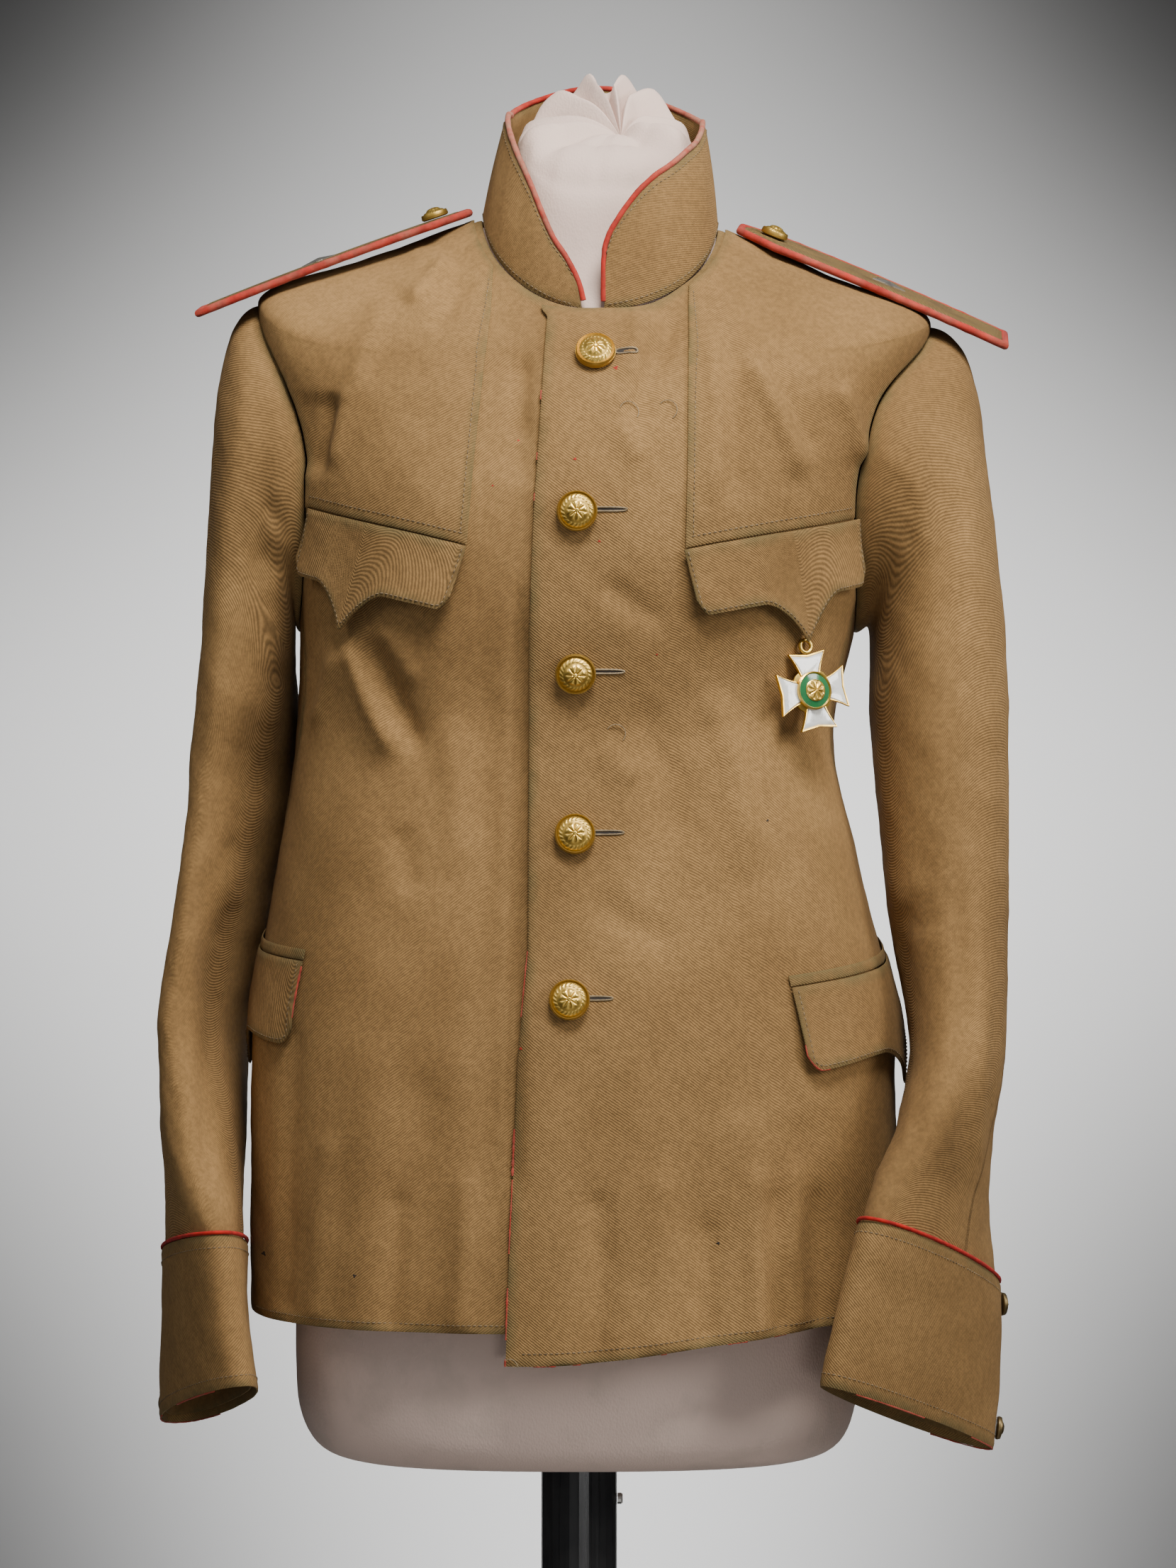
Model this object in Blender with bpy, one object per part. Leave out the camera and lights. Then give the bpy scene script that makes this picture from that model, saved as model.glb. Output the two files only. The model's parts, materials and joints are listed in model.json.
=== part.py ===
"""A military tunic with shoulder boards on a limbless dress form with a stand.

Metres, +Z up. The origin is the middle of the base plate's underside. The chest faces -Y,
and +X is the wearer's left. Every cloth piece is a thin closed wall. The body is one smooth
shell of closed rings, and each cut piece is a patch of that shell: u is the angle round the
body in degrees, 0 in front and 90 at +X, and v counts the rings from the hem up to the neck.
"""

import math
from collections import namedtuple

import bmesh
import bpy
import numpy as np
from mathutils import Quaternion, Vector

# Cloth and seams
CLOTH = 0.0018
THIN_CLOTH = 0.0011
FLAP_CLOTH = 0.0020
COLLAR_CLOTH = 0.0026
SEAM = 0.0004
LAID_ON = 0.0004
PIPING_RADIUS = 0.0011
BOARD_PIPING_RADIUS = 0.0016

# The body's rings from the hem to the neck, in metres
Ring = namedtuple("Ring", "left right front back middle z_front z_left z_right z_back")
BODY = (
    Ring(-0.1840, 0.1800, 0.136, 0.118, 0.0, 0.3955, 0.3976, 0.4005, 0.399),  # hem
    Ring(-0.1845, 0.1780, 0.133, 0.117, 0.0, 0.4600, 0.4600, 0.4600, 0.460),  # skirt
    Ring(-0.1835, 0.1776, 0.129, 0.115, 0.0, 0.5475, 0.5475, 0.5475, 0.5475),  # hips
    Ring(-0.1705, 0.1585, 0.118, 0.105, 0.0, 0.6400, 0.6400, 0.6400, 0.640),  # under the waist
    Ring(-0.1590, 0.1428, 0.111, 0.099, 0.0, 0.7164, 0.7164, 0.7164, 0.7164),  # waist
    Ring(-0.1565, 0.1545, 0.121, 0.107, 0.0, 0.7850, 0.7750, 0.7750, 0.790),  # armpits
    Ring(-0.1640, 0.1660, 0.124, 0.110, 0.0, 0.8380, 0.8450, 0.8450, 0.850),  # chest
    Ring(-0.1720, 0.1800, 0.114, 0.106, 0.0, 0.8930, 0.9050, 0.9000, 0.915),  # upper chest
    Ring(-0.1790, 0.1960, 0.098, 0.094, 0.0, 0.9240, 0.9602, 0.9480, 0.965),  # shoulder tips
    Ring(-0.1180, 0.1360, 0.087, 0.074, 0.0, 0.9400, 0.9845, 0.9762, 0.998),  # mid shoulder
    Ring(-0.0548, 0.0784, 0.075, 0.052, 0.0118, 0.9505, 1.0080, 1.0030, 1.026),  # neck
)
ARMPIT = 5.0
TIP = 8.0
NECK = 10.0
SQUARENESS = 2.67
# How late each ring climbs from its front height to its side height, as a power
SIDE_RISE = (4.0, 4.0, 4.0, 4.0, 4.0, 4.0, 4.0, 4.0, 14.0, 6.0, 2.4)
FORM_RISE = 4.0
BODY_COLUMNS = {name: np.array([getattr(ring, name) for ring in BODY]) for name in Ring._fields}

# Armholes and side seams
ARMHOLE_WIDTH = 25.0
SIDE_TOP = 0.08
# The gap under the armhole's edge, in rings
SIDE_GAP = 0.010
SEAM_FRONT = (90.0, 90.0, 88.0, 84.0, 76.0, 70.0)
SEAM_BACK = (120.0, 119.0, 118.0, 116.0, 112.0, 108.0)
SKIRT_ROWS = 9
ARMHOLE_ROWS = 12
SHOULDER_ROWS = 4
OPEN_COLUMNS = 7
YOKE_COLUMNS = 7
BACK_COLUMNS = 18
SIDE_COLUMNS = 5

# The front closure: the wearer's left front lies on top
EdgePlace = namedtuple("EdgePlace", "z x")
TOP_EDGE = (
    EdgePlace(0.3780, -0.0398),
    EdgePlace(0.4650, -0.0357),
    EdgePlace(0.5400, -0.0330),
    EdgePlace(0.6000, -0.0272),
    EdgePlace(0.7700, -0.0268),
    EdgePlace(0.8400, -0.0238),
    EdgePlace(0.9130, -0.0193),
    EdgePlace(0.9510, -0.0166),
)
UNDER_EDGE_X = 0.020
OVERLAP_LIFT = 0.0030
LIFT_FULL_X = 0.026
LIFT_ENDS_X = 0.056
HEM_DROP = 0.0170
HEM_DROP_FROM = -12.0
HEM_DROP_ENDS = 62.0
# How far down the shell, in rings a metre of lift, the lifted front tucks under the collar
TUCK = 62.0

# Folds of the front: a line in the front view, its half width and its height, + for a ridge
Fold = namedtuple("Fold", "x0 z0 x1 z1 width height")
FOLDS = (
    Fold(-0.132, 0.772, -0.098, 0.700, 0.014, 0.0035),
    Fold(-0.120, 0.772, -0.083, 0.705, 0.013, -0.0035),
    Fold(-0.050, 0.790, -0.048, 0.450, 0.013, -0.0030),
    Fold(-0.033, 0.930, -0.034, 0.850, 0.012, -0.0025),
    Fold(-0.140, 0.905, -0.148, 0.858, 0.013, -0.0025),
    Fold(-0.075, 0.985, -0.098, 0.955, 0.012, 0.0025),
    Fold(0.092, 0.925, 0.122, 0.855, 0.013, 0.0028),
    Fold(0.140, 0.912, 0.154, 0.865, 0.012, 0.0025),
    Fold(0.070, 0.720, 0.098, 0.640, 0.016, 0.0025),
    Fold(0.090, 0.500, 0.096, 0.395, 0.014, 0.0030),
    Fold(0.123, 0.500, 0.128, 0.395, 0.012, -0.0025),
    Fold(-0.110, 0.540, -0.120, 0.395, 0.016, 0.0030),
    Fold(-0.082, 0.520, -0.084, 0.395, 0.014, -0.0025),
    Fold(-0.020, 0.560, -0.010, 0.395, 0.020, 0.0020),
)
BACK_FOLDS = (
    Fold(-0.090, 0.760, -0.060, 0.690, 0.018, 0.0030),
    Fold(0.085, 0.765, 0.060, 0.695, 0.018, 0.0028),
    Fold(-0.100, 0.540, -0.108, 0.399, 0.018, -0.0030),
    Fold(0.095, 0.550, 0.104, 0.399, 0.018, -0.0030),
    Fold(0.010, 0.600, 0.004, 0.399, 0.022, 0.0030),
    Fold(-0.130, 0.900, -0.110, 0.800, 0.016, 0.0025),
    Fold(0.135, 0.895, 0.115, 0.800, 0.016, 0.0025),
)

# Sleeves: a row for each section down the arm, measured on the wearer's left at +X.
# wide runs along the section, front to back, and thick across it. twist turns the front end
# towards the chest, lean lowers the back end and tilt raises the outer side.
Section = namedtuple("Section", "z x y wide thick twist lean tilt")
SLEEVE_LEFT = (
    Section(0.808, 0.1973, -0.002, 0.0660, 0.0333, 0.0, 0.00, 1.58),
    Section(0.745, 0.2023, -0.002, 0.0660, 0.0383, 0.0, 0.00, 0.50),
    Section(0.680, 0.2048, -0.006, 0.0640, 0.0368, 0.0, 0.00, 0.10),
    Section(0.610, 0.2074, -0.016, 0.0630, 0.0329, 2.0, 0.06, 0.00),
    Section(0.550, 0.2108, -0.034, 0.0640, 0.0273, 6.0, 0.14, 0.00),
    Section(0.500, 0.2026, -0.056, 0.0670, 0.0250, 12.0, 0.24, 0.00),
    Section(0.460, 0.1940, -0.075, 0.0690, 0.0220, 25.0, 0.31, 0.00),
    Section(0.430, 0.1915, -0.085, 0.0700, 0.0200, 32.0, 0.34, 0.00),
    Section(0.388, 0.1860, -0.090, 0.0705, 0.0180, 38.0, 0.34, 0.00),
    Section(0.345, 0.1790, -0.093, 0.0710, 0.0175, 41.0, 0.34, 0.00),
)
SLEEVE_RIGHT = (
    Section(0.815, 0.1833, -0.002, 0.0660, 0.0233, 0.0, 0.00, 2.50),
    Section(0.750, 0.1855, 0.000, 0.0660, 0.0248, -8.0, 0.00, 0.60),
    Section(0.690, 0.1874, 0.005, 0.0660, 0.0200, -18.0, 0.00, 0.10),
    Section(0.615, 0.1992, -0.002, 0.0660, 0.0168, -16.0, 0.04, 0.00),
    Section(0.550, 0.2097, -0.012, 0.0670, 0.0152, -13.0, 0.08, 0.00),
    Section(0.490, 0.2095, -0.026, 0.0685, 0.0220, -3.0, 0.13, 0.00),
    Section(0.440, 0.2080, -0.040, 0.0695, 0.0212, 8.0, 0.18, 0.00),
    Section(0.390, 0.2085, -0.038, 0.0700, 0.0190, 14.0, 0.25, 0.00),
    Section(0.345, 0.2060, -0.038, 0.0700, 0.0190, 19.0, 0.27, 0.00),
)
SLEEVE_ROUND = 24
CAP_ROWS = 6
ARM_ROWS = 10
CAP_START = {1.0: 0.085, -1.0: 0.060}
CAP_END = 0.110
CUFF_LENGTH = 0.088
CUFF_ROWS = 2
SLEEVE_SHORT = 0.004
# Sleeve folds: place round the sleeve in degrees (0 outside, 90 in front), height and width
SleeveFold = namedtuple("SleeveFold", "round0 z0 round1 z1 width height")
SLEEVE_FOLDS = (
    SleeveFold(60.0, 0.860, 62.0, 0.480, 16.0, 0.0025),
    SleeveFold(100.0, 0.640, 150.0, 0.600, 20.0, -0.0025),
    SleeveFold(95.0, 0.590, 140.0, 0.625, 18.0, 0.0020),
    SleeveFold(250.0, 0.680, 300.0, 0.600, 24.0, -0.0020),
)

# Collar: the height of its edge round the neck from its left front end, and its lean inward
CollarPlace = namedtuple("CollarPlace", "u height lean")
COLLAR = (
    CollarPlace(1.5, 0.0040, 0.0001),
    CollarPlace(1.8, 0.0220, 0.0006),
    CollarPlace(2.7, 0.0330, 0.0010),
    CollarPlace(5.0, 0.0420, 0.0015),
    CollarPlace(11.0, 0.0530, 0.0025),
    CollarPlace(18.0, 0.0620, 0.0032),
    CollarPlace(27.0, 0.0670, 0.0040),
    CollarPlace(40.0, 0.0675, 0.0050),
    CollarPlace(55.0, 0.0635, 0.0065),
    CollarPlace(75.0, 0.0600, 0.0075),
    CollarPlace(90.0, 0.0590, 0.0075),
    CollarPlace(135.0, 0.0600, 0.0048),
    CollarPlace(180.0, 0.0620, 0.0044),
    CollarPlace(225.0, 0.0610, 0.0096),
    CollarPlace(270.0, 0.0580, 0.0150),
    CollarPlace(290.0, 0.0620, 0.0130),
    CollarPlace(300.0, 0.0650, 0.0116),
    CollarPlace(310.0, 0.0650, 0.0100),
    CollarPlace(320.0, 0.0620, 0.0070),
    CollarPlace(328.0, 0.0540, 0.0050),
    CollarPlace(334.0, 0.0425, 0.0040),
    CollarPlace(339.0, 0.0330, 0.0030),
    CollarPlace(344.0, 0.0265, 0.0022),
    CollarPlace(348.5, 0.0180, 0.0012),
    CollarPlace(350.5, 0.0125, 0.0008),
    CollarPlace(352.0, 0.0040, 0.0003),
)
# More columns where the collar is even
COLLAR_PIPING_EASE = 0.0003
COLLAR_BETWEEN = (65.0, 105.0, 120.0, 150.0, 165.0, 195.0, 210.0, 240.0, 255.0, 280.0)
COLLAR_ROWS = 3
COLLAR_SEAT = 0.0008

# Flaps: the ends of the top seam, then how far the corners, dips and tip hang
Flap = namedtuple("Flap", "u0 z0 u1 z1 corner dip tip lift spring slant tip_at")
BREAST_FLAPS = {
    "right": Flap(-62.5, 0.8415, -26.5, 0.8185, 0.037, 0.037, 0.062, 0.0040, 0.0050, -0.12, 0.44),
    "left": Flap(25.0, 0.8165, 66.0, 0.8365, 0.037, 0.037, 0.062, 0.0040, 0.0035, 0.10, 0.54),
}
HIP_FLAPS = {
    "right": Flap(-119.0, 0.6080, -60.0, 0.5935, 0.046, 0.044, 0.070, 0.0028, 0.0008, 0.0, 0.5),
    "left": Flap(46.5, 0.5800, 112.0, 0.6030, 0.046, 0.044, 0.070, 0.0032, 0.0030, 0.0, 0.5),
}
FLAP_COLUMNS = 16
FLAP_ROWS = 3
TIP_SPREAD = 0.44
TIP_POINT = 1.6
CORNER_SPREAD = 0.08
CORNER_ROUND = 0.009
HIP_WELT = 0.006
WELT_LIFT = 0.0020
# Yokes: the inner edge of each chest yoke in the front view, top to bottom
YOKE_EDGE = {
    "right": (EdgePlace(0.978, -0.0450), EdgePlace(0.950, -0.0478), EdgePlace(0.862, -0.0566),
              EdgePlace(0.820, -0.0600)),
    "left": (EdgePlace(0.978, 0.0615), EdgePlace(0.950, 0.0600), EdgePlace(0.862, 0.0585),
             EdgePlace(0.815, 0.0575)),
}
YOKE_LIFT = 0.0018
# The angle that stands for each yoke edge's height, and its insets in degrees and rings
YOKE_AT_U = 28.0
YOKE_INSET = 1.07
YOKE_NECK_INSET = 0.06
YOKE_FIRST_ROW = 0.08

# Shoulder boards: the middle of the inner and outer ends, and the tilt towards the front
Board = namedtuple("Board", "inner_x inner_z outer_x outer_z tilt")
BOARDS = {
    "left": Board(0.0940, 1.0042, 0.2390, 0.9432, 12.0),
    "right": Board(-0.0650, 1.0137, -0.2125, 0.9592, 8.0),
}
BOARD_WIDTH = 0.062
BOARD_THICK = 0.0042
BOARD_ARCH = 0.0012
BOARD_POINT = 0.13
BOARD_POINT_WIDTH = 0.40
BOARD_PIPING_EASE = 0.0003
BOARD_BUTTON_AT = 0.105
BOARD_BUTTON_RISE = 0.0009
BOARD_COLUMNS = 9
BOARD_ROWS = 4

# Buttons
ButtonPlace = namedtuple("ButtonPlace", "x z")
FRONT_BUTTONS = (
    ButtonPlace(0.0090, 0.9213),
    ButtonPlace(-0.0009, 0.8365),
    ButtonPlace(-0.0017, 0.7502),
    ButtonPlace(-0.0020, 0.6625),
    ButtonPlace(-0.0050, 0.5737),
)
FRONT_BUTTON_RADIUS = 0.0110
FRONT_BUTTON_HEIGHT = 0.0075
SMALL_BUTTON_RADIUS = 0.0078
SMALL_BUTTON_HEIGHT = 0.0060
CUFF_BUTTON_RADIUS = 0.0065
CUFF_BUTTON_HEIGHT = 0.0045
CUFF_BUTTONS_DOWN = (0.12, 0.86)
CUFF_BUTTON_ROUND = 285.0
CUFF_BUTTON_RISE = 0.0012
BUTTON_SIDES = 12
BUTTON_SEAT = 0.92
SEAT_SAMPLES = 24
SEAT_CLEAR = 0.0007

# Badge
BADGE_SPOT = ButtonPlace(0.1215, 0.7395)
BADGE_TURN = 28.0
BADGE_LEAN = 8.0
BADGE_UPWARD = 0.10
BADGE_ARM = 0.0215
BADGE_ARM_HALF = 0.0115
BADGE_WAIST = 0.0055
BADGE_THICK = 0.0024
BADGE_CENTRE = 0.0105
BADGE_CENTRE_HEIGHT = 0.0022
BADGE_LOOP_RING = 0.0034
BADGE_LOOP_WIRE = 0.0011
BADGE_SIDES = 16

# Collar hook and eye
HOOK_WIRE = 0.0006
HOOK_RADIUS = 0.0026

# Dress form, pole and base
FormRing = namedtuple("FormRing", "left right front back middle z_front z_side z_back")
FORM_BELOW = (
    FormRing(-0.105, 0.104, 0.060, 0.055, 0.0, 0.3130, 0.3130, 0.3130),
    FormRing(-0.132, 0.131, 0.088, 0.080, 0.0, 0.3150, 0.3150, 0.3150),
    FormRing(-0.148, 0.147, 0.103, 0.094, 0.0, 0.3230, 0.3230, 0.3230),
    FormRing(-0.157, 0.155, 0.110, 0.101, 0.0, 0.3420, 0.3420, 0.3420),
    FormRing(-0.159, 0.157, 0.112, 0.103, 0.0, 0.3700, 0.3700, 0.3700),
)
FORM_NECK = (
    FormRing(-0.041, 0.0635, 0.0565, 0.0425, 0.0125, 0.9800, 1.0220, 1.0400),
    FormRing(-0.035, 0.064, 0.050, 0.039, 0.0145, 1.0100, 1.0430, 1.0700),
    FormRing(-0.034, 0.063, 0.045, 0.037, 0.0145, 1.0200, 1.0520, 1.0840),
    FormRing(-0.029, 0.058, 0.040, 0.032, 0.0145, 1.0255, 1.0570, 1.0880),
    FormRing(-0.012, 0.041, 0.022, 0.016, 0.0145, 1.0420, 1.0600, 1.0780),
)
FORM_EASE = (0.025, 0.024, 0.0235, 0.016, 0.0115, 0.0110, 0.0105, 0.0085, 0.0062, 0.0052, 0.0044)
FORM_SIDES = 24
POLE_RADIUS = 0.0213
POLE_SIDES = 24
BASE_RADIUS = 0.150
BASE_THICK = 0.012
BASE_EDGE = 0.003
BASE_SIDES = 36
CLEAR = 0.0003
SCREW_Z = 0.287
SCREW_RADIUS = 0.0032
SCREW_LENGTH = 0.0030


def smooth(values, at):
    """Monotone cubic through values that stand at whole rows, read at fractional rows."""
    values = np.asarray(values, dtype=float)
    at = np.clip(np.asarray(at, dtype=float), 0.0, len(values) - 1.0)
    row = np.minimum(at.astype(int), len(values) - 2)
    t = at - row
    steps = np.diff(values)
    slopes = np.zeros(len(values))
    slopes[0] = steps[0]
    slopes[-1] = steps[-1]
    product = steps[1:] * steps[:-1]
    total = np.where(product > 0, steps[1:] + steps[:-1], 1.0)
    slopes[1:-1] = np.where(product > 0, 2 * product / total, 0.0)
    return (
        values[row] * (2 * t**3 - 3 * t**2 + 1)
        + slopes[row] * (t**3 - 2 * t**2 + t)
        + values[row + 1] * (3 * t**2 - 2 * t**3)
        + slopes[row + 1] * (t**3 - t**2)
    )


def ramp(low, high, value):
    """Smooth step from 0 at low to 1 at high."""
    t = np.clip((value - low) / (high - low), 0.0, 1.0)
    return t * t * (3 - 2 * t)


def unit(vectors):
    return vectors / np.maximum(np.linalg.norm(vectors, axis=-1, keepdims=True), 1e-12)


def ring_point(column, u, z_left, z_right, rise=FORM_RISE):
    """Points at angle u on rounded rectangles whose half sizes are the columns."""
    across = np.sin(np.radians(u))
    along = -np.cos(np.radians(u))
    half_x = np.where(across > 0, column["right"] - column["middle"], column["middle"] - column["left"])
    half_y = np.where(along < 0, column["front"], column["back"])
    reach = (np.abs(across) / half_x) ** SQUARENESS + (np.abs(along) / half_y) ** SQUARENESS
    reach = reach ** (-1 / SQUARENESS)
    z_side = np.where(across > 0, z_right, z_left)
    z_end = np.where(along < 0, column["z_front"], column["z_back"])
    z = z_end + (z_side - z_end) * np.abs(across) ** rise
    return np.stack([column["middle"] + reach * across, reach * along, z], axis=-1)


def shell(u, v):
    """Points of the smooth body shell."""
    u, v = np.broadcast_arrays(np.asarray(u, dtype=float), np.asarray(v, dtype=float))
    column = {name: smooth(values, v) for name, values in BODY_COLUMNS.items()}
    return ring_point(column, u, column["z_left"], column["z_right"], smooth(SIDE_RISE, v))


def shell_normal(u, v):
    """Outward unit normals of the shell."""
    u, v = np.broadcast_arrays(np.asarray(u, dtype=float), np.asarray(v, dtype=float))
    round_way = shell(u + 0.5, v) - shell(u - 0.5, v)
    up_way = shell(u, np.minimum(v + 0.02, NECK)) - shell(u, np.maximum(v - 0.02, 0.0))
    return unit(np.cross(round_way, up_way))


def fold_height(points, folds):
    """Height of the folds at points, each a line in the front view."""
    height = np.zeros(points.shape[:-1])
    for fold in folds:
        start = np.array([fold.x0, fold.z0])
        run = np.array([fold.x1 - fold.x0, fold.z1 - fold.z0])
        away = points[..., [0, 2]] - start
        along = np.clip(away @ run / (run @ run), 0.0, 1.0)
        distance = np.linalg.norm(away - along[..., None] * run, axis=-1)
        height += fold.height * np.exp(-((distance / fold.width) ** 2))
    return height


def cloth(u, v, lift=0.0):
    """Points lift above the shell, with its folds."""
    points = shell(u, v)
    facing = shell_normal(u, v)
    front = ramp(0.15, 0.5, -facing[..., 1]) * fold_height(points, FOLDS)
    back = ramp(0.15, 0.5, facing[..., 1]) * fold_height(points, BACK_FOLDS)
    return points + facing * (front + back + lift)[..., None]


def v_at(u, z):
    """The v at which the shell has height z at angle u, by bisection."""
    u, z = np.broadcast_arrays(np.asarray(u, dtype=float), np.asarray(z, dtype=float))
    low = np.zeros(z.shape)
    high = np.full(z.shape, NECK)
    for _ in range(30):
        middle = (low + high) / 2
        below = shell(u, middle)[..., 2] < z
        low = np.where(below, middle, low)
        high = np.where(below, high, middle)
    return (low + high) / 2


def u_at(x, v):
    """The angle in front at which ring v has the given x."""
    column = {name: smooth(values, v) for name, values in BODY_COLUMNS.items()}
    shift = np.asarray(x) - column["middle"]
    half = np.where(shift > 0, column["right"] - column["middle"], column["middle"] - column["left"])
    share = np.clip(np.abs(shift) / half, 0.0, 0.999)
    depth = column["front"] * (1 - share**SQUARENESS) ** (1 / SQUARENESS)
    return np.degrees(np.arctan2(shift, depth))


def uv_at(x, z):
    """The place on the front of the shell at x and height z."""
    u = np.zeros(np.shape(x))
    v = v_at(u, z)
    for _ in range(8):
        u = u_at(x, v)
        v = v_at(u, z)
    return u, v


def armhole(v):
    """Half the armhole's width at v, in degrees."""
    t = np.clip((np.asarray(v, dtype=float) - ARMPIT) / (TIP - ARMPIT), 0.0, 1.0)
    return ARMHOLE_WIDTH * np.maximum(np.sin(np.pi * t**0.8), 0.0) ** 0.6


def seam_angle(columns, v):
    """A side seam's angle below the armhole, easing to the armhole's edge above."""
    return smooth(columns, np.minimum(v, len(columns) - 1.0))


def add_object(name, mesh, material):
    """Links a mesh as an object with one material and smooth shading."""
    thing = bpy.data.objects.new(name, mesh)
    bpy.context.collection.objects.link(thing)
    mesh.materials.append(material)
    mesh.shade_smooth()
    mesh.set_sharp_from_angle(angle=math.radians(35))
    return thing


def add_closed(name, points, faces, material):
    """A closed mesh from points and faces, its faces turned outward."""
    mesh = bpy.data.meshes.new(name)
    mesh.from_pydata([tuple(map(float, point)) for point in points], [], faces)
    body = bmesh.new()
    body.from_mesh(mesh)
    bmesh.ops.recalc_face_normals(body, faces=body.faces)
    body.to_mesh(mesh)
    body.free()
    return add_object(name, mesh, material)


def grid_facing(outer, closed):
    """Unit normals of a grid of points, by the cross of its two ways."""
    if closed:
        round_way = np.roll(outer, -1, axis=1) - np.roll(outer, 1, axis=1)
    else:
        round_way = np.gradient(outer, axis=1)
    return unit(np.cross(round_way, np.gradient(outer, axis=0)))


def add_wall(name, outer, thickness, material, closed=False, flip=1.0, facing=None):
    """A wall under a grid of outer points. closed joins the last column to the first."""
    if facing is None:
        facing = grid_facing(outer, closed) * flip
    inner = outer - facing * thickness
    rows, columns = outer.shape[:2]
    points = np.concatenate([outer.reshape(-1, 3), inner.reshape(-1, 3)])
    inside = rows * columns
    faces = []
    spans = columns if closed else columns - 1
    for row in range(rows - 1):
        for column in range(spans):
            after = (column + 1) % columns
            quad = (row * columns + column, row * columns + after,
                    (row + 1) * columns + after, (row + 1) * columns + column)
            faces.append(quad)
            faces.append(tuple(inside + quad[corner] for corner in (0, 3, 2, 1)))
    for row in (0, rows - 1):
        for column in range(spans):
            a = row * columns + column
            b = row * columns + (column + 1) % columns
            faces.append((a, b, inside + b, inside + a))
    if not closed:
        for column in (0, columns - 1):
            for row in range(rows - 1):
                a = row * columns + column
                b = (row + 1) * columns + column
                faces.append((a, b, inside + b, inside + a))
    return add_closed(name, points, faces, material)


def add_rings(name, rings, material):
    """A closed solid through equal rings of points, with a flat cap at each end."""
    rings = [np.asarray(ring) for ring in rings]
    count = len(rings[0])
    faces = []
    for level in range(len(rings) - 1):
        for side in range(count):
            after = (side + 1) % count
            low = level * count
            faces.append((low + side, low + after, low + count + after, low + count + side))
    faces.append(tuple(range(count)))
    faces.append(tuple(range((len(rings) - 1) * count, len(rings) * count)))
    return add_closed(name, np.concatenate(rings), faces, material)


def add_turned(name, profile, sides, material):
    """A solid turned about Z from (radius, height) pairs, low to high."""
    angle = np.arange(sides) * 2 * np.pi / sides
    rings = [
        np.stack([radius * np.cos(angle), radius * np.sin(angle), np.full(sides, height)], axis=-1)
        for radius, height in profile
    ]
    return add_rings(name, rings, material)


def add_piping(name, path, radius, material, closed):
    """A round cord along a path of points."""
    curve = bpy.data.curves.new(name, "CURVE")
    curve.dimensions = "3D"
    curve.bevel_depth = radius
    curve.bevel_resolution = 1
    curve.use_fill_caps = True
    spline = curve.splines.new("POLY")
    spline.points.add(len(path) - 1)
    for point, spot in zip(spline.points, path):
        point.co = (*map(float, spot), 1.0)
    spline.use_cyclic_u = closed
    curve.materials.append(material)
    thing = bpy.data.objects.new(name, curve)
    bpy.context.collection.objects.link(thing)
    return thing


def place(thing, point, facing):
    """Stands a piece, made about Z, on a point along a direction."""
    thing.location = Vector(map(float, point))
    thing.rotation_mode = "QUATERNION"
    thing.rotation_quaternion = Vector(map(float, facing)).to_track_quat("Z", "Y")
    return thing


def make_material(name, colour, roughness, metallic=0.0):
    material = bpy.data.materials.new(name)
    material.use_nodes = True
    shader = material.node_tree.nodes["Principled BSDF"]
    shader.inputs["Base Color"].default_value = (*colour, 1.0)
    shader.inputs["Roughness"].default_value = roughness
    shader.inputs["Metallic"].default_value = metallic
    material.diffuse_color = (*colour, 1.0)
    return material


def body_rows():
    """The v of each row of a body panel: even in the skirt, close at the armhole's ends."""
    skirt = np.linspace(0.0, ARMPIT, SKIRT_ROWS + 1)[:-1]
    turn = np.linspace(0.0, np.pi, ARMHOLE_ROWS + 1)
    hole = ARMPIT + (TIP - ARMPIT) * (1 - np.cos(turn)) / 2
    shoulder = np.linspace(TIP, NECK, SHOULDER_ROWS + 1)[1:]
    return np.concatenate([skirt, hole, shoulder])


def gap_angle(u, v):
    """Half a seam's gap as an angle round the shell."""
    step = np.linalg.norm(shell(u + 0.5, v) - shell(u - 0.5, v), axis=-1)
    return SEAM / 2 / step


def side_limit(v, columns, way):
    """Where a front (way -1) or the back (way 1) ends: the side seam, then the armhole."""
    join = ARMPIT + SIDE_TOP * (TIP - ARMPIT)
    meet = 90.0 + way * armhole(join)
    blend = ramp(ARMPIT - 0.6, join, v)
    eased = seam_angle(columns, v) * (1 - blend) + meet * blend
    return np.where(v < join, eased, 90.0 + way * armhole(v))


def front_limit(v):
    """Where a front panel ends at the side."""
    return side_limit(v, SEAM_FRONT, -1.0)


def back_limit(v):
    """Where the back ends at the side."""
    return side_limit(v, SEAM_BACK, 1.0)


def top_edge_u(v):
    """The angle of the top front's free edge at ring v."""
    heights = [row.z for row in TOP_EDGE]
    places = [row.x for row in TOP_EDGE]
    z = shell(np.zeros(np.shape(v)), v)[..., 2]
    return u_at(np.interp(z, heights, places), v)


def overlap_lift(u, v):
    """How far the top front stands off the shell where it covers the under front."""
    x = shell(u, v)[..., 0]
    return OVERLAP_LIFT * (1 - ramp(LIFT_FULL_X, LIFT_ENDS_X, x))


def top_front(u, v, lift=0.0):
    """Points on the top front panel: lifted over the under front, with a lower front hem."""
    raised = overlap_lift(u, v)
    tuck = raised * TUCK * ramp(NECK - 0.8, NECK, v)
    points = cloth(u, v - tuck, raised + lift)
    drop = HEM_DROP * (1 - ramp(HEM_DROP_FROM, HEM_DROP_ENDS, u)) * np.clip(1 - v, 0.0, 1.0) ** 2
    points[..., 2] -= drop
    return points


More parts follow.
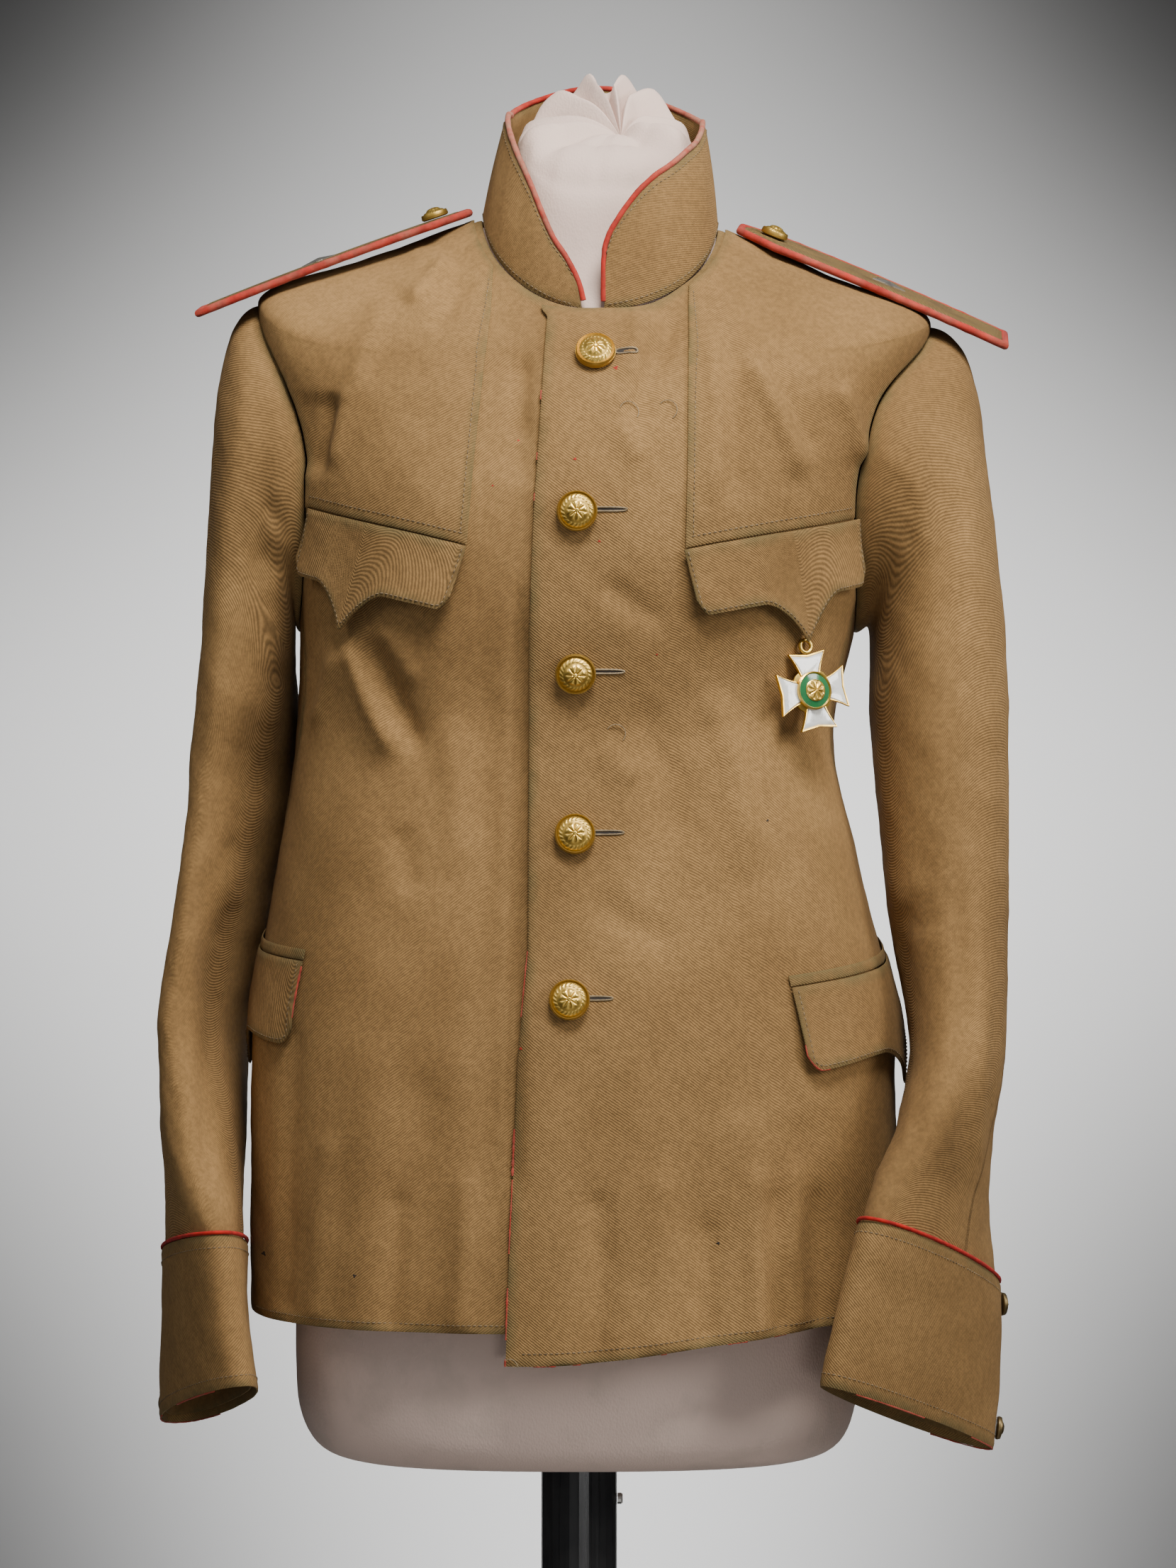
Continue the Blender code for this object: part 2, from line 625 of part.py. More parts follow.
def yoke_u(side, v):
    """The angle of a yoke's inner edge at ring v, carried on down below the yoke."""
    edge = YOKE_EDGE["left" if side > 0 else "right"][::-1]
    heights = [row.z for row in edge]
    edges = [row.x for row in edge]
    z = shell(side * YOKE_AT_U + 0 * v, v)[..., 2]
    return u_at(np.interp(z, heights, edges), v)


def front_columns(side):
    """The u and v grids of a front panel: one column follows the yoke's inner edge."""
    v = body_rows()[:, None]
    end = side * (front_limit(v) - gap_angle(front_limit(v), v))
    start = top_edge_u(v) if side > 0 else u_at(np.full(v.shape, UNDER_EDGE_X), v)
    yoke = yoke_u(side, v)
    open_share = np.linspace(0.0, 1.0, OPEN_COLUMNS + 1)[None, :-1]
    yoke_share = np.linspace(0.0, 1.0, YOKE_COLUMNS + 1)[None, :]
    u = np.concatenate([start + (yoke - start) * open_share, yoke + (end - yoke) * yoke_share], axis=1)
    return u, v + 0 * u


def make_front(name, side, material):
    """A front panel. The wearer's left lies on top, the other under it."""
    u, v = front_columns(side)
    outer = top_front(u, v) if side > 0 else cloth(u, v)
    add_wall(name, outer, CLOTH, material, facing=shell_normal(u, v))


def make_back(material):
    v = body_rows()[:, None]
    share = np.linspace(0.0, 1.0, BACK_COLUMNS + 1)[None, :]
    start = back_limit(v) + gap_angle(back_limit(v), v)
    end = 360.0 - back_limit(v) - gap_angle(-back_limit(v), v)
    u = start + (end - start) * share
    add_wall("back", cloth(u, v + 0 * share), CLOTH, material, facing=shell_normal(u, v))


def make_side(name, side, material):
    """A side panel, from the hem to the bottom of the armhole."""
    rows = body_rows()
    join = ARMPIT + SIDE_TOP * (TIP - ARMPIT)
    v = np.append(rows[rows < join - 0.02], join)[:, None]
    share = np.linspace(0.0, 1.0, SIDE_COLUMNS + 1)[None, :]
    start = front_limit(v) + gap_angle(front_limit(v), v)
    end = back_limit(v) - gap_angle(back_limit(v), v)
    u = start + (end - start) * share
    edge = armhole_v(u)
    top = np.minimum(edge[-1:], join) - SIDE_GAP
    share = ramp(ARMPIT - 1.5, join, v)
    v = v - (join - top) * share
    add_wall(name, cloth(side * u, v), CLOTH, material, facing=shell_normal(side * u, v))


def armhole_v(u):
    """The v of the armhole's lower edge at each angle, by bisection on its width."""
    away = np.abs(u - 90.0)
    low = np.full(u.shape, ARMPIT)
    high = np.full(u.shape, ARMPIT + 0.35 * (TIP - ARMPIT))
    for _ in range(30):
        middle = (low + high) / 2
        narrow = armhole(middle) < away
        low = np.where(narrow, middle, low)
        high = np.where(narrow, high, middle)
    return low


def cap_rings(side, sections, turn):
    """Rings of the sleeve's cap, from the armhole's edge to the first section of the arm."""
    start = armhole_ring(side, turn)
    away = side_facing(side, turn)
    end = section_ring(side, sections, 0.0, turn)
    down = unit(section_ring(side, sections, 0.05, turn) - end)
    rings = []
    for row in range(CAP_ROWS):
        t = (row / CAP_ROWS) ** 1.15
        rings.append(
            start * (2 * t**3 - 3 * t**2 + 1)
            + away * CAP_START[side] * (t**3 - 2 * t**2 + t)
            + end * (3 * t**2 - 2 * t**3)
            + down * CAP_END * (t**3 - t**2)
        )
    return rings


def armhole_ring(side, turn):
    """Where the sleeve starts: the armhole's edge, shrunk by a seam's gap."""
    v = ARMPIT + (TIP - ARMPIT) * (1 + np.cos(turn)) / 2
    front = np.sin(turn) >= 0
    u = np.where(front, 90.0 - armhole(v), 90.0 + armhole(v))
    points = cloth(side * u, v)
    middle = points.mean(axis=0)
    return points + unit(middle - points) * SEAM


def side_facing(side, turn):
    """The way the sleeve leaves the armhole: out from the body, and a little down."""
    v = ARMPIT + (TIP - ARMPIT) * (1 + np.cos(turn)) / 2
    front = np.sin(turn) >= 0
    u = np.where(front, 90.0 - armhole(v), 90.0 + armhole(v))
    facing = shell_normal(side * u, v)
    outward = np.zeros(facing.shape)
    outward[:, 0] = side
    top = np.clip(np.cos(turn), 0.0, 1.0)[:, None]
    under = np.clip(-np.cos(turn), 0.0, 1.0)[:, None]
    away = facing * (1 - top) + outward * top
    return unit(away) * (1.0 - 0.72 * under)


def section_ring(side, sections, step, turn):
    """A section of the sleeve. turn is 0 outside, a quarter turn in front."""
    part = {name: smooth([getattr(row, name) for row in sections], step) for name in Section._fields}
    twist = np.radians(part["twist"])
    to_front = np.array([-side * np.sin(twist), -np.cos(twist), 0.0])
    to_outside = np.array([side * np.cos(twist), -np.sin(twist), 0.0])
    outward = np.cos(turn)
    forward = np.sin(turn)
    fold = sleeve_fold(np.degrees(turn), part["z"])
    thick = part["thick"] + fold
    wide = part["wide"] + fold * 0.3
    middle = np.array([side * part["x"], part["y"], part["z"]])
    points = middle + np.outer(outward * thick, to_outside) + np.outer(forward * wide, to_front)
    points[:, 2] += forward * wide * part["lean"] + outward * thick * part["tilt"]
    return points


def sleeve_fold(turn, z):
    """Height of the sleeve's folds round a section at height z."""
    height = np.zeros(np.shape(turn))
    for fold in SLEEVE_FOLDS:
        along = np.clip((z - fold.z0) / (fold.z1 - fold.z0), 0.0, 1.0)
        centre = fold.round0 + (fold.round1 - fold.round0) * along
        beyond = (z - (fold.z0 + (fold.z1 - fold.z0) * along)) / 0.03
        away = (turn - centre) / fold.width
        height += fold.height * np.exp(-(away**2) - beyond**2)
    return height


def step_at(sections, z):
    """The fractional section whose middle is at height z."""
    low, high = 0.0, len(sections) - 1.0
    for _ in range(30):
        middle = (low + high) / 2
        if smooth([row.z for row in sections], middle) > z:
            low = middle
        else:
            high = middle
    return (low + high) / 2


def make_sleeve(name, side, sections, cloth_material, piping):
    """A sleeve with its turned-up cuff and the piping round the cuff's top."""
    end_z = sections[-1].z
    turn = np.arange(SLEEVE_ROUND) * 2 * np.pi / SLEEVE_ROUND
    cuff_steps = [step_at(sections, z) for z in np.linspace(end_z + CUFF_LENGTH, end_z, CUFF_ROWS + 1)]
    arm_steps = np.linspace(0.0, cuff_steps[0], ARM_ROWS)
    short = step_at(sections, end_z + SLEEVE_SHORT)
    steps = [*arm_steps, *cuff_steps[1:-1], short]
    tube = cap_rings(side, sections, turn) + [section_ring(side, sections, step, turn) for step in steps]
    add_wall(f"sleeve_{name}", np.array(tube), CLOTH, cloth_material, closed=True, flip=side)
    band = np.array([section_ring(side, sections, step, turn) for step in cuff_steps])
    facing = grid_facing(band, True) * side
    rim = band[0] + facing[0] * (LAID_ON * 2 + PIPING_RADIUS)
    rim[:, 2] += PIPING_RADIUS + SEAM
    add_piping(f"cuff_piping_{name}", rim, PIPING_RADIUS, piping, closed=True)
    band = band + facing * (LAID_ON + CLOTH)
    add_wall(f"cuff_{name}", band, CLOTH, cloth_material, closed=True, flip=side)
    return band


def make_cuff_buttons(name, band, material):
    """Two small buttons down the back edge of a cuff."""
    place_round = CUFF_BUTTON_ROUND / 360.0 * SLEEVE_ROUND
    low = int(place_round)
    part = place_round - low
    column = band[:, low] * (1 - part) + band[:, (low + 1) % SLEEVE_ROUND] * part
    side = np.sign(column[0, 0])
    facing = grid_facing(band, True)[:, low] * side
    for number, down in enumerate(CUFF_BUTTONS_DOWN, 1):
        point = column[0] + (column[-1] - column[0]) * down
        row = int(round(down * (len(column) - 1)))
        button = add_button(f"cuff_button_{name}_{number}", CUFF_BUTTON_RADIUS, CUFF_BUTTON_HEIGHT, material)
        place(button, point + facing[row] * CUFF_BUTTON_RISE, facing[row])


def collar_grid():
    """Outer points of the standing collar, from the neck seam up."""
    places = [row.u for row in COLLAR]
    u = np.array(sorted([*places, *COLLAR_BETWEEN]))
    seat = cloth(u, NECK, 0.0)
    seat[:, 2] += COLLAR_SEAT
    height = np.interp(u, places, [row.height for row in COLLAR])
    lean = np.interp(u, places, [row.lean for row in COLLAR])
    inward = np.stack([-np.sin(np.radians(u)), np.cos(np.radians(u)), 0 * u], axis=-1)
    rows = []
    for row in range(COLLAR_ROWS + 1):
        share = row / COLLAR_ROWS
        rise = np.stack([0 * u, 0 * u, height * share], axis=-1)
        rows.append(seat + rise + inward * (lean * share)[:, None])
    return np.array(rows)


def make_collar(cloth_material, piping):
    grid = collar_grid()
    add_wall("collar", grid, COLLAR_CLOTH, cloth_material)
    middle = grid[-1] - grid_facing(grid, False)[-1] * COLLAR_CLOTH / 2
    step = unit(np.diff(middle, axis=0))
    along = unit(np.concatenate([step[:1], step[1:] + step[:-1], step[-1:]]))
    stretch = 1 / np.sum(along[:-1] * step, axis=1)
    stretch = np.append(stretch, 1.0)[:, None]
    across = grid_facing(grid, False)[0]
    across[:2] = across[2]
    across[-2:] = across[-3]
    out = unit(np.cross(across, along))
    path = middle + out * stretch * (PIPING_RADIUS + CLEAR + COLLAR_PIPING_EASE)
    add_piping("collar_piping", path, PIPING_RADIUS, piping, closed=False)
    return grid


def flap_drop(share, flap):
    """How far the flap hangs at a share of its width: rounded corners, two dips and a tip."""
    away = np.abs(2 * share - 1)
    from_tip = 2 * np.abs(share - flap.tip_at)
    tip = (flap.tip - flap.dip) * np.clip(1 - from_tip / TIP_SPREAD, 0.0, 1.0) ** TIP_POINT
    corner = (flap.corner - flap.dip) * ramp(0.5, 0.9, away)
    rounding = CORNER_ROUND * np.clip((away - 1 + CORNER_SPREAD) / CORNER_SPREAD, 0.0, 1.0) ** 2
    return flap.dip + tip + corner - rounding


def seam_line(flap, share):
    """Places along a flap's top seam, even along the cloth."""
    fine = np.linspace(0.0, 1.0, 60)
    u = flap.u0 + (flap.u1 - flap.u0) * fine
    z = flap.z0 + (flap.z1 - flap.z0) * fine
    points = shell(u, v_at(u, z))
    run = np.concatenate([[0.0], np.cumsum(np.linalg.norm(np.diff(points, axis=0), axis=1))])
    return np.interp(share * run[-1], run, u), np.interp(share * run[-1], run, z), run[-1]


def hang(flap, share, drop):
    """The place drop below a flap's top seam, along the cloth and slanted as the flap is."""
    u, z, length = seam_line(flap, share)
    slope = (flap.z1 - flap.z0) / length + flap.slant
    point = shell(u, v_at(u, z))
    beside = shell(u + 0.5, v_at(u + 0.5, z))
    per_degree = np.linalg.norm(beside - point, axis=-1) * 2
    return u + drop * slope / per_degree, z - drop * math.sqrt(1 - slope**2)


def make_flap(name, flap, material):
    """A pocket flap laid on the front, springing off it towards its lower edge."""
    share = (1 - np.cos(np.linspace(0.0, np.pi, FLAP_COLUMNS + 1))) / 2
    share = 0.5 * share + 0.5 * np.linspace(0.0, 1.0, FLAP_COLUMNS + 1)
    drop = flap_drop(share, flap)
    rows = []
    for row in range(FLAP_ROWS + 1):
        down = row / FLAP_ROWS
        u, z = hang(flap, share, SEAM + (drop - SEAM) * down)
        rows.append(front_cloth(u, z, flap.lift + flap.spring * down**1.5))
    grid = np.array(rows)[::-1]
    add_wall(name, grid, FLAP_CLOTH, material)


def front_cloth(u, z, lift):
    """A point lift above whichever front panel lies there."""
    v = v_at(u, z)
    return cloth(u, v, lift + overlap_lift(u, v) * (u > 0))


def make_hip_welt(name, flap, material):
    """The narrow welt above a hip flap."""
    share = np.linspace(0.0, 1.0, FLAP_COLUMNS // 2 + 1)
    rows = []
    for rise in (SEAM, HIP_WELT):
        u, z = hang(flap, share, -rise)
        rows.append(front_cloth(u, z, WELT_LIFT))
    add_wall(name, np.array(rows), THIN_CLOTH, material)


def make_yoke(name, side, flap, material):
    """The chest yoke, from the shoulder seam and armhole down to the breast flap's seam."""
    u, v = front_columns(side)
    u = u[:, OPEN_COLUMNS:]
    v = v[:, OPEN_COLUMNS:]
    ends = sorted([(flap.u0, flap.z0), (flap.u1, flap.z1)])
    seam_z = np.interp(u, [ends[0][0], ends[1][0]], [ends[0][1], ends[1][1]])
    low = v_at(u, seam_z + SEAM)
    first = int(np.argmax(np.all(v > low + YOKE_FIRST_ROW, axis=1)))
    u = np.concatenate([u[first - 1 : first], u[first:-1], u[-1:]])
    v = np.concatenate([low[first - 1 : first], v[first:-1], v[-1:] - YOKE_NECK_INSET])
    u[:, -1] -= side * YOKE_INSET
    lift = YOKE_LIFT + (overlap_lift(u, v) if side > 0 else 0.0)
    add_wall(name, cloth(u, v, lift), THIN_CLOTH, material, facing=shell_normal(u, v))


def board_frame(board):
    """A board's middle line, its width and its upward direction."""
    inner = np.array([board.inner_x, 0.0, board.inner_z])
    outer = np.array([board.outer_x, 0.0, board.outer_z])
    along = unit(outer - inner)
    level = np.array([0.0, -1.0, 0.0])
    up = unit(np.cross(along, level) * np.sign(np.cross(along, level)[2]))
    tilt = math.radians(board.tilt)
    width = level * math.cos(tilt) - up * math.sin(tilt)
    facing = up * math.cos(tilt) + level * math.sin(tilt)
    return inner, outer, width, facing


def board_point(board, along, across, lift=0.0):
    """A point on a board's top: along runs from the inner end, across from back to front."""
    inner, outer, width, facing = board_frame(board)
    bulge = BOARD_ARCH * 4 * along * (1 - along)
    half = BOARD_WIDTH / 2 * (
        1 - (1 - BOARD_POINT_WIDTH) * np.clip(1 - along / BOARD_POINT, 0.0, 1.0)
    )
    point = inner + (outer - inner) * along + width * across * half
    return point + facing * (bulge + lift)


def make_board(name, board, cloth_material, piping, brass):
    """A stiff shoulder board with its piping and its small button."""
    stops = np.concatenate([[0.0, BOARD_POINT / 2], np.linspace(BOARD_POINT, 1.0, BOARD_COLUMNS - 1)])
    sides = np.linspace(-1.0, 1.0, BOARD_ROWS + 1)
    grid = np.array([[board_point(board, a, s) for a in stops] for s in sides])
    flip = np.sign(np.mean(grid_facing(grid, False)[..., 2]))
    add_wall(f"board_{name}", grid, BOARD_THICK, cloth_material, flip=flip)
    _, _, width, up = board_frame(board)
    path = rim_path(board, stops)
    add_piping(f"board_piping_{name}", path - up * BOARD_THICK * 0.5, BOARD_PIPING_RADIUS, piping, closed=True)
    button = add_button(f"board_button_{name}", SMALL_BUTTON_RADIUS, SMALL_BUTTON_HEIGHT, brass)
    spot = board_point(board, BOARD_BUTTON_AT, 0.0)
    ahead = board_point(board, BOARD_BUTTON_AT + 0.01, 0.0)
    lean = unit(np.cross(ahead - spot, width))
    lean = lean * np.sign(lean[2])
    place(button, spot + lean * BOARD_BUTTON_RISE, lean)


def rim_path(board, stops):
    """A line round a board, just outside its edge."""
    _, _, width, _ = board_frame(board)
    inner, outer = board_frame(board)[:2]
    along = unit(outer - inner)
    off = BOARD_PIPING_RADIUS + CLEAR + BOARD_PIPING_EASE
    back = [board_point(board, a, -1.0) - width * off for a in stops]
    front = [board_point(board, a, 1.0) + width * off for a in stops[::-1]]
    path = np.array(back + front)
    ends = [0, len(stops) - 1, len(stops), 2 * len(stops) - 1]
    for number in ends:
        inner_end = number in (0, 2 * len(stops) - 1)
        path[number] += along * off * (-1.0 if inner_end else 1.0)
    return path


def add_button(name, radius, height, material):
    """A domed button: flat back, rolled rim and a raised dome."""
    profile = [
        (radius * 0.86, 0.0),
        (radius, height * 0.22),
        (radius * 0.97, height * 0.42),
        (radius * 0.80, height * 0.72),
        (radius * 0.45, height * 0.95),
        (radius * 0.12, height),
    ]
    return add_turned(name, profile, BUTTON_SIDES, material)


def seat_rise(spot, reach, point, facing):
    """How far the cloth within reach of a place on the front stands above the place's plane."""
    turn = np.linspace(0.0, 2 * np.pi, SEAT_SAMPLES, endpoint=False)
    highest = 0.0
    for share in (0.5, 1.0):
        u, v = uv_at(spot.x + share * reach * np.cos(turn), spot.z + share * reach * np.sin(turn))
        highest = max(highest, float(np.max((top_front(u, v) - point) @ facing)))
    return highest


def make_front_buttons(material):
    """The closing buttons, each seated clear of the cloth under its rim."""
    for number, spot in enumerate(FRONT_BUTTONS, 1):
        u, v = uv_at(np.array(spot.x), np.array(spot.z))
        point = top_front(np.array([u]), np.array([v]))[0]
        facing = shell_normal(u, v)
        rise = seat_rise(spot, FRONT_BUTTON_RADIUS * BUTTON_SEAT, point, facing)
        button = add_button(f"front_button_{number}", FRONT_BUTTON_RADIUS, FRONT_BUTTON_HEIGHT, material)
        place(button, point + facing * (rise + SEAT_CLEAR), facing)


def badge_outline():
    """A cross of four flared arms, round its centre."""
    corners = []
    for arm in range(4):
        turn = arm * math.pi / 2
        for out, aside in ((BADGE_WAIST, -BADGE_WAIST), (BADGE_ARM, -BADGE_ARM_HALF),
                           (BADGE_ARM * 0.93, 0.0), (BADGE_ARM, BADGE_ARM_HALF)):
            corners.append((out * math.cos(turn) - aside * math.sin(turn),
                            out * math.sin(turn) + aside * math.cos(turn)))
    return corners


def make_badge(enamel, green, brass):
    """The breast badge: a cross, a raised round centre and a hanging loop."""
    turn = math.radians(BADGE_TURN)
    facing = unit(np.array([math.sin(turn), -math.cos(turn), BADGE_UPWARD]))
    u, v = uv_at(np.array(BADGE_SPOT.x), np.array(BADGE_SPOT.z))
    spot = cloth(u, v)
    spot = spot + facing * (seat_rise(BADGE_SPOT, BADGE_ARM, spot, facing) + SEAT_CLEAR)
    outline = badge_outline()
    rings = [[(x, y, z) for x, y in outline] for z in (0.0, BADGE_THICK)]
    cross = add_rings("badge_cross", rings, enamel)
    profile = [(BADGE_CENTRE, 0.0), (BADGE_CENTRE, BADGE_CENTRE_HEIGHT * 0.6),
               (BADGE_CENTRE * 0.75, BADGE_CENTRE_HEIGHT), (BADGE_CENTRE * 0.3, BADGE_CENTRE_HEIGHT * 1.3)]
    centre = add_turned("badge_centre", profile, BADGE_SIDES, green)
    angle = np.arange(BADGE_SIDES // 2) * 4 * np.pi / BADGE_SIDES
    ring = np.stack([BADGE_LOOP_RING * np.cos(angle), BADGE_LOOP_RING * np.sin(angle), 0 * angle], axis=-1)
    loop = add_piping("badge_loop", ring, BADGE_LOOP_WIRE, brass, closed=True)
    quat = Vector(map(float, facing)).to_track_quat("Z", "Y")
    quat = quat @ Quaternion((0.0, 0.0, 1.0), math.radians(BADGE_LEAN))
    upward = quat @ Vector((0.0, 1.0, 0.0))
    for thing, rise, up in ((cross, 0.0, 0.0), (centre, BADGE_THICK + CLEAR, 0.0),
                            (loop, BADGE_THICK, BADGE_ARM + BADGE_LOOP_RING - BADGE_LOOP_WIRE * 0.2)):
        thing.rotation_mode = "QUATERNION"
        thing.rotation_quaternion = quat
        thing.location = Vector(map(float, spot + facing * rise)) + upward * up


def make_hook_and_eye(grid, steel):
    """The wire hook and eye inside the collar's front ends."""
    for name, column, side in (("collar_eye", 3, 1.0), ("collar_hook", -4, -1.0)):
        point = grid[-2, column]
        turn = np.radians(np.linspace(-130.0, 130.0, 9))
        reach = np.stack([-side * HOOK_RADIUS * np.cos(turn), 0 * turn, HOOK_RADIUS * np.sin(turn)], axis=-1)
        back = point + np.array([-side * 0.0020, COLLAR_CLOTH + 0.0014, 0.0])
        add_piping(name, back + reach, HOOK_WIRE, steel, closed=False)


def make_form(material):
    """The dress form: rounded below, following the shell inside, with a slanted neck."""
    u = np.arange(FORM_SIDES) * 360.0 / FORM_SIDES
    rings = []
    for ring in FORM_BELOW:
        column = ring._asdict()
        rings.append(ring_point(column, u, ring.z_side, ring.z_side))
    for level, ease in enumerate(FORM_EASE):
        rings.append(shell(u, float(level)) - shell_normal(u, float(level)) * ease)
        if 5 <= level < 10:
            half = level + 0.5
            rings.append(shell(u, half) - shell_normal(u, half) * smooth(FORM_EASE, half))
    for ring in FORM_NECK:
        rings.append(ring_point(ring._asdict(), u, ring.z_side, ring.z_side))
    add_rings("form", rings, material)


def make_stand(black, steel):
    form_bottom = FORM_BELOW[0].z_front
    add_turned(
        "base_plate",
        [(BASE_RADIUS, 0.0), (BASE_RADIUS, BASE_THICK - BASE_EDGE), (BASE_RADIUS - BASE_EDGE, BASE_THICK)],
        BASE_SIDES, black,
    )
    add_turned(
        "pole", [(POLE_RADIUS, BASE_THICK + CLEAR), (POLE_RADIUS, form_bottom - CLEAR)], POLE_SIDES, black
    )
    screw = add_turned(
        "set_screw",
        [(SCREW_RADIUS, 0.0), (SCREW_RADIUS, SCREW_LENGTH * 0.7), (SCREW_RADIUS * 0.8, SCREW_LENGTH)],
        12, steel,
    )
    place(screw, (POLE_RADIUS + CLEAR, 0.0, SCREW_Z), (1.0, 0.0, 0.0))


def main():
    for thing in list(bpy.data.objects):
        bpy.data.objects.remove(thing, do_unlink=True)
    khaki = make_material("khaki_twill", (0.33, 0.21, 0.11), 0.85)
    galloon = make_material("board_galloon", (0.26, 0.17, 0.06), 0.7)
    red = make_material("red_piping", (0.60, 0.03, 0.02), 0.8)
    brass = make_material("gilt_brass", (0.80, 0.52, 0.14), 0.3, 1.0)
    dull = make_material("dull_brass", (0.30, 0.22, 0.10), 0.5, 1.0)
    steel = make_material("wire_steel", (0.45, 0.44, 0.42), 0.35, 1.0)
    cream = make_material("form_jersey", (0.72, 0.66, 0.57), 0.9)
    black = make_material("black_paint", (0.012, 0.012, 0.013), 0.35)
    enamel = make_material("white_enamel", (0.80, 0.80, 0.76), 0.2)
    green = make_material("green_enamel", (0.03, 0.20, 0.07), 0.2)

    make_back(khaki)
    for name, side, sections in (("left", 1.0, SLEEVE_LEFT), ("right", -1.0, SLEEVE_RIGHT)):
        make_front(f"front_{name}", side, khaki)
        make_side(f"side_{name}", side, khaki)
        band = make_sleeve(name, side, sections, khaki, red)
        make_cuff_buttons(name, band, dull)
        make_yoke(f"yoke_{name}", side, BREAST_FLAPS[name], khaki)
        make_flap(f"breast_flap_{name}", BREAST_FLAPS[name], khaki)
        make_flap(f"hip_flap_{name}", HIP_FLAPS[name], khaki)
        make_hip_welt(f"hip_welt_{name}", HIP_FLAPS[name], khaki)
        make_board(name, BOARDS[name], galloon, red, brass)
    grid = make_collar(khaki, red)
    make_hook_and_eye(grid, steel)
    make_front_buttons(brass)
    make_badge(enamel, green, brass)
    make_form(cream)
    make_stand(black, steel)


main()
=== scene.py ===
"""Looks of a khaki military tunic on a limbless dress form.

Metres, +Z up, chest facing -Y, +X the wearer's left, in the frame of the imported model. The
cloth pieces follow the same body shell as the solids, u degrees round it and v rings up it.
"""

from __future__ import annotations

import json
import logging
import math
from dataclasses import dataclass, field
from enum import Enum
from functools import partial
from typing import Callable, Protocol, Sequence

import bpy
import numpy as np
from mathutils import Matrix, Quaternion, Vector

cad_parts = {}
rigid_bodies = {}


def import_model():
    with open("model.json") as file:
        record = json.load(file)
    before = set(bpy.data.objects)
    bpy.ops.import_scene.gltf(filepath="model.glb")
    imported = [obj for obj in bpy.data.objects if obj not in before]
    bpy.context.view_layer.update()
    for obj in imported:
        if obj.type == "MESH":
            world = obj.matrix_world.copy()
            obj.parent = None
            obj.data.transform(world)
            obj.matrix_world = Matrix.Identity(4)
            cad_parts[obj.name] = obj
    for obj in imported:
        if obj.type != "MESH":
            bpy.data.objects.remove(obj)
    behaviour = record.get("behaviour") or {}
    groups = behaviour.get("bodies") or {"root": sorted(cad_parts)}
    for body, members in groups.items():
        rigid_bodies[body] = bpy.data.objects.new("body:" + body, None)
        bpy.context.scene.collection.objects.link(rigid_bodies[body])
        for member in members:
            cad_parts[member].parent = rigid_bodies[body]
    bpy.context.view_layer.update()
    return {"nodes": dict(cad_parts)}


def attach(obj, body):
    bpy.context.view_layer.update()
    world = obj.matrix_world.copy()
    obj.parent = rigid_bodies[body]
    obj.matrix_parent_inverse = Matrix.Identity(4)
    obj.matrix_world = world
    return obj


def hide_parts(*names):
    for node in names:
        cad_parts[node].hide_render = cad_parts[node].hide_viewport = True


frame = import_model()

Array = np.ndarray
Colour = tuple[float, float, float]
LOG = logging.getLogger("tunic")
ROOT = "root"
TWILL_SLOT = "khaki_twill"
SEAM = 0.0004
SMALLEST_CUT = 0.010
UP = np.array([0.0, 0.0, 1.0])


class Held(Enum):
    HUNG = "hung"
    STRETCHED = "stretched"
    LAID = "laid"


class Side(Enum):
    """The wearer's sides, with the sign of X."""

    LEFT = 1.0
    RIGHT = -1.0

    @property
    def label(self) -> str:
        """The side's word in node names."""
        return self.name.lower()


def smooth(values: Sequence[float], at: Array | float) -> Array:
    """Monotone cubic through values that stand at whole rows.

    Args:
        values: One value for each row.
        at: Fractional rows to read at.

    Returns:
        The value at each fractional row.
    """
    values = np.asarray(values, dtype=float)
    at = np.clip(np.asarray(at, dtype=float), 0.0, len(values) - 1.0)
    row = np.minimum(at.astype(int), len(values) - 2)
    t = at - row
    steps = np.diff(values)
    slopes = np.zeros(len(values))
    slopes[0] = steps[0]
    slopes[-1] = steps[-1]
    product = steps[1:] * steps[:-1]
    total = np.where(product > 0, steps[1:] + steps[:-1], 1.0)
    slopes[1:-1] = np.where(product > 0, 2 * product / total, 0.0)
    return (
        values[row] * (2 * t**3 - 3 * t**2 + 1)
        + slopes[row] * (t**3 - 2 * t**2 + t)
        + values[row + 1] * (3 * t**2 - 2 * t**3)
        + slopes[row + 1] * (t**3 - t**2)
    )


def ramp(low: float, high: float, value: Array | float) -> Array:
    """Smooth step from 0 at low to 1 at high."""
    t = np.clip((value - low) / (high - low), 0.0, 1.0)
    return t * t * (3 - 2 * t)


def unit(vectors: Array) -> Array:
    """Vectors scaled to length 1."""
    return vectors / np.maximum(np.linalg.norm(vectors, axis=-1, keepdims=True), 1e-12)


def run_along(points: Array) -> Array:
    """Running length along a path of points, from 0."""
    return np.concatenate([[0.0], np.cumsum(np.linalg.norm(np.diff(points, axis=0), axis=1))])


def read_along(run: Array, rows: Array, at: Array) -> Array:
    """Rows of a path read at given lengths.

    Args:
        run: Running length at each row.
        rows: One point or direction for each row.
        at: Lengths to read at.

    Returns:
        One row for each length.
    """
    return np.stack([np.interp(at, run, rows[:, k]) for k in range(3)], axis=-1)


def rolled(count: int, edge: float = 0.004) -> Array:
    """Shares from 0 to 1, even but for one narrow step at each end for a rolled edge."""
    return np.concatenate([[0.0, edge * 0.4], np.linspace(edge, 1 - edge, count - 4), [1 - edge * 0.4, 1.0]])


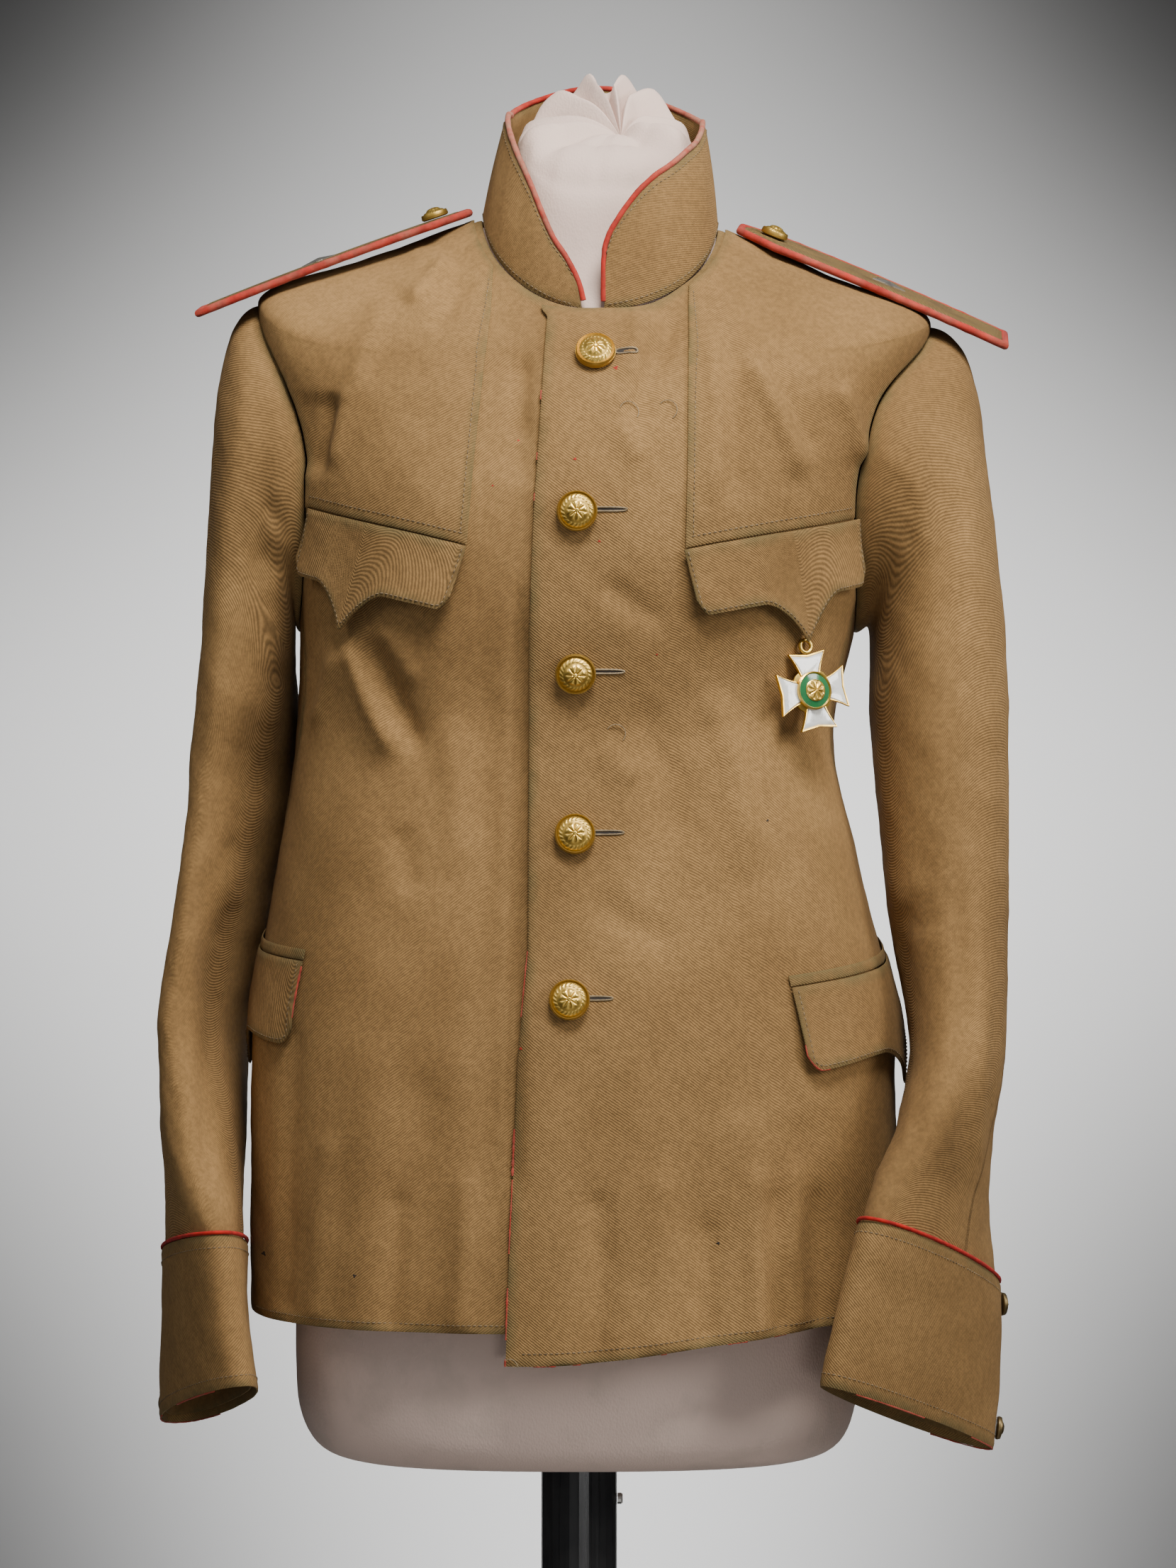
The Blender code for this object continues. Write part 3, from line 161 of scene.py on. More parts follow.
def wander(points: Array, wave: float, seed: float) -> Array:
    """Soft unevenness between -1 and 1, from crossed waves.

    Args:
        points: Points in metres, in the last axis.
        wave: Rough distance between humps in metres.
        seed: Shift that makes one field differ from another.

    Returns:
        One value for each point.
    """
    k = 2 * np.pi / wave
    x, y, z = points[..., 0], points[..., 1], points[..., 2]
    total = np.sin(k * (x + 0.31 * z) + seed) * np.cos(k * 0.83 * (z - 0.22 * y) + seed * 1.7)
    total += 0.7 * np.sin(k * 1.43 * (z + 0.37 * x) - seed) * np.sin(k * 1.21 * (x - y) + seed * 2.3)
    return total / 1.7


@dataclass(frozen=True)
class Crease:
    """A soft ridge or trough along a path in the front view, with + height for a ridge."""

    path: tuple[tuple[float, float], ...]
    width: float
    height: float
    fade: float = 0.25

    def lift(self, across: Array, up: Array) -> Array:
        """Height of the crease.

        Args:
            across: X of each point.
            up: Z of each point.

        Returns:
            The height at each point.
        """
        stops = np.array(self.path)
        lengths = np.linalg.norm(np.diff(stops, axis=0), axis=1)
        total = max(lengths.sum(), 1e-6)
        best = np.full(across.shape, 1.0)
        share = np.zeros(across.shape)
        passed = 0.0
        for number, length in enumerate(lengths):
            run = stops[number + 1] - stops[number]
            away = np.stack([across - stops[number, 0], up - stops[number, 1]], axis=-1)
            t = np.clip(away @ run / (run @ run), 0.0, 1.0)
            distance = np.linalg.norm(away - t[..., None] * run, axis=-1)
            nearer = distance < best
            best = np.where(nearer, distance, best)
            share = np.where(nearer, (passed + t * length) / total, share)
            passed += length
        ends = np.minimum(ramp(0.0, self.fade, share + 0.04), ramp(0.0, self.fade, 1.04 - share))
        return self.height * ends * np.exp(-((best / self.width) ** 2))


def crease_height(points: Array, facing: Array, front: Sequence[Crease], back: Sequence[Crease]) -> Array:
    """Total height of front and back creases.

    Args:
        points: Points of the surface.
        facing: Their unit normals.
        front: Creases seen from the front.
        back: Creases seen from behind.

    Returns:
        The height at each point.
    """
    height = np.zeros(points.shape[:-1])
    for creases, toward in ((front, -facing[..., 1]), (back, facing[..., 1])):
        weight = ramp(0.12, 0.5, toward)
        for crease in creases:
            height += weight * crease.lift(points[..., 0], points[..., 2])
    return height


@dataclass(frozen=True)
class Ring:
    """A ring of the body shell: its reach to each side and its heights."""

    left: float
    right: float
    front: float
    back: float
    middle: float
    z_front: float
    z_left: float
    z_right: float
    z_back: float


BODY_RINGS = (
    Ring(-0.1840, 0.1800, 0.136, 0.118, 0.0, 0.3955, 0.3976, 0.4005, 0.399),
    Ring(-0.1845, 0.1780, 0.133, 0.117, 0.0, 0.4600, 0.4600, 0.4600, 0.460),
    Ring(-0.1835, 0.1776, 0.129, 0.115, 0.0, 0.5475, 0.5475, 0.5475, 0.5475),
    Ring(-0.1705, 0.1585, 0.118, 0.105, 0.0, 0.6400, 0.6400, 0.6400, 0.640),
    Ring(-0.1590, 0.1428, 0.111, 0.099, 0.0, 0.7164, 0.7164, 0.7164, 0.7164),
    Ring(-0.1565, 0.1545, 0.121, 0.107, 0.0, 0.7850, 0.7750, 0.7750, 0.790),
    Ring(-0.1640, 0.1660, 0.124, 0.110, 0.0, 0.8380, 0.8450, 0.8450, 0.850),
    Ring(-0.1720, 0.1800, 0.114, 0.106, 0.0, 0.8930, 0.9050, 0.9000, 0.915),
    Ring(-0.1790, 0.1960, 0.098, 0.094, 0.0, 0.9240, 0.9602, 0.9480, 0.965),
    Ring(-0.1180, 0.1360, 0.087, 0.074, 0.0, 0.9400, 0.9845, 0.9762, 0.998),
    Ring(-0.0548, 0.0784, 0.075, 0.052, 0.0118, 0.9505, 1.0080, 1.0030, 1.026),
)

# Main folds, the same as the solids carry
SOLID_FOLDS = (
    Crease(((-0.132, 0.772), (-0.098, 0.700)), 0.014, 0.0035),
    Crease(((-0.120, 0.772), (-0.083, 0.705)), 0.013, -0.0035),
    Crease(((-0.050, 0.790), (-0.048, 0.450)), 0.013, -0.0030),
    Crease(((-0.033, 0.930), (-0.034, 0.850)), 0.012, -0.0025),
    Crease(((-0.140, 0.905), (-0.148, 0.858)), 0.013, -0.0025),
    Crease(((-0.075, 0.985), (-0.098, 0.955)), 0.012, 0.0025),
    Crease(((0.092, 0.925), (0.122, 0.855)), 0.013, 0.0028),
    Crease(((0.140, 0.912), (0.154, 0.865)), 0.012, 0.0025),
    Crease(((0.070, 0.720), (0.098, 0.640)), 0.016, 0.0025),
    Crease(((0.090, 0.500), (0.096, 0.395)), 0.014, 0.0030, 0.05),
    Crease(((0.123, 0.500), (0.128, 0.395)), 0.012, -0.0025, 0.05),
    Crease(((-0.110, 0.540), (-0.120, 0.395)), 0.016, 0.0030, 0.05),
    Crease(((-0.082, 0.520), (-0.084, 0.395)), 0.014, -0.0025, 0.05),
    Crease(((-0.020, 0.560), (-0.010, 0.395)), 0.020, 0.0020, 0.05),
)
SOLID_BACK_FOLDS = (
    Crease(((-0.090, 0.760), (-0.060, 0.690)), 0.018, 0.0030),
    Crease(((0.085, 0.765), (0.060, 0.695)), 0.018, 0.0028),
    Crease(((-0.100, 0.540), (-0.108, 0.399)), 0.018, -0.0030, 0.05),
    Crease(((0.095, 0.550), (0.104, 0.399)), 0.018, -0.0030, 0.05),
    Crease(((0.010, 0.600), (0.004, 0.399)), 0.022, 0.0030, 0.05),
    Crease(((-0.130, 0.900), (-0.110, 0.800)), 0.016, 0.0025),
    Crease(((0.135, 0.895), (0.115, 0.800)), 0.016, 0.0025),
)
# Smaller creases, placed from the photograph
FINE_FRONT = (
    Crease(((-0.127, 0.771), (-0.111, 0.729), (-0.098, 0.704)), 0.0045, 0.0016),
    Crease(((-0.119, 0.773), (-0.101, 0.738), (-0.085, 0.703)), 0.0050, -0.0018),
    Crease(((-0.108, 0.776), (-0.088, 0.742)), 0.0060, 0.0010),
    Crease(((-0.130, 0.766), (-0.146, 0.721)), 0.0035, 0.0012),
    Crease(((-0.031, 0.790), (-0.034, 0.620), (-0.034, 0.470)), 0.0045, -0.0014, 0.1),
    Crease(((-0.030, 0.926), (-0.032, 0.874)), 0.0050, -0.0014),
    Crease(((-0.133, 0.905), (-0.143, 0.857)), 0.0045, -0.0016),
    Crease(((-0.125, 0.908), (-0.135, 0.860)), 0.0055, 0.0011),
    Crease(((-0.070, 0.981), (-0.093, 0.951)), 0.0045, 0.0014),
    Crease(((-0.061, 0.968), (-0.080, 0.935)), 0.0060, -0.0010),
    Crease(((-0.105, 0.962), (-0.118, 0.925), (-0.123, 0.895)), 0.0060, 0.0010),
    Crease(((0.053, 0.954), (0.040, 0.915), (0.028, 0.879)), 0.0075, -0.0016),
    Crease(((0.036, 0.948), (0.026, 0.905)), 0.0070, 0.0010),
    Crease(((0.092, 0.922), (0.108, 0.886), (0.123, 0.852)), 0.0045, 0.0012),
    Crease(((0.101, 0.926), (0.117, 0.893), (0.129, 0.866)), 0.0050, -0.0010),
    Crease(((0.140, 0.909), (0.155, 0.863)), 0.0042, 0.0012),
    Crease(((0.072, 0.943), (0.074, 0.890), (0.071, 0.838)), 0.0060, 0.0010),
    Crease(((0.082, 0.945), (0.085, 0.890), (0.083, 0.838)), 0.0060, -0.0009),
    Crease(((0.070, 0.742), (0.084, 0.700), (0.092, 0.650)), 0.0080, 0.0012),
    Crease(((0.030, 0.735), (0.046, 0.700), (0.052, 0.655)), 0.0090, -0.0010),
    Crease(((-0.074, 0.730), (-0.066, 0.690), (-0.064, 0.640)), 0.0085, 0.0010),
    Crease(((-0.100, 0.668), (-0.088, 0.630)), 0.0080, -0.0010),
    Crease(((0.096, 0.482), (0.094, 0.440), (0.096, 0.397)), 0.0048, 0.0013, 0.1),
    Crease(((0.106, 0.470), (0.106, 0.430), (0.108, 0.397)), 0.0042, -0.0012, 0.1),
    Crease(((0.117, 0.484), (0.117, 0.440), (0.119, 0.397)), 0.0044, 0.0012, 0.1),
    Crease(((0.129, 0.470), (0.131, 0.430), (0.133, 0.398)), 0.0040, -0.0011, 0.1),
    Crease(((0.070, 0.455), (0.068, 0.420), (0.069, 0.397)), 0.0060, -0.0012, 0.1),
    Crease(((0.045, 0.480), (0.046, 0.430), (0.042, 0.395)), 0.0090, 0.0012, 0.1),
    Crease(((0.010, 0.470), (0.012, 0.430), (0.010, 0.390)), 0.0080, -0.0012, 0.1),
    Crease(((-0.060, 0.480), (-0.062, 0.430), (-0.064, 0.396)), 0.0060, 0.0011, 0.1),
    Crease(((-0.098, 0.470), (-0.099, 0.430), (-0.101, 0.397)), 0.0060, -0.0012, 0.1),
    Crease(((-0.135, 0.500), (-0.139, 0.450), (-0.141, 0.399)), 0.0070, 0.0012, 0.1),
    Crease(((-0.155, 0.560), (-0.158, 0.500), (-0.160, 0.400)), 0.0060, -0.0010, 0.1),
    Crease(((0.020, 0.885), (0.034, 0.862)), 0.0060, 0.0009),
    Crease(((0.012, 0.800), (0.030, 0.785), (0.048, 0.778)), 0.0070, -0.0009),
    Crease(((0.010, 0.710), (0.032, 0.690)), 0.0080, 0.0009),
    Crease(((0.006, 0.628), (0.030, 0.612), (0.052, 0.606)), 0.0080, -0.0009),
)
FINE_BACK = (
    Crease(((-0.088, 0.762), (-0.072, 0.728), (-0.058, 0.692)), 0.0060, 0.0014),
    Crease(((-0.076, 0.772), (-0.058, 0.735)), 0.0055, -0.0012),
    Crease(((0.086, 0.768), (0.070, 0.728), (0.060, 0.696)), 0.0060, 0.0014),
    Crease(((0.074, 0.775), (0.052, 0.742)), 0.0060, -0.0011),
    Crease(((-0.120, 0.905), (-0.104, 0.855), (-0.100, 0.805)), 0.0060, 0.0013),
    Crease(((0.128, 0.900), (0.112, 0.850), (0.106, 0.806)), 0.0060, 0.0013),
    Crease(((-0.045, 0.985), (-0.060, 0.950)), 0.0070, 0.0010),
    Crease(((0.056, 0.985), (0.066, 0.948)), 0.0070, 0.0010),
    Crease(((-0.020, 0.700), (-0.026, 0.640), (-0.020, 0.590)), 0.0090, -0.0012),
    Crease(((0.030, 0.690), (0.034, 0.630)), 0.0090, 0.0011),
    Crease(((-0.060, 0.500), (-0.064, 0.450), (-0.062, 0.399)), 0.0060, 0.0012, 0.1),
    Crease(((0.052, 0.490), (0.056, 0.440), (0.054, 0.399)), 0.0060, -0.0012, 0.1),
    Crease(((0.120, 0.520), (0.128, 0.460), (0.132, 0.400)), 0.0060, 0.0011, 0.1),
    Crease(((-0.130, 0.510), (-0.138, 0.450), (-0.140, 0.400)), 0.0060, -0.0011, 0.1),
)


@dataclass(frozen=True)
class BodyShell:
    """The smooth form that every body piece lies on."""

    rings: tuple[Ring, ...] = BODY_RINGS
    squareness: float = 2.67
    armpit: float = 5.0
    tip: float = 8.0
    neck: float = 10.0
    armhole_width: float = 25.0
    side_top: float = 0.08
    side_gap: float = 0.010
    seam_front: tuple[float, ...] = (90.0, 90.0, 88.0, 84.0, 76.0, 70.0)
    seam_back: tuple[float, ...] = (120.0, 119.0, 118.0, 116.0, 112.0, 108.0)
    top_edge_z: tuple[float, ...] = (0.378, 0.465, 0.540, 0.600, 0.770, 0.840, 0.913, 0.951)
    top_edge_x: tuple[float, ...] = (-0.0398, -0.0357, -0.033, -0.0272, -0.0268, -0.0238, -0.0193, -0.0166)
    under_edge_x: float = 0.020
    overlap_lift: float = 0.0030
    lift_full_x: float = 0.026
    lift_ends_x: float = 0.056
    hem_drop: float = 0.0170
    hem_drop_from: float = -12.0
    hem_drop_ends: float = 62.0
    tuck: float = 62.0
    fine_depth: float = 2.4
    rise: tuple[float, ...] = (4.0, 4.0, 4.0, 4.0, 4.0, 4.0, 4.0, 4.0, 14.0, 6.0, 2.4)

    def column(self, name: str, v: Array) -> Array:
        """One measure of the rings, read at fractional rings."""
        return smooth([getattr(ring, name) for ring in self.rings], v)

    def points(self, u: Array, v: Array) -> Array:
        """Points of the bare shell.

        Args:
            u: Angles round the body in degrees.
            v: Rings, from 0 at the hem.

        Returns:
            Points with X, Y and Z in the last axis.
        """
        u, v = np.broadcast_arrays(np.asarray(u, dtype=float), np.asarray(v, dtype=float))
        across = np.sin(np.radians(u))
        along = -np.cos(np.radians(u))
        middle = self.column("middle", v)
        half_x = np.where(across > 0, self.column("right", v) - middle, middle - self.column("left", v))
        half_y = np.where(along < 0, self.column("front", v), self.column("back", v))
        reach = (np.abs(across) / half_x) ** self.squareness + (np.abs(along) / half_y) ** self.squareness
        reach = reach ** (-1 / self.squareness)
        z_side = np.where(across > 0, self.column("z_right", v), self.column("z_left", v))
        z_end = np.where(along < 0, self.column("z_front", v), self.column("z_back", v))
        z = z_end + (z_side - z_end) * np.abs(across) ** smooth(self.rise, v)
        return np.stack([middle + reach * across, reach * along, z], axis=-1)

    def normals(self, u: Array, v: Array) -> Array:
        """Outward unit normals of the shell."""
        u, v = np.broadcast_arrays(np.asarray(u, dtype=float), np.asarray(v, dtype=float))
        round_way = self.points(u + 0.5, v) - self.points(u - 0.5, v)
        low = self.points(u, np.maximum(v - 0.02, 0.0))
        up_way = self.points(u, np.minimum(v + 0.02, self.neck)) - low
        return unit(np.cross(round_way, up_way))

    def cloth(self, u: Array, v: Array, lift: Array | float = 0.0, fine: float = 1.0) -> Array:
        """Points above the shell with all its folds.

        Args:
            u: Angles in degrees.
            v: Rings.
            lift: Height above the shell in metres.
            fine: Share of the smaller creases that shows.

        Returns:
            The points.
        """
        points = self.points(u, v)
        facing = self.normals(u, v)
        height = crease_height(points, facing, SOLID_FOLDS, SOLID_BACK_FOLDS)
        height += fine * self.fine_depth * crease_height(points, facing, FINE_FRONT, FINE_BACK)
        height += fine * 0.0005 * wander(points, 0.085, 1.3) + fine * 0.00022 * wander(points, 0.027, 4.1)
        return points + facing * (height + lift)[..., None]

    def v_at(self, u: Array, z: Array) -> Array:
        """The ring at which the shell has height z at angle u, by bisection."""
        u, z = np.broadcast_arrays(np.asarray(u, dtype=float), np.asarray(z, dtype=float))
        low = np.zeros(z.shape)
        high = np.full(z.shape, self.neck)
        for _ in range(26):
            middle = (low + high) / 2
            below = self.points(u, middle)[..., 2] < z
            low = np.where(below, middle, low)
            high = np.where(below, high, middle)
        return (low + high) / 2

    def u_at(self, x: Array, v: Array) -> Array:
        """The angle in front at which ring v has the given x."""
        middle = self.column("middle", v)
        shift = np.asarray(x) - middle
        half = np.where(shift > 0, self.column("right", v) - middle, middle - self.column("left", v))
        share = np.clip(np.abs(shift) / half, 0.0, 0.999)
        depth = self.column("front", v) * (1 - share**self.squareness) ** (1 / self.squareness)
        return np.degrees(np.arctan2(shift, depth))

    def uv_at(self, x: Array, z: Array) -> tuple[Array, Array]:
        """The place on the front of the shell at x and height z."""
        u = np.zeros(np.shape(x))
        v = self.v_at(u, z)
        for _ in range(7):
            u = self.u_at(x, v)
            v = self.v_at(u, z)
        return u, v

    def armhole(self, v: Array) -> Array:
        """Half the armhole's width at ring v, in degrees."""
        t = np.clip((np.asarray(v, dtype=float) - self.armpit) / (self.tip - self.armpit), 0.0, 1.0)
        return self.armhole_width * np.maximum(np.sin(np.pi * t**0.8), 0.0) ** 0.6

    def armhole_v(self, u: Array) -> Array:
        """The ring of the armhole's lower edge at each angle, by bisection on its width."""
        away = np.abs(u - 90.0)
        low = np.full(u.shape, self.armpit)
        high = np.full(u.shape, self.armpit + 0.35 * (self.tip - self.armpit))
        for _ in range(26):
            middle = (low + high) / 2
            narrow = self.armhole(middle) < away
            low = np.where(narrow, middle, low)
            high = np.where(narrow, high, middle)
        return low

    @property
    def join(self) -> float:
        """The ring where the side seams run into the armhole."""
        return self.armpit + self.side_top * (self.tip - self.armpit)

    def side_limit(self, v: Array, way: float) -> Array:
        """Where a front (way -1) or the back (way 1) ends at the side.

        Args:
            v: Rings.
            way: -1 for a front, 1 for the back.

        Returns:
            The angle at each ring.
        """
        columns = self.seam_back if way > 0 else self.seam_front
        below = smooth(columns, np.minimum(v, len(columns) - 1.0))
        meet = 90.0 + way * self.armhole(self.join)
        blend = ramp(self.armpit - 0.6, self.join, v)
        return np.where(v < self.join, below * (1 - blend) + meet * blend, 90.0 + way * self.armhole(v))

    def gap_angle(self, u: Array, v: Array) -> Array:
        """Half a seam's gap as an angle round the shell."""
        step = np.linalg.norm(self.points(u + 0.5, v) - self.points(u - 0.5, v), axis=-1)
        return SEAM / 2 / step

    def overlap(self, u: Array, v: Array) -> Array:
        """How far the top front stands off the shell where it covers the under front."""
        x = self.points(u, v)[..., 0]
        return self.overlap_lift * (1 - ramp(self.lift_full_x, self.lift_ends_x, x))

    def top_front(self, u: Array, v: Array, lift: Array | float = 0.0) -> Array:
        """Points on the top front panel, lifted over the under front."""
        raised = self.overlap(u, v)
        tuck = raised * self.tuck * ramp(self.neck - 0.8, self.neck, v)
        points = self.cloth(u, v - tuck, raised + lift)
        share = 1 - ramp(self.hem_drop_from, self.hem_drop_ends, u)
        points[..., 2] -= self.hem_drop * share * np.clip(1 - v, 0.0, 1.0) ** 2
        return points

    def front_cloth(self, u: Array, z: Array, lift: Array | float) -> Array:
        """Points lift above whichever front panel lies there."""
        v = self.v_at(u, z)
        return self.cloth(u, v, lift + self.overlap(u, v) * (u > 0))

    def top_edge_u(self, v: Array) -> Array:
        """The angle of the top front's free edge."""
        z = self.points(np.zeros(np.shape(v)), v)[..., 2]
        return self.u_at(np.interp(z, self.top_edge_z, self.top_edge_x), v)


SHELL = BodyShell()


@dataclass
class Wall:
    """A closed cloth wall over a grid of outer points, rounded at its open edges."""

    name: str
    outer: Array
    thickness: float
    facing: Array | None = None
    closed: bool = False
    flip: float = 1.0
    roll: float = 0.30

    def grid_facing(self) -> Array:
        """Unit normals of the grid, by the cross of its two ways."""
        if self.closed:
            round_way = np.roll(self.outer, -1, axis=1) - np.roll(self.outer, 1, axis=1)
        else:
            round_way = np.gradient(self.outer, axis=1)
        return unit(np.cross(round_way, np.gradient(self.outer, axis=0))) * self.flip

    def spans(self) -> tuple[Array, Array]:
        """Running lengths of the grid across and up, in metres."""
        across = np.linalg.norm(np.diff(self.outer, axis=1), axis=-1)
        across = np.concatenate([np.zeros((len(across), 1)), np.cumsum(across, axis=1)], axis=1)
        up = np.linalg.norm(np.diff(self.outer, axis=0), axis=-1)
        up = np.concatenate([np.zeros((1, up.shape[1])), np.cumsum(up, axis=0)], axis=0)
        return across, up

    def edge_distance(self) -> Array:
        """Distance from each grid point to the nearest free edge, in metres."""
        across, up = self.spans()
        edge = np.minimum(up, up[-1:] - up)
        if not self.closed:
            edge = np.minimum(edge, np.minimum(across, across[:, -1:] - across))
        return edge

    def build(self) -> bpy.types.Object:
        """Makes the wall's mesh with metre UVs and the distance to its edges.

        Returns:
            The new object.
        """
        facing = self.grid_facing() if self.facing is None else self.facing
        across, up = self.spans()
        edge = self.edge_distance()
        sunk = self.roll * self.thickness * np.clip(1 - edge / self.thickness, 0.0, 1.0)[..., None]
        outer = self.outer - facing * sunk
        inner = self.outer - facing * (self.thickness - sunk)
        rows, columns = across.shape
        inside = rows * columns
        width = columns if self.closed else columns - 1
        row, column = np.meshgrid(np.arange(rows - 1), np.arange(width), indexing="ij")
        after = (column + 1) % columns
        corners = [(row, column), (row, after), (row + 1, after), (row + 1, column)]
        quads = np.stack([r * columns + c for r, c in corners], axis=-1).reshape(-1, 4)
        if self.flip < 0:
            quads = quads[:, ::-1]
        faces = [quads, inside + quads[:, ::-1]]
        faces += self.rims(rows, columns, inside)
        faces = np.concatenate(faces)
        mesh = bpy.data.meshes.new(self.name)
        points = np.concatenate([outer.reshape(-1, 3), inner.reshape(-1, 3)])
        mesh.from_pydata(points.tolist(), [], faces.tolist())
        flat = np.stack([across, up], axis=-1).reshape(-1, 2)
        flat = np.concatenate([flat, flat])
        corner_uv = flat[faces.reshape(-1)].reshape(-1, 4, 2)
        wrap = corner_uv[..., 0].max(axis=1) - corner_uv[..., 0].min(axis=1) > 0.05
        full = across.max() + np.linalg.norm(self.outer[0, 0] - self.outer[0, -1])
        if self.closed:
            low = corner_uv[..., 0] < 0.02
            corner_uv[..., 0] = np.where(wrap[:, None] & low, full, corner_uv[..., 0])
        layer = mesh.uv_layers.new(name="metres")
        layer.data.foreach_set("uv", corner_uv.reshape(-1).astype(np.float32))
        mark = mesh.attributes.new("edge", "FLOAT", "POINT")
        mark.data.foreach_set("value", np.tile(edge.reshape(-1), 2).astype(np.float32))
        mesh.shade_smooth()
        mesh.set_sharp_from_angle(angle=math.radians(70))
        piece = bpy.data.objects.new(self.name, mesh)
        bpy.context.collection.objects.link(piece)
        return piece

    def rims(self, rows: int, columns: int, inside: int) -> list[Array]:
        """Quads that close the wall along its edges.

        Args:
            rows: Rows of the grid.
            columns: Columns of the grid.
            inside: Number of the first inner point.

        Returns:
            Arrays of quads.
        """
        width = columns if self.closed else columns - 1
        start = np.arange(width)
        after = (start + 1) % columns
        top = (rows - 1) * columns
        found = [
            np.stack([after, start, inside + start, inside + after], axis=-1),
            np.stack([top + start, top + after, inside + top + after, inside + top + start], axis=-1),
        ]
        if not self.closed:
            start = np.arange(rows - 1) * columns
            after = start + columns
            last = columns - 1
            found.append(np.stack([start, after, inside + after, inside + start], axis=-1))
            found.append(
                np.stack([after + last, start + last, inside + start + last, inside + after + last], axis=-1)
            )
        if self.flip < 0:
            found = [quads[:, ::-1] for quads in found]
        return found

    def flat_size(self) -> tuple[float, float, float]:
        """The cut's width, length and area in square metres."""
        across, up = self.spans()
        grid = self.outer
        if self.closed:
            grid = np.concatenate([grid, grid[:, :1]], axis=1)
            closing = np.linalg.norm(grid[:, -1] - grid[:, -2], axis=-1)
            width = float((across[:, -1] + closing).max())
        else:
            width = float(across[:, -1].max())
        one = grid[1:, 1:] - grid[:-1, :-1]
        two = grid[1:, :-1] - grid[:-1, 1:]
        area = float(np.linalg.norm(np.cross(one, two), axis=-1).sum() / 2)
        return width, float(up[-1].max()), area


def settle(
    piece: bpy.types.Object, material: bpy.types.Material, slot: str, *nodes: str
) -> bpy.types.Object:
    """Dresses a piece, rides it on the root and takes over its solids.

    Args:
        piece: The new object.
        material: Its finish.
        slot: The record's material slot; not used.
        nodes: CAD nodes that it stands for.

    Returns:
        The same object.
    """
    if not piece.data.materials:
        piece.data.materials.append(material)
    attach(piece, ROOT)
    if nodes:
        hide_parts(*nodes)
    return piece


def cloth_piece(
    wall: Wall, material: bpy.types.Material, held: Held
) -> bpy.types.Object:
    """Builds a wall, dresses it and states the size it was cut to.

    Args:
        wall: The wall, named as its CAD node.
        material: Its cloth.
        held: How it is held; not used.

    Returns:
        The new object.
    """
    piece = wall.build()
    piece.name = f"{wall.name}_cloth"
    settle(piece, material, TWILL_SLOT, wall.name)
    width, length, area = wall.flat_size()
    length = max(length, SMALLEST_CUT)
    area = min(area, width * length)
    LOG.info("%s cut %.0f x %.0f mm, %.4f m2", piece.name, width * 1000, length * 1000, area)
    return piece


def plain_mesh(
    name: str, points: Array, faces: Sequence[Sequence[int]], angle: float = 40.0
) -> bpy.types.Object:
    """A smooth-shaded object from points and faces.

    Args:
        name: The object's name.
        points: Its points.
        faces: Corner numbers of each face, or an array of them.
        angle: Edges sharper than this stay sharp, in degrees.

    Returns:
        The new object.
    """
    mesh = bpy.data.meshes.new(name)
    faces = faces.tolist() if isinstance(faces, np.ndarray) else faces
    mesh.from_pydata(np.asarray(points, dtype=float).tolist(), [], faces)
    mesh.shade_smooth()
    mesh.set_sharp_from_angle(angle=math.radians(angle))
    thing = bpy.data.objects.new(name, mesh)
    bpy.context.collection.objects.link(thing)
    return thing


def tube(path: Array, radius: Array | float, sides: int, closed: bool = False) -> tuple[Array, Array]:
    """Points and quads of a round tube along a path.

    Args:
        path: Points of the middle line.
        radius: Radius, the same or one for each point.
        sides: Corners of a section.
        closed: Whether the path is a loop.

    Returns:
        The points and the faces.
    """
    if closed:
        along = unit(np.roll(path, -1, axis=0) - np.roll(path, 1, axis=0))
    else:
        along = unit(np.gradient(path, axis=0))
    first = unit(np.cross(along, UP + 0.02))
    second = np.cross(along, first)
    angle = np.arange(sides) * 2 * np.pi / sides
    radius = np.broadcast_to(radius, (len(path),))[:, None, None]
    ring = first[:, None] * np.cos(angle)[None, :, None] + second[:, None] * np.sin(angle)[None, :, None]
    points = (path[:, None] + ring * radius).reshape(-1, 3)
    count = len(path)
    spans = count if closed else count - 1
    row, side = np.meshgrid(np.arange(spans), np.arange(sides), indexing="ij")
    above = (row + 1) % count
    after = (side + 1) % sides
    quads = np.stack(
        [row * sides + side, above * sides + side, above * sides + after, row * sides + after], axis=-1
    ).reshape(-1, 4)
    faces = quads.tolist()
    if not closed:
        faces.append(list(range(sides)))
        faces.append(list(range((count - 1) * sides, count * sides))[::-1])
    return points, faces


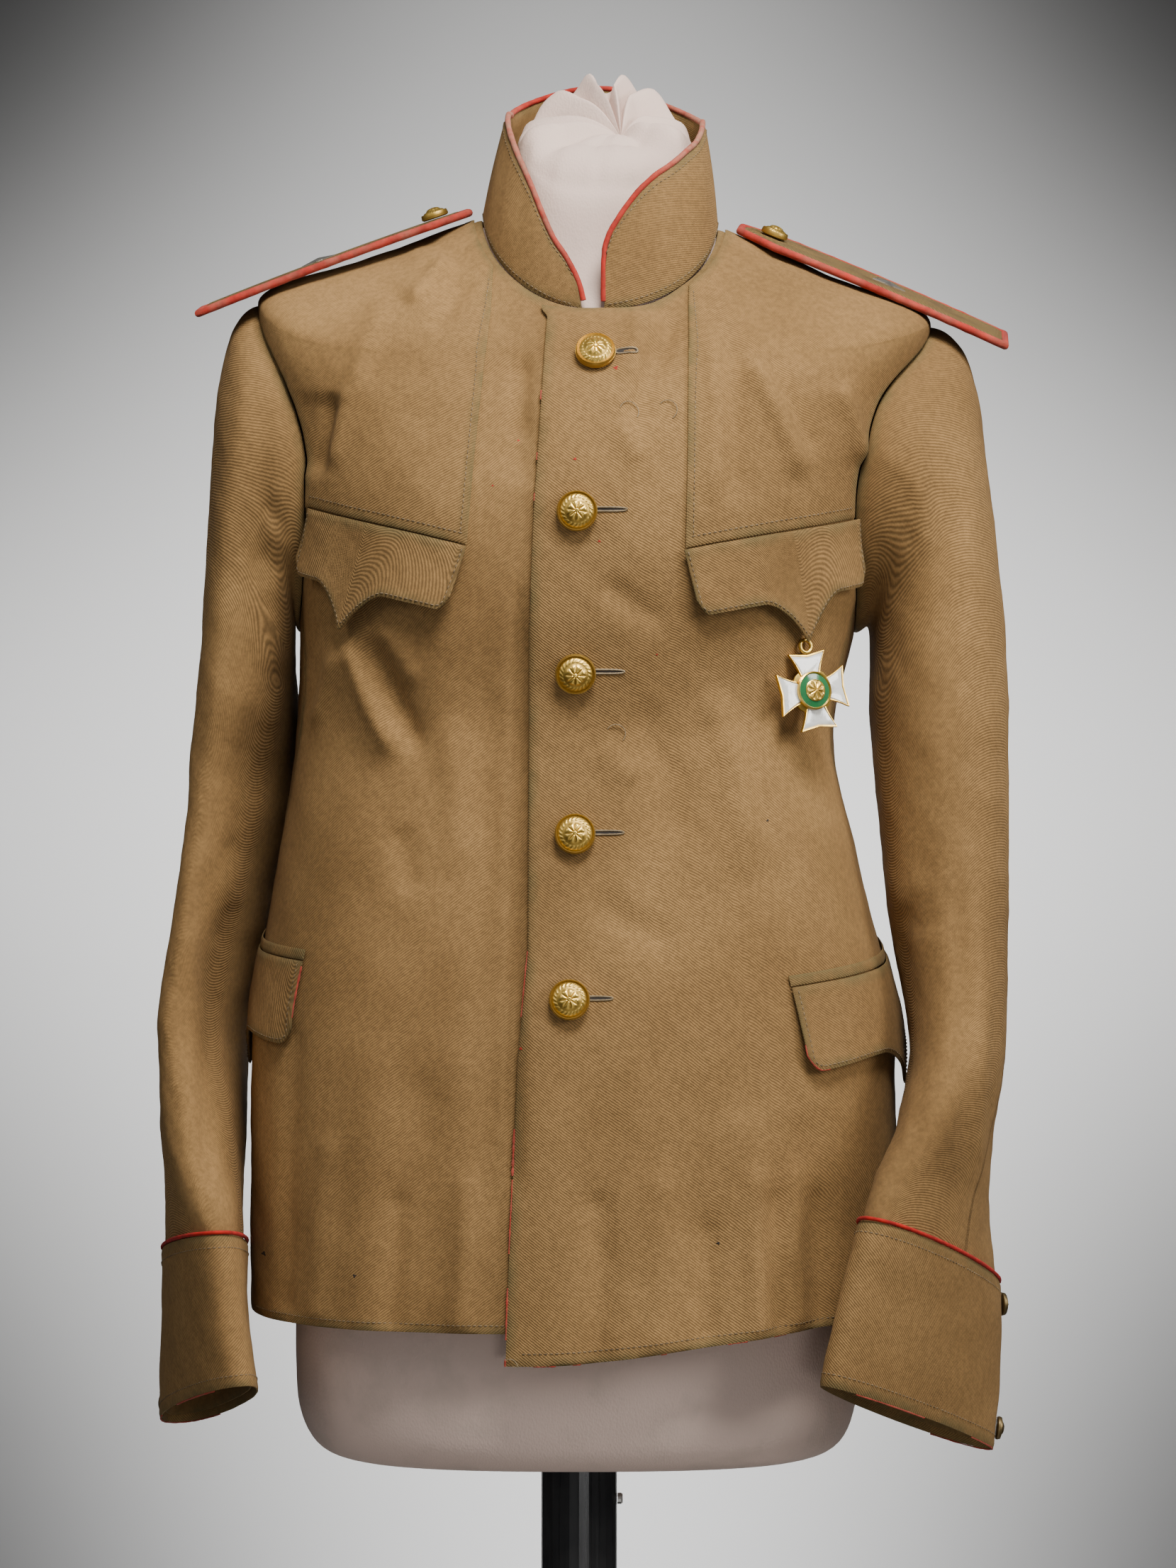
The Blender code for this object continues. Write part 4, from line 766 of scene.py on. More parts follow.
@dataclass
class ThreadRuns:
    """Rows of machine stitches, gathered into one mesh."""

    name: str
    pitch: float = 0.0030
    length: float = 0.0022
    radius: float = 0.00028
    points: list[Array] = field(default_factory=list)
    faces: list[Array] = field(default_factory=list)
    count: int = 0

    def add(self, path: Array, facing: Array) -> None:
        """Adds stitches along a path on a surface.

        Args:
            path: Points of the seam line.
            facing: The surface's normals there.
        """
        run = run_along(path)
        starts = np.arange(self.pitch * 0.3, run[-1] - self.length, self.pitch)
        if len(starts) < 2:
            return
        a = read_along(run, path, starts)
        b = read_along(run, path, starts + self.length)
        up = unit(read_along(run, facing, starts + self.length / 2))
        along = unit(b - a)
        across = np.cross(along, up)
        stations = []
        for share, rise, size in ((0.0, -0.4, 0.45), (0.25, 0.7, 1.0), (0.75, 0.7, 1.0), (1.0, -0.4, 0.45)):
            middle = a + (b - a) * share + up * rise * self.radius
            for sideways, upward in ((1.0, 0.0), (0.0, 1.0), (-1.0, 0.0), (0.0, -1.0)):
                stations.append(middle + (across * sideways + up * upward) * self.radius * size)
        block = np.stack(stations, axis=1)
        quads = []
        for level in range(3):
            for corner in range(4):
                low = level * 4 + corner
                side = level * 4 + (corner + 1) % 4
                quads.append((low, side, side + 4, low + 4))
        quads += [(3, 2, 1, 0), (12, 13, 14, 15)]
        shift = np.arange(len(starts))[:, None, None] * 16 + self.count
        self.faces.append((np.array(quads)[None] + shift).reshape(-1, 4))
        self.points.append(block.reshape(-1, 3))
        self.count += len(starts) * 16

    def build(self, material: bpy.types.Material) -> bpy.types.Object:
        """Joins all rows into one object."""
        thing = plain_mesh(self.name, np.concatenate(self.points), np.concatenate(self.faces), 80.0)
        return settle(thing, material, TWILL_SLOT)


class Nodes:
    """A small helper that adds and links shader nodes in one tree."""

    def __init__(self, tree: bpy.types.NodeTree) -> None:
        """Keeps the tree."""
        self.tree = tree

    def add(self, kind: str, **settings: object) -> bpy.types.Node:
        """Adds a node and sets its fields."""
        node = self.tree.nodes.new(kind)
        for name, value in settings.items():
            setattr(node, name, value)
        return node

    def link(self, start: bpy.types.NodeSocket, end: bpy.types.NodeSocket) -> None:
        """Links two sockets."""
        self.tree.links.new(start, end)

    def put(self, socket: bpy.types.NodeSocket, value: object) -> None:
        """Sets a socket from a value, or links it from another socket."""
        if isinstance(value, bpy.types.NodeSocket):
            self.link(value, socket)
        else:
            socket.default_value = value

    def math(
        self, operation: str, one: object, two: object = 0.0, clamp: bool = False
    ) -> bpy.types.NodeSocket:
        """A math node's value."""
        node = self.add("ShaderNodeMath", operation=operation, use_clamp=clamp)
        self.put(node.inputs[0], one)
        self.put(node.inputs[1], two)
        return node.outputs[0]

    def noise(
        self, vector: object, scale: object, detail: float = 3.0, rough: float = 0.5
    ) -> bpy.types.NodeSocket:
        """A noise texture's value."""
        node = self.add("ShaderNodeTexNoise")
        self.put(node.inputs["Vector"], vector)
        self.put(node.inputs["Scale"], scale)
        node.inputs["Detail"].default_value = detail
        node.inputs["Roughness"].default_value = rough
        return node.outputs["Fac"]

    def span(
        self, value: object, low: float, high: float, to_low: float = 0.0, to_high: float = 1.0
    ) -> bpy.types.NodeSocket:
        """A value carried from one range to another, clamped."""
        node = self.add("ShaderNodeMapRange")
        self.put(node.inputs["Value"], value)
        for socket, amount in zip(list(node.inputs)[1:5], (low, high, to_low, to_high)):
            socket.default_value = amount
        return node.outputs["Result"]

    def mix(self, share: object, one: object, two: object, blend: str = "MIX") -> bpy.types.NodeSocket:
        """A colour mix."""
        node = self.add("ShaderNodeMix", data_type="RGBA", blend_type=blend)
        self.put(node.inputs["Factor"], share)
        for socket, value in ((node.inputs[6], one), (node.inputs[7], two)):
            self.put(socket, (*value, 1.0) if isinstance(value, tuple) and len(value) == 3 else value)
        return node.outputs[2]

    def mapped(
        self, vector: object, scale: tuple[float, float, float], turn: float = 0.0
    ) -> bpy.types.NodeSocket:
        """A vector scaled and turned about Z."""
        node = self.add("ShaderNodeMapping")
        self.put(node.inputs["Vector"], vector)
        node.inputs["Rotation"].default_value = (0.0, 0.0, turn)
        node.inputs["Scale"].default_value = scale
        return node.outputs["Vector"]


def new_group(
    name: str, inputs: Sequence[tuple[str, str, object]], outputs: Sequence[tuple[str, str]]
) -> tuple:
    """Makes an empty shader node group.

    Args:
        name: The group's name.
        inputs: Name, socket kind and default of each input.
        outputs: Name and socket kind of each output.

    Returns:
        The tree, its helper, its input sockets and its output sockets.
    """
    tree = bpy.data.node_groups.new(name, "ShaderNodeTree")
    for title, kind, value in inputs:
        socket = tree.interface.new_socket(name=title, in_out="INPUT", socket_type=kind)
        if value is not None:
            socket.default_value = value
    for title, kind in outputs:
        tree.interface.new_socket(name=title, in_out="OUTPUT", socket_type=kind)
    nodes = Nodes(tree)
    start = nodes.add("NodeGroupInput")
    end = nodes.add("NodeGroupOutput")
    return tree, nodes, start.outputs, end.inputs


FLOAT = "NodeSocketFloat"
VECTOR = "NodeSocketVector"
COLOUR = "NodeSocketColor"


class Effects:
    """Node groups that more than one finish uses, built once each."""

    def __init__(self) -> None:
        """Builds every group."""
        self.twill = self.make_twill()
        self.mottle = self.make_mottle()
        self.edge_tint = self.make_edge_tint()
        self.tarnish = self.make_tarnish()

    def make_twill(self) -> bpy.types.NodeTree:
        """Diagonal ribs of a twill weave, with the threads that cross them."""
        tree, nodes, given, out = new_group(
            "TwillWeave",
            [("Vector", VECTOR, None), ("Ribs per metre", FLOAT, 830.0), ("Slub", FLOAT, 0.4)],
            [("Height", FLOAT), ("Rib", FLOAT)],
        )
        turned = nodes.mapped(given["Vector"], (1.0, 1.0, 1.0), math.radians(-52.0))
        apart = nodes.add("ShaderNodeSeparateXYZ")
        nodes.link(turned, apart.inputs[0])
        slub = nodes.noise(given["Vector"], 420.0, 2.0)
        shift = nodes.math("MULTIPLY", nodes.math("SUBTRACT", slub, 0.5), given["Slub"])
        phase = nodes.math("MULTIPLY", apart.outputs["X"], given["Ribs per metre"])
        phase = nodes.math("MULTIPLY", nodes.math("ADD", phase, shift), 2 * math.pi)
        rib = nodes.math("MULTIPLY_ADD", nodes.math("SINE", phase), 0.5)
        rib.node.inputs[2].default_value = 0.5
        cross = nodes.math("MULTIPLY", apart.outputs["Y"], given["Ribs per metre"])
        cross = nodes.math("SINE", nodes.math("MULTIPLY", cross, 2 * math.pi * 1.7))
        bead = nodes.math("MULTIPLY", cross, 0.16)
        nodes.link(nodes.math("ADD", rib, bead), out["Height"])
        nodes.link(rib, out["Rib"])
        return tree

    def make_mottle(self) -> bpy.types.NodeTree:
        """Three tones mixed by broad, middle and fine patches."""
        tree, nodes, given, out = new_group(
            "MottledTone",
            [("Vector", VECTOR, None), ("Dark", COLOUR, (0.1, 0.1, 0.1, 1.0)),
             ("Middle", COLOUR, (0.3, 0.3, 0.3, 1.0)), ("Light", COLOUR, (0.5, 0.5, 0.5, 1.0)),
             ("Broad", FLOAT, 9.0), ("Fine", FLOAT, 240.0)],
            [("Colour", COLOUR), ("Patch", FLOAT)],
        )
        broad = nodes.noise(given["Vector"], given["Broad"], 4.0)
        close = nodes.noise(given["Vector"], given["Fine"], 2.0, 0.7)
        patch = nodes.span(broad, 0.34, 0.66)
        tone = nodes.mix(patch, given["Dark"], given["Light"])
        tone = nodes.mix(0.5, given["Middle"], tone)
        speck = nodes.span(close, 0.35, 0.65, 0.86, 1.12)
        grey = nodes.add("ShaderNodeCombineColor")
        for socket in grey.inputs:
            nodes.link(speck, socket)
        nodes.link(nodes.mix(1.0, tone, grey.outputs[0], "MULTIPLY"), out["Colour"])
        nodes.link(patch, out["Patch"])
        return tree

    def make_edge_tint(self) -> bpy.types.NodeTree:
        """Tints a colour near a piece's edges, in broken patches."""
        tree, nodes, given, out = new_group(
            "EdgeTint",
            [("Colour", COLOUR, (0.3, 0.2, 0.1, 1.0)), ("Tint", COLOUR, (0.2, 0.2, 0.1, 1.0)),
             ("Vector", VECTOR, None), ("Width", FLOAT, 0.006), ("Strength", FLOAT, 0.5)],
            [("Colour", COLOUR)],
        )
        edge = nodes.add("ShaderNodeAttribute", attribute_name="edge")
        near = nodes.math("DIVIDE", edge.outputs["Fac"], given["Width"])
        near = nodes.math("SUBTRACT", 1.0, near, clamp=True)
        broken = nodes.span(nodes.noise(given["Vector"], 65.0, 3.0), 0.38, 0.62, 0.35, 1.0)
        mask = nodes.math("MULTIPLY", nodes.math("MULTIPLY", near, broken), given["Strength"], clamp=True)
        nodes.link(nodes.mix(mask, given["Colour"], given["Tint"]), out["Colour"])
        return tree

    def make_tarnish(self) -> bpy.types.NodeTree:
        """Spots and films of tarnish on metal, darker in its hollows."""
        tree, nodes, given, out = new_group(
            "Tarnish",
            [("Vector", VECTOR, None), ("Bright", COLOUR, (0.8, 0.6, 0.2, 1.0)),
             ("Dull", COLOUR, (0.2, 0.12, 0.04, 1.0)), ("Amount", FLOAT, 0.4), ("Relief", FLOAT, 0.5)],
            [("Colour", COLOUR), ("Roughness", FLOAT)],
        )
        spots = nodes.noise(given["Vector"], 900.0, 4.0, 0.6)
        film = nodes.noise(given["Vector"], 160.0, 3.0)
        film = nodes.math("MULTIPLY", nodes.span(film, 0.4, 0.7), given["Amount"])
        dots = nodes.math("MULTIPLY", nodes.span(spots, 0.58, 0.68), given["Amount"])
        hollow = nodes.math("SUBTRACT", 1.0, given["Relief"], clamp=True)
        dirt = nodes.math("MAXIMUM", nodes.math("MAXIMUM", film, dots), hollow)
        nodes.link(nodes.mix(dirt, given["Bright"], given["Dull"]), out["Colour"])
        nodes.link(nodes.span(dirt, 0.0, 1.0, 0.26, 0.62), out["Roughness"])
        return tree


def place_group(nodes: Nodes, tree: bpy.types.NodeTree, **values: object) -> bpy.types.NodeSocket:
    """Puts a group in a material.

    Args:
        nodes: The material's helper.
        tree: The group.
        values: Value or socket for each input, with _ for a space.

    Returns:
        The outputs of the group node.
    """
    node = nodes.add("ShaderNodeGroup", node_tree=tree)
    for name, value in values.items():
        if isinstance(value, tuple) and len(value) == 3:
            value = (*value, 1.0)
        nodes.put(node.inputs[name.replace("_", " ")], value)
    return node.outputs


def start_material(name: str) -> tuple[bpy.types.Material, Nodes, bpy.types.Node]:
    """A new node material with its helper and its main shader."""
    material = bpy.data.materials.new(name)
    material.use_nodes = True
    shader = material.node_tree.nodes["Principled BSDF"]
    return material, Nodes(material.node_tree), shader


def bump(nodes: Nodes, shader: bpy.types.Node, height: object, distance: float, strength: float) -> None:
    """Feeds a height to the shader's normal."""
    node = nodes.add("ShaderNodeBump")
    nodes.put(node.inputs["Height"], height)
    node.inputs["Distance"].default_value = distance
    node.inputs["Strength"].default_value = strength
    nodes.link(node.outputs["Normal"], shader.inputs["Normal"])


@dataclass(frozen=True)
class WoolTwill:
    """Matt wool twill, faded in patches, greener at its turned edges."""

    name: str = "wool_twill"
    dark: Colour = (0.150, 0.082, 0.028)
    middle: Colour = (0.258, 0.146, 0.052)
    light: Colour = (0.370, 0.218, 0.084)
    edge: Colour = (0.120, 0.098, 0.040)
    edge_strength: float = 0.75
    ribs: float = 830.0
    relief: float = 0.00020

    def make(self, effects: Effects) -> bpy.types.Material:
        """Builds the material."""
        material, nodes, shader = start_material(self.name)
        place = nodes.add("ShaderNodeTexCoord")
        uv = place.outputs["UV"]
        body = place.outputs["Object"]
        tone = place_group(
            nodes, effects.mottle, Vector=body, Dark=self.dark, Middle=self.middle, Light=self.light,
            Broad=8.0, Fine=330.0,
        )
        weave = place_group(nodes, effects.twill, Vector=uv, Ribs_per_metre=self.ribs)
        shade = nodes.span(weave["Rib"], 0.0, 1.0, 0.66, 1.24)
        grey = nodes.add("ShaderNodeCombineColor")
        for socket in grey.inputs:
            nodes.link(shade, socket)
        ribbed = nodes.mix(1.0, tone["Colour"], grey.outputs[0], "MULTIPLY")
        tinted = place_group(
            nodes, effects.edge_tint, Colour=ribbed, Tint=self.edge, Vector=body, Width=0.007,
            Strength=self.edge_strength,
        )
        nodes.link(tinted["Colour"], shader.inputs["Base Color"])
        shader.inputs["Roughness"].default_value = 0.88
        shader.inputs["Specular IOR Level"].default_value = 0.22
        shader.inputs["Sheen Weight"].default_value = 0.03
        shader.inputs["Sheen Roughness"].default_value = 0.45
        shader.inputs["Sheen Tint"].default_value = (0.78, 0.66, 0.50, 1.0)
        nap = nodes.noise(body, 620.0, 3.0, 0.65)
        pucker = nodes.noise(body, 70.0, 3.0)
        height = nodes.math("ADD", weave["Height"], nodes.math("MULTIPLY", nap, 0.7))
        height = nodes.math("ADD", height, nodes.math("MULTIPLY", pucker, 1.6))
        bump(nodes, shader, height, self.relief, 0.75)
        return material


@dataclass(frozen=True)
class PipingCord:
    """Red wool cord, rubbed pale where an attribute says so."""

    name: str = "piping_cord"
    red: Colour = (0.47, 0.016, 0.010)
    deep: Colour = (0.26, 0.010, 0.008)
    rubbed: Colour = (0.36, 0.20, 0.13)

    def make(self, effects: Effects) -> bpy.types.Material:
        """Builds the material."""
        material, nodes, shader = start_material(self.name)
        body = nodes.add("ShaderNodeTexCoord").outputs["Object"]
        patch = nodes.span(nodes.noise(body, 170.0, 4.0, 0.6), 0.35, 0.65)
        colour = nodes.mix(patch, self.deep, self.red)
        fade = nodes.add("ShaderNodeAttribute", attribute_name="fade")
        broken = nodes.span(nodes.noise(body, 210.0, 3.0), 0.3, 0.6, 0.45, 1.0)
        worn = nodes.math("MULTIPLY", fade.outputs["Fac"], broken, clamp=True)
        nodes.link(nodes.mix(worn, colour, self.rubbed), shader.inputs["Base Color"])
        shader.inputs["Roughness"].default_value = 0.9
        shader.inputs["Specular IOR Level"].default_value = 0.2
        shader.inputs["Sheen Weight"].default_value = 0.05
        bump(nodes, shader, nodes.noise(body, 1500.0, 3.0, 0.7), 0.0003, 0.7)
        return material


@dataclass(frozen=True)
class Thread:
    """Sewing thread, and the near-black painted shade laid in buttonhole slits and small holes."""

    name: str
    colour: Colour
    pale: Colour

    def make(self, effects: Effects) -> bpy.types.Material:
        """Builds the material."""
        material, nodes, shader = start_material(self.name)
        body = nodes.add("ShaderNodeTexCoord").outputs["Object"]
        patch = nodes.span(nodes.noise(body, 130.0, 3.0), 0.35, 0.65)
        nodes.link(nodes.mix(patch, self.colour, self.pale), shader.inputs["Base Color"])
        shader.inputs["Roughness"].default_value = 0.75
        bump(nodes, shader, nodes.noise(body, 2600.0, 2.0), 0.0001, 0.5)
        return material


@dataclass(frozen=True)
class Galloon:
    """Metal braid of a shoulder board: ribs across, zigzags along, aged brown."""

    name: str = "galloon"
    dark: Colour = (0.060, 0.034, 0.012)
    middle: Colour = (0.270, 0.170, 0.060)
    light: Colour = (0.560, 0.390, 0.150)

    def make(self, effects: Effects) -> bpy.types.Material:
        """Builds the material."""
        material, nodes, shader = start_material(self.name)
        place = nodes.add("ShaderNodeTexCoord")
        uv = place.outputs["UV"]
        apart = nodes.add("ShaderNodeSeparateXYZ")
        nodes.link(uv, apart.inputs[0])
        across = nodes.math("PINGPONG", nodes.math("MULTIPLY", apart.outputs["Y"], 230.0), 1.0)
        zig = nodes.math(
            "ADD", nodes.math("MULTIPLY", apart.outputs["X"], 420.0), nodes.math("MULTIPLY", across, 2.2)
        )
        ridge = nodes.math("SINE", nodes.math("MULTIPLY", zig, 2 * math.pi))
        ridge = nodes.span(ridge, -1.0, 1.0)
        fine = nodes.math("SINE", nodes.math("MULTIPLY", apart.outputs["Y"], 2 * math.pi * 1500.0))
        height = nodes.math("ADD", ridge, nodes.math("MULTIPLY", fine, 0.25))
        tone = place_group(
            nodes, effects.mottle, Vector=place.outputs["Object"], Dark=self.dark, Middle=self.middle,
            Light=self.light, Broad=60.0, Fine=700.0,
        )
        nodes.link(
            nodes.mix(nodes.span(ridge, 0.0, 1.0, 0.9, 0.0), tone["Colour"], self.dark),
            shader.inputs["Base Color"],
        )
        metal = nodes.span(tone["Patch"], 0.2, 1.0, 0.05, 0.55)
        nodes.link(metal, shader.inputs["Metallic"])
        shader.inputs["Roughness"].default_value = 0.52
        bump(nodes, shader, height, 0.0004, 0.8)
        return material


@dataclass(frozen=True)
class AgedMetal:
    """Gilt, brass, silver or steel with tarnish in its hollows."""

    name: str
    bright: Colour
    dull: Colour
    amount: float = 0.35

    def make(self, effects: Effects) -> bpy.types.Material:
        """Builds the material."""
        material, nodes, shader = start_material(self.name)
        body = nodes.add("ShaderNodeTexCoord").outputs["Object"]
        relief = nodes.add("ShaderNodeAttribute", attribute_name="relief")
        worn = place_group(
            nodes, effects.tarnish, Vector=body, Bright=self.bright, Dull=self.dull, Amount=self.amount,
            Relief=relief.outputs["Fac"],
        )
        nodes.link(worn["Colour"], shader.inputs["Base Color"])
        nodes.link(worn["Roughness"], shader.inputs["Roughness"])
        shader.inputs["Metallic"].default_value = 0.92
        bump(nodes, shader, nodes.noise(body, 1900.0, 3.0), 0.00008, 0.5)
        return material


@dataclass(frozen=True)
class Enamel:
    """Glassy enamel, a little uneven and chipped grey."""

    name: str
    colour: Colour
    worn: Colour

    def make(self, effects: Effects) -> bpy.types.Material:
        """Builds the material."""
        material, nodes, shader = start_material(self.name)
        body = nodes.add("ShaderNodeTexCoord").outputs["Object"]
        patch = nodes.span(nodes.noise(body, 260.0, 4.0, 0.6), 0.55, 0.75, 0.0, 0.7)
        nodes.link(nodes.mix(patch, self.colour, self.worn), shader.inputs["Base Color"])
        nodes.link(nodes.span(patch, 0.0, 0.7, 0.14, 0.4), shader.inputs["Roughness"])
        shader.inputs["Coat Weight"].default_value = 0.5
        bump(nodes, shader, nodes.noise(body, 380.0, 2.0), 0.00012, 0.4)
        return material


@dataclass(frozen=True)
class Jersey:
    """Cream jersey of the dress form, faintly stained."""

    name: str = "form_jersey"
    pale: Colour = (0.660, 0.500, 0.425)
    stain: Colour = (0.500, 0.400, 0.330)

    def make(self, effects: Effects) -> bpy.types.Material:
        """Builds the material."""
        material, nodes, shader = start_material(self.name)
        body = nodes.add("ShaderNodeTexCoord").outputs["Object"]
        spots = nodes.span(nodes.noise(body, 26.0, 5.0, 0.6), 0.52, 0.74, 0.0, 0.65)
        nodes.link(nodes.mix(spots, self.pale, self.stain), shader.inputs["Base Color"])
        shader.inputs["Roughness"].default_value = 0.85
        shader.inputs["Sheen Weight"].default_value = 0.1
        knit = nodes.add("ShaderNodeTexVoronoi")
        nodes.link(nodes.mapped(body, (1.0, 1.0, 0.6)), knit.inputs["Vector"])
        knit.inputs["Scale"].default_value = 900.0
        height = nodes.math("ADD", knit.outputs["Distance"], nodes.noise(body, 60.0, 3.0))
        bump(nodes, shader, height, 0.00025, 0.6)
        return material


@dataclass(frozen=True)
class SatinPaint:
    """Satin black paint with dust and light scratches."""

    name: str = "stand_paint"
    colour: Colour = (0.010, 0.010, 0.011)
    dust: Colour = (0.060, 0.058, 0.055)

    def make(self, effects: Effects) -> bpy.types.Material:
        """Builds the material."""
        material, nodes, shader = start_material(self.name)
        body = nodes.add("ShaderNodeTexCoord").outputs["Object"]
        cloud = nodes.span(nodes.noise(body, 14.0, 4.0, 0.6), 0.45, 0.8, 0.0, 0.5)
        streaks = nodes.noise(nodes.mapped(body, (420.0, 420.0, 9.0)), 1.0, 2.0)
        nodes.link(nodes.mix(cloud, self.colour, self.dust), shader.inputs["Base Color"])
        nodes.link(nodes.span(streaks, 0.3, 0.7, 0.24, 0.42), shader.inputs["Roughness"])
        bump(nodes, shader, nodes.noise(body, 700.0, 2.0), 0.0001, 0.3)
        return material


@dataclass(frozen=True)
class StudioPaper:
    """The pale floor and backdrop, with painted shade that darkens them out to the corners."""

    name: str = "studio_paper"
    brightest: float = 0.90
    middle_z: float = 0.69
    reach: tuple[float, float] = (0.549, 0.732)
    fall: tuple[float, float, float] = (0.26, 0.86, 2.10)

    def make(self, effects: Effects) -> bpy.types.Material:
        """Builds the material: pale in the middle, with painted shade darkening it out to the corners."""
        material, nodes, shader = start_material(self.name)
        body = nodes.add("ShaderNodeTexCoord").outputs["Object"]
        apart = nodes.add("ShaderNodeSeparateXYZ")
        nodes.link(body, apart.inputs[0])
        # Painted shade: the colour falls off from the middle of the view towards its edges and corners.
        across = nodes.math("DIVIDE", apart.outputs["X"], self.reach[0])
        up = nodes.math("DIVIDE", nodes.math("SUBTRACT", apart.outputs["Z"], self.middle_z), self.reach[1])
        wide = nodes.math("MULTIPLY", across, across)
        high = nodes.math("MULTIPLY", up, up)
        both = nodes.math("MULTIPLY", nodes.math("MULTIPLY", wide, high), self.fall[2])
        painted_falloff = nodes.math(
            "ADD", nodes.math("MULTIPLY", wide, self.fall[0]), nodes.math("MULTIPLY", high, self.fall[1])
        )
        painted_falloff = nodes.math("EXPONENT", nodes.math("MULTIPLY", nodes.math("ADD", painted_falloff, both), -1.0))
        soft = nodes.span(nodes.noise(body, 1.2, 2.0), 0.3, 0.7, 0.98, 1.02)
        shade = nodes.math("MULTIPLY", nodes.math("MULTIPLY", painted_falloff, soft), self.brightest)
        grey = nodes.add("ShaderNodeCombineColor")
        for socket in grey.inputs:
            nodes.link(shade, socket)
        nodes.link(grey.outputs[0], shader.inputs["Base Color"])
        shader.inputs["Roughness"].default_value = 0.95
        return material


class Finish(Protocol):
    """Anything that makes a material from the shared effects."""

    def make(self, effects: Effects) -> bpy.types.Material:
        """The finish's material."""


@dataclass
class Finishes:
    """Every material of the scene, made once."""

    effects: Effects = field(default_factory=Effects)

    def make(self, finish: Finish) -> bpy.types.Material:
        """The material of one finish."""
        return finish.make(self.effects)

    def __post_init__(self) -> None:
        """Builds the materials."""
        self.twill = self.make(WoolTwill())
        self.piping = self.make(PipingCord())
        self.thread = self.make(Thread("seam_thread", (0.120, 0.078, 0.036), (0.230, 0.160, 0.085)))
        self.pale_thread = self.make(Thread("hole_thread", (0.190, 0.135, 0.070), (0.300, 0.225, 0.130)))
        # slit_shadow is not a thread: it is near-black painted shade for the dark insides of buttonhole slits
        # and small holes.
        self.shadow = self.make(Thread("slit_shadow", (0.012, 0.008, 0.005), (0.025, 0.016, 0.010)))
        self.galloon = self.make(Galloon())
        self.gilt = self.make(AgedMetal("gilt", (0.93, 0.62, 0.14), (0.10, 0.045, 0.010), 0.35))
        self.brass = self.make(AgedMetal("dull_brass", (0.33, 0.24, 0.11), (0.060, 0.040, 0.018), 0.6))
        self.silver = self.make(AgedMetal("silver_thread", (0.70, 0.68, 0.63), (0.22, 0.20, 0.17), 0.4))
        self.steel = self.make(AgedMetal("wire", (0.62, 0.61, 0.58), (0.20, 0.19, 0.18), 0.3))
        self.white = self.make(Enamel("white_enamel", (0.78, 0.78, 0.74), (0.42, 0.39, 0.33)))
        self.green = self.make(Enamel("green_enamel", (0.020, 0.150, 0.050), (0.010, 0.060, 0.030)))
        self.jersey = self.make(Jersey())
        self.paint = self.make(SatinPaint())
        self.paper = self.make(StudioPaper())


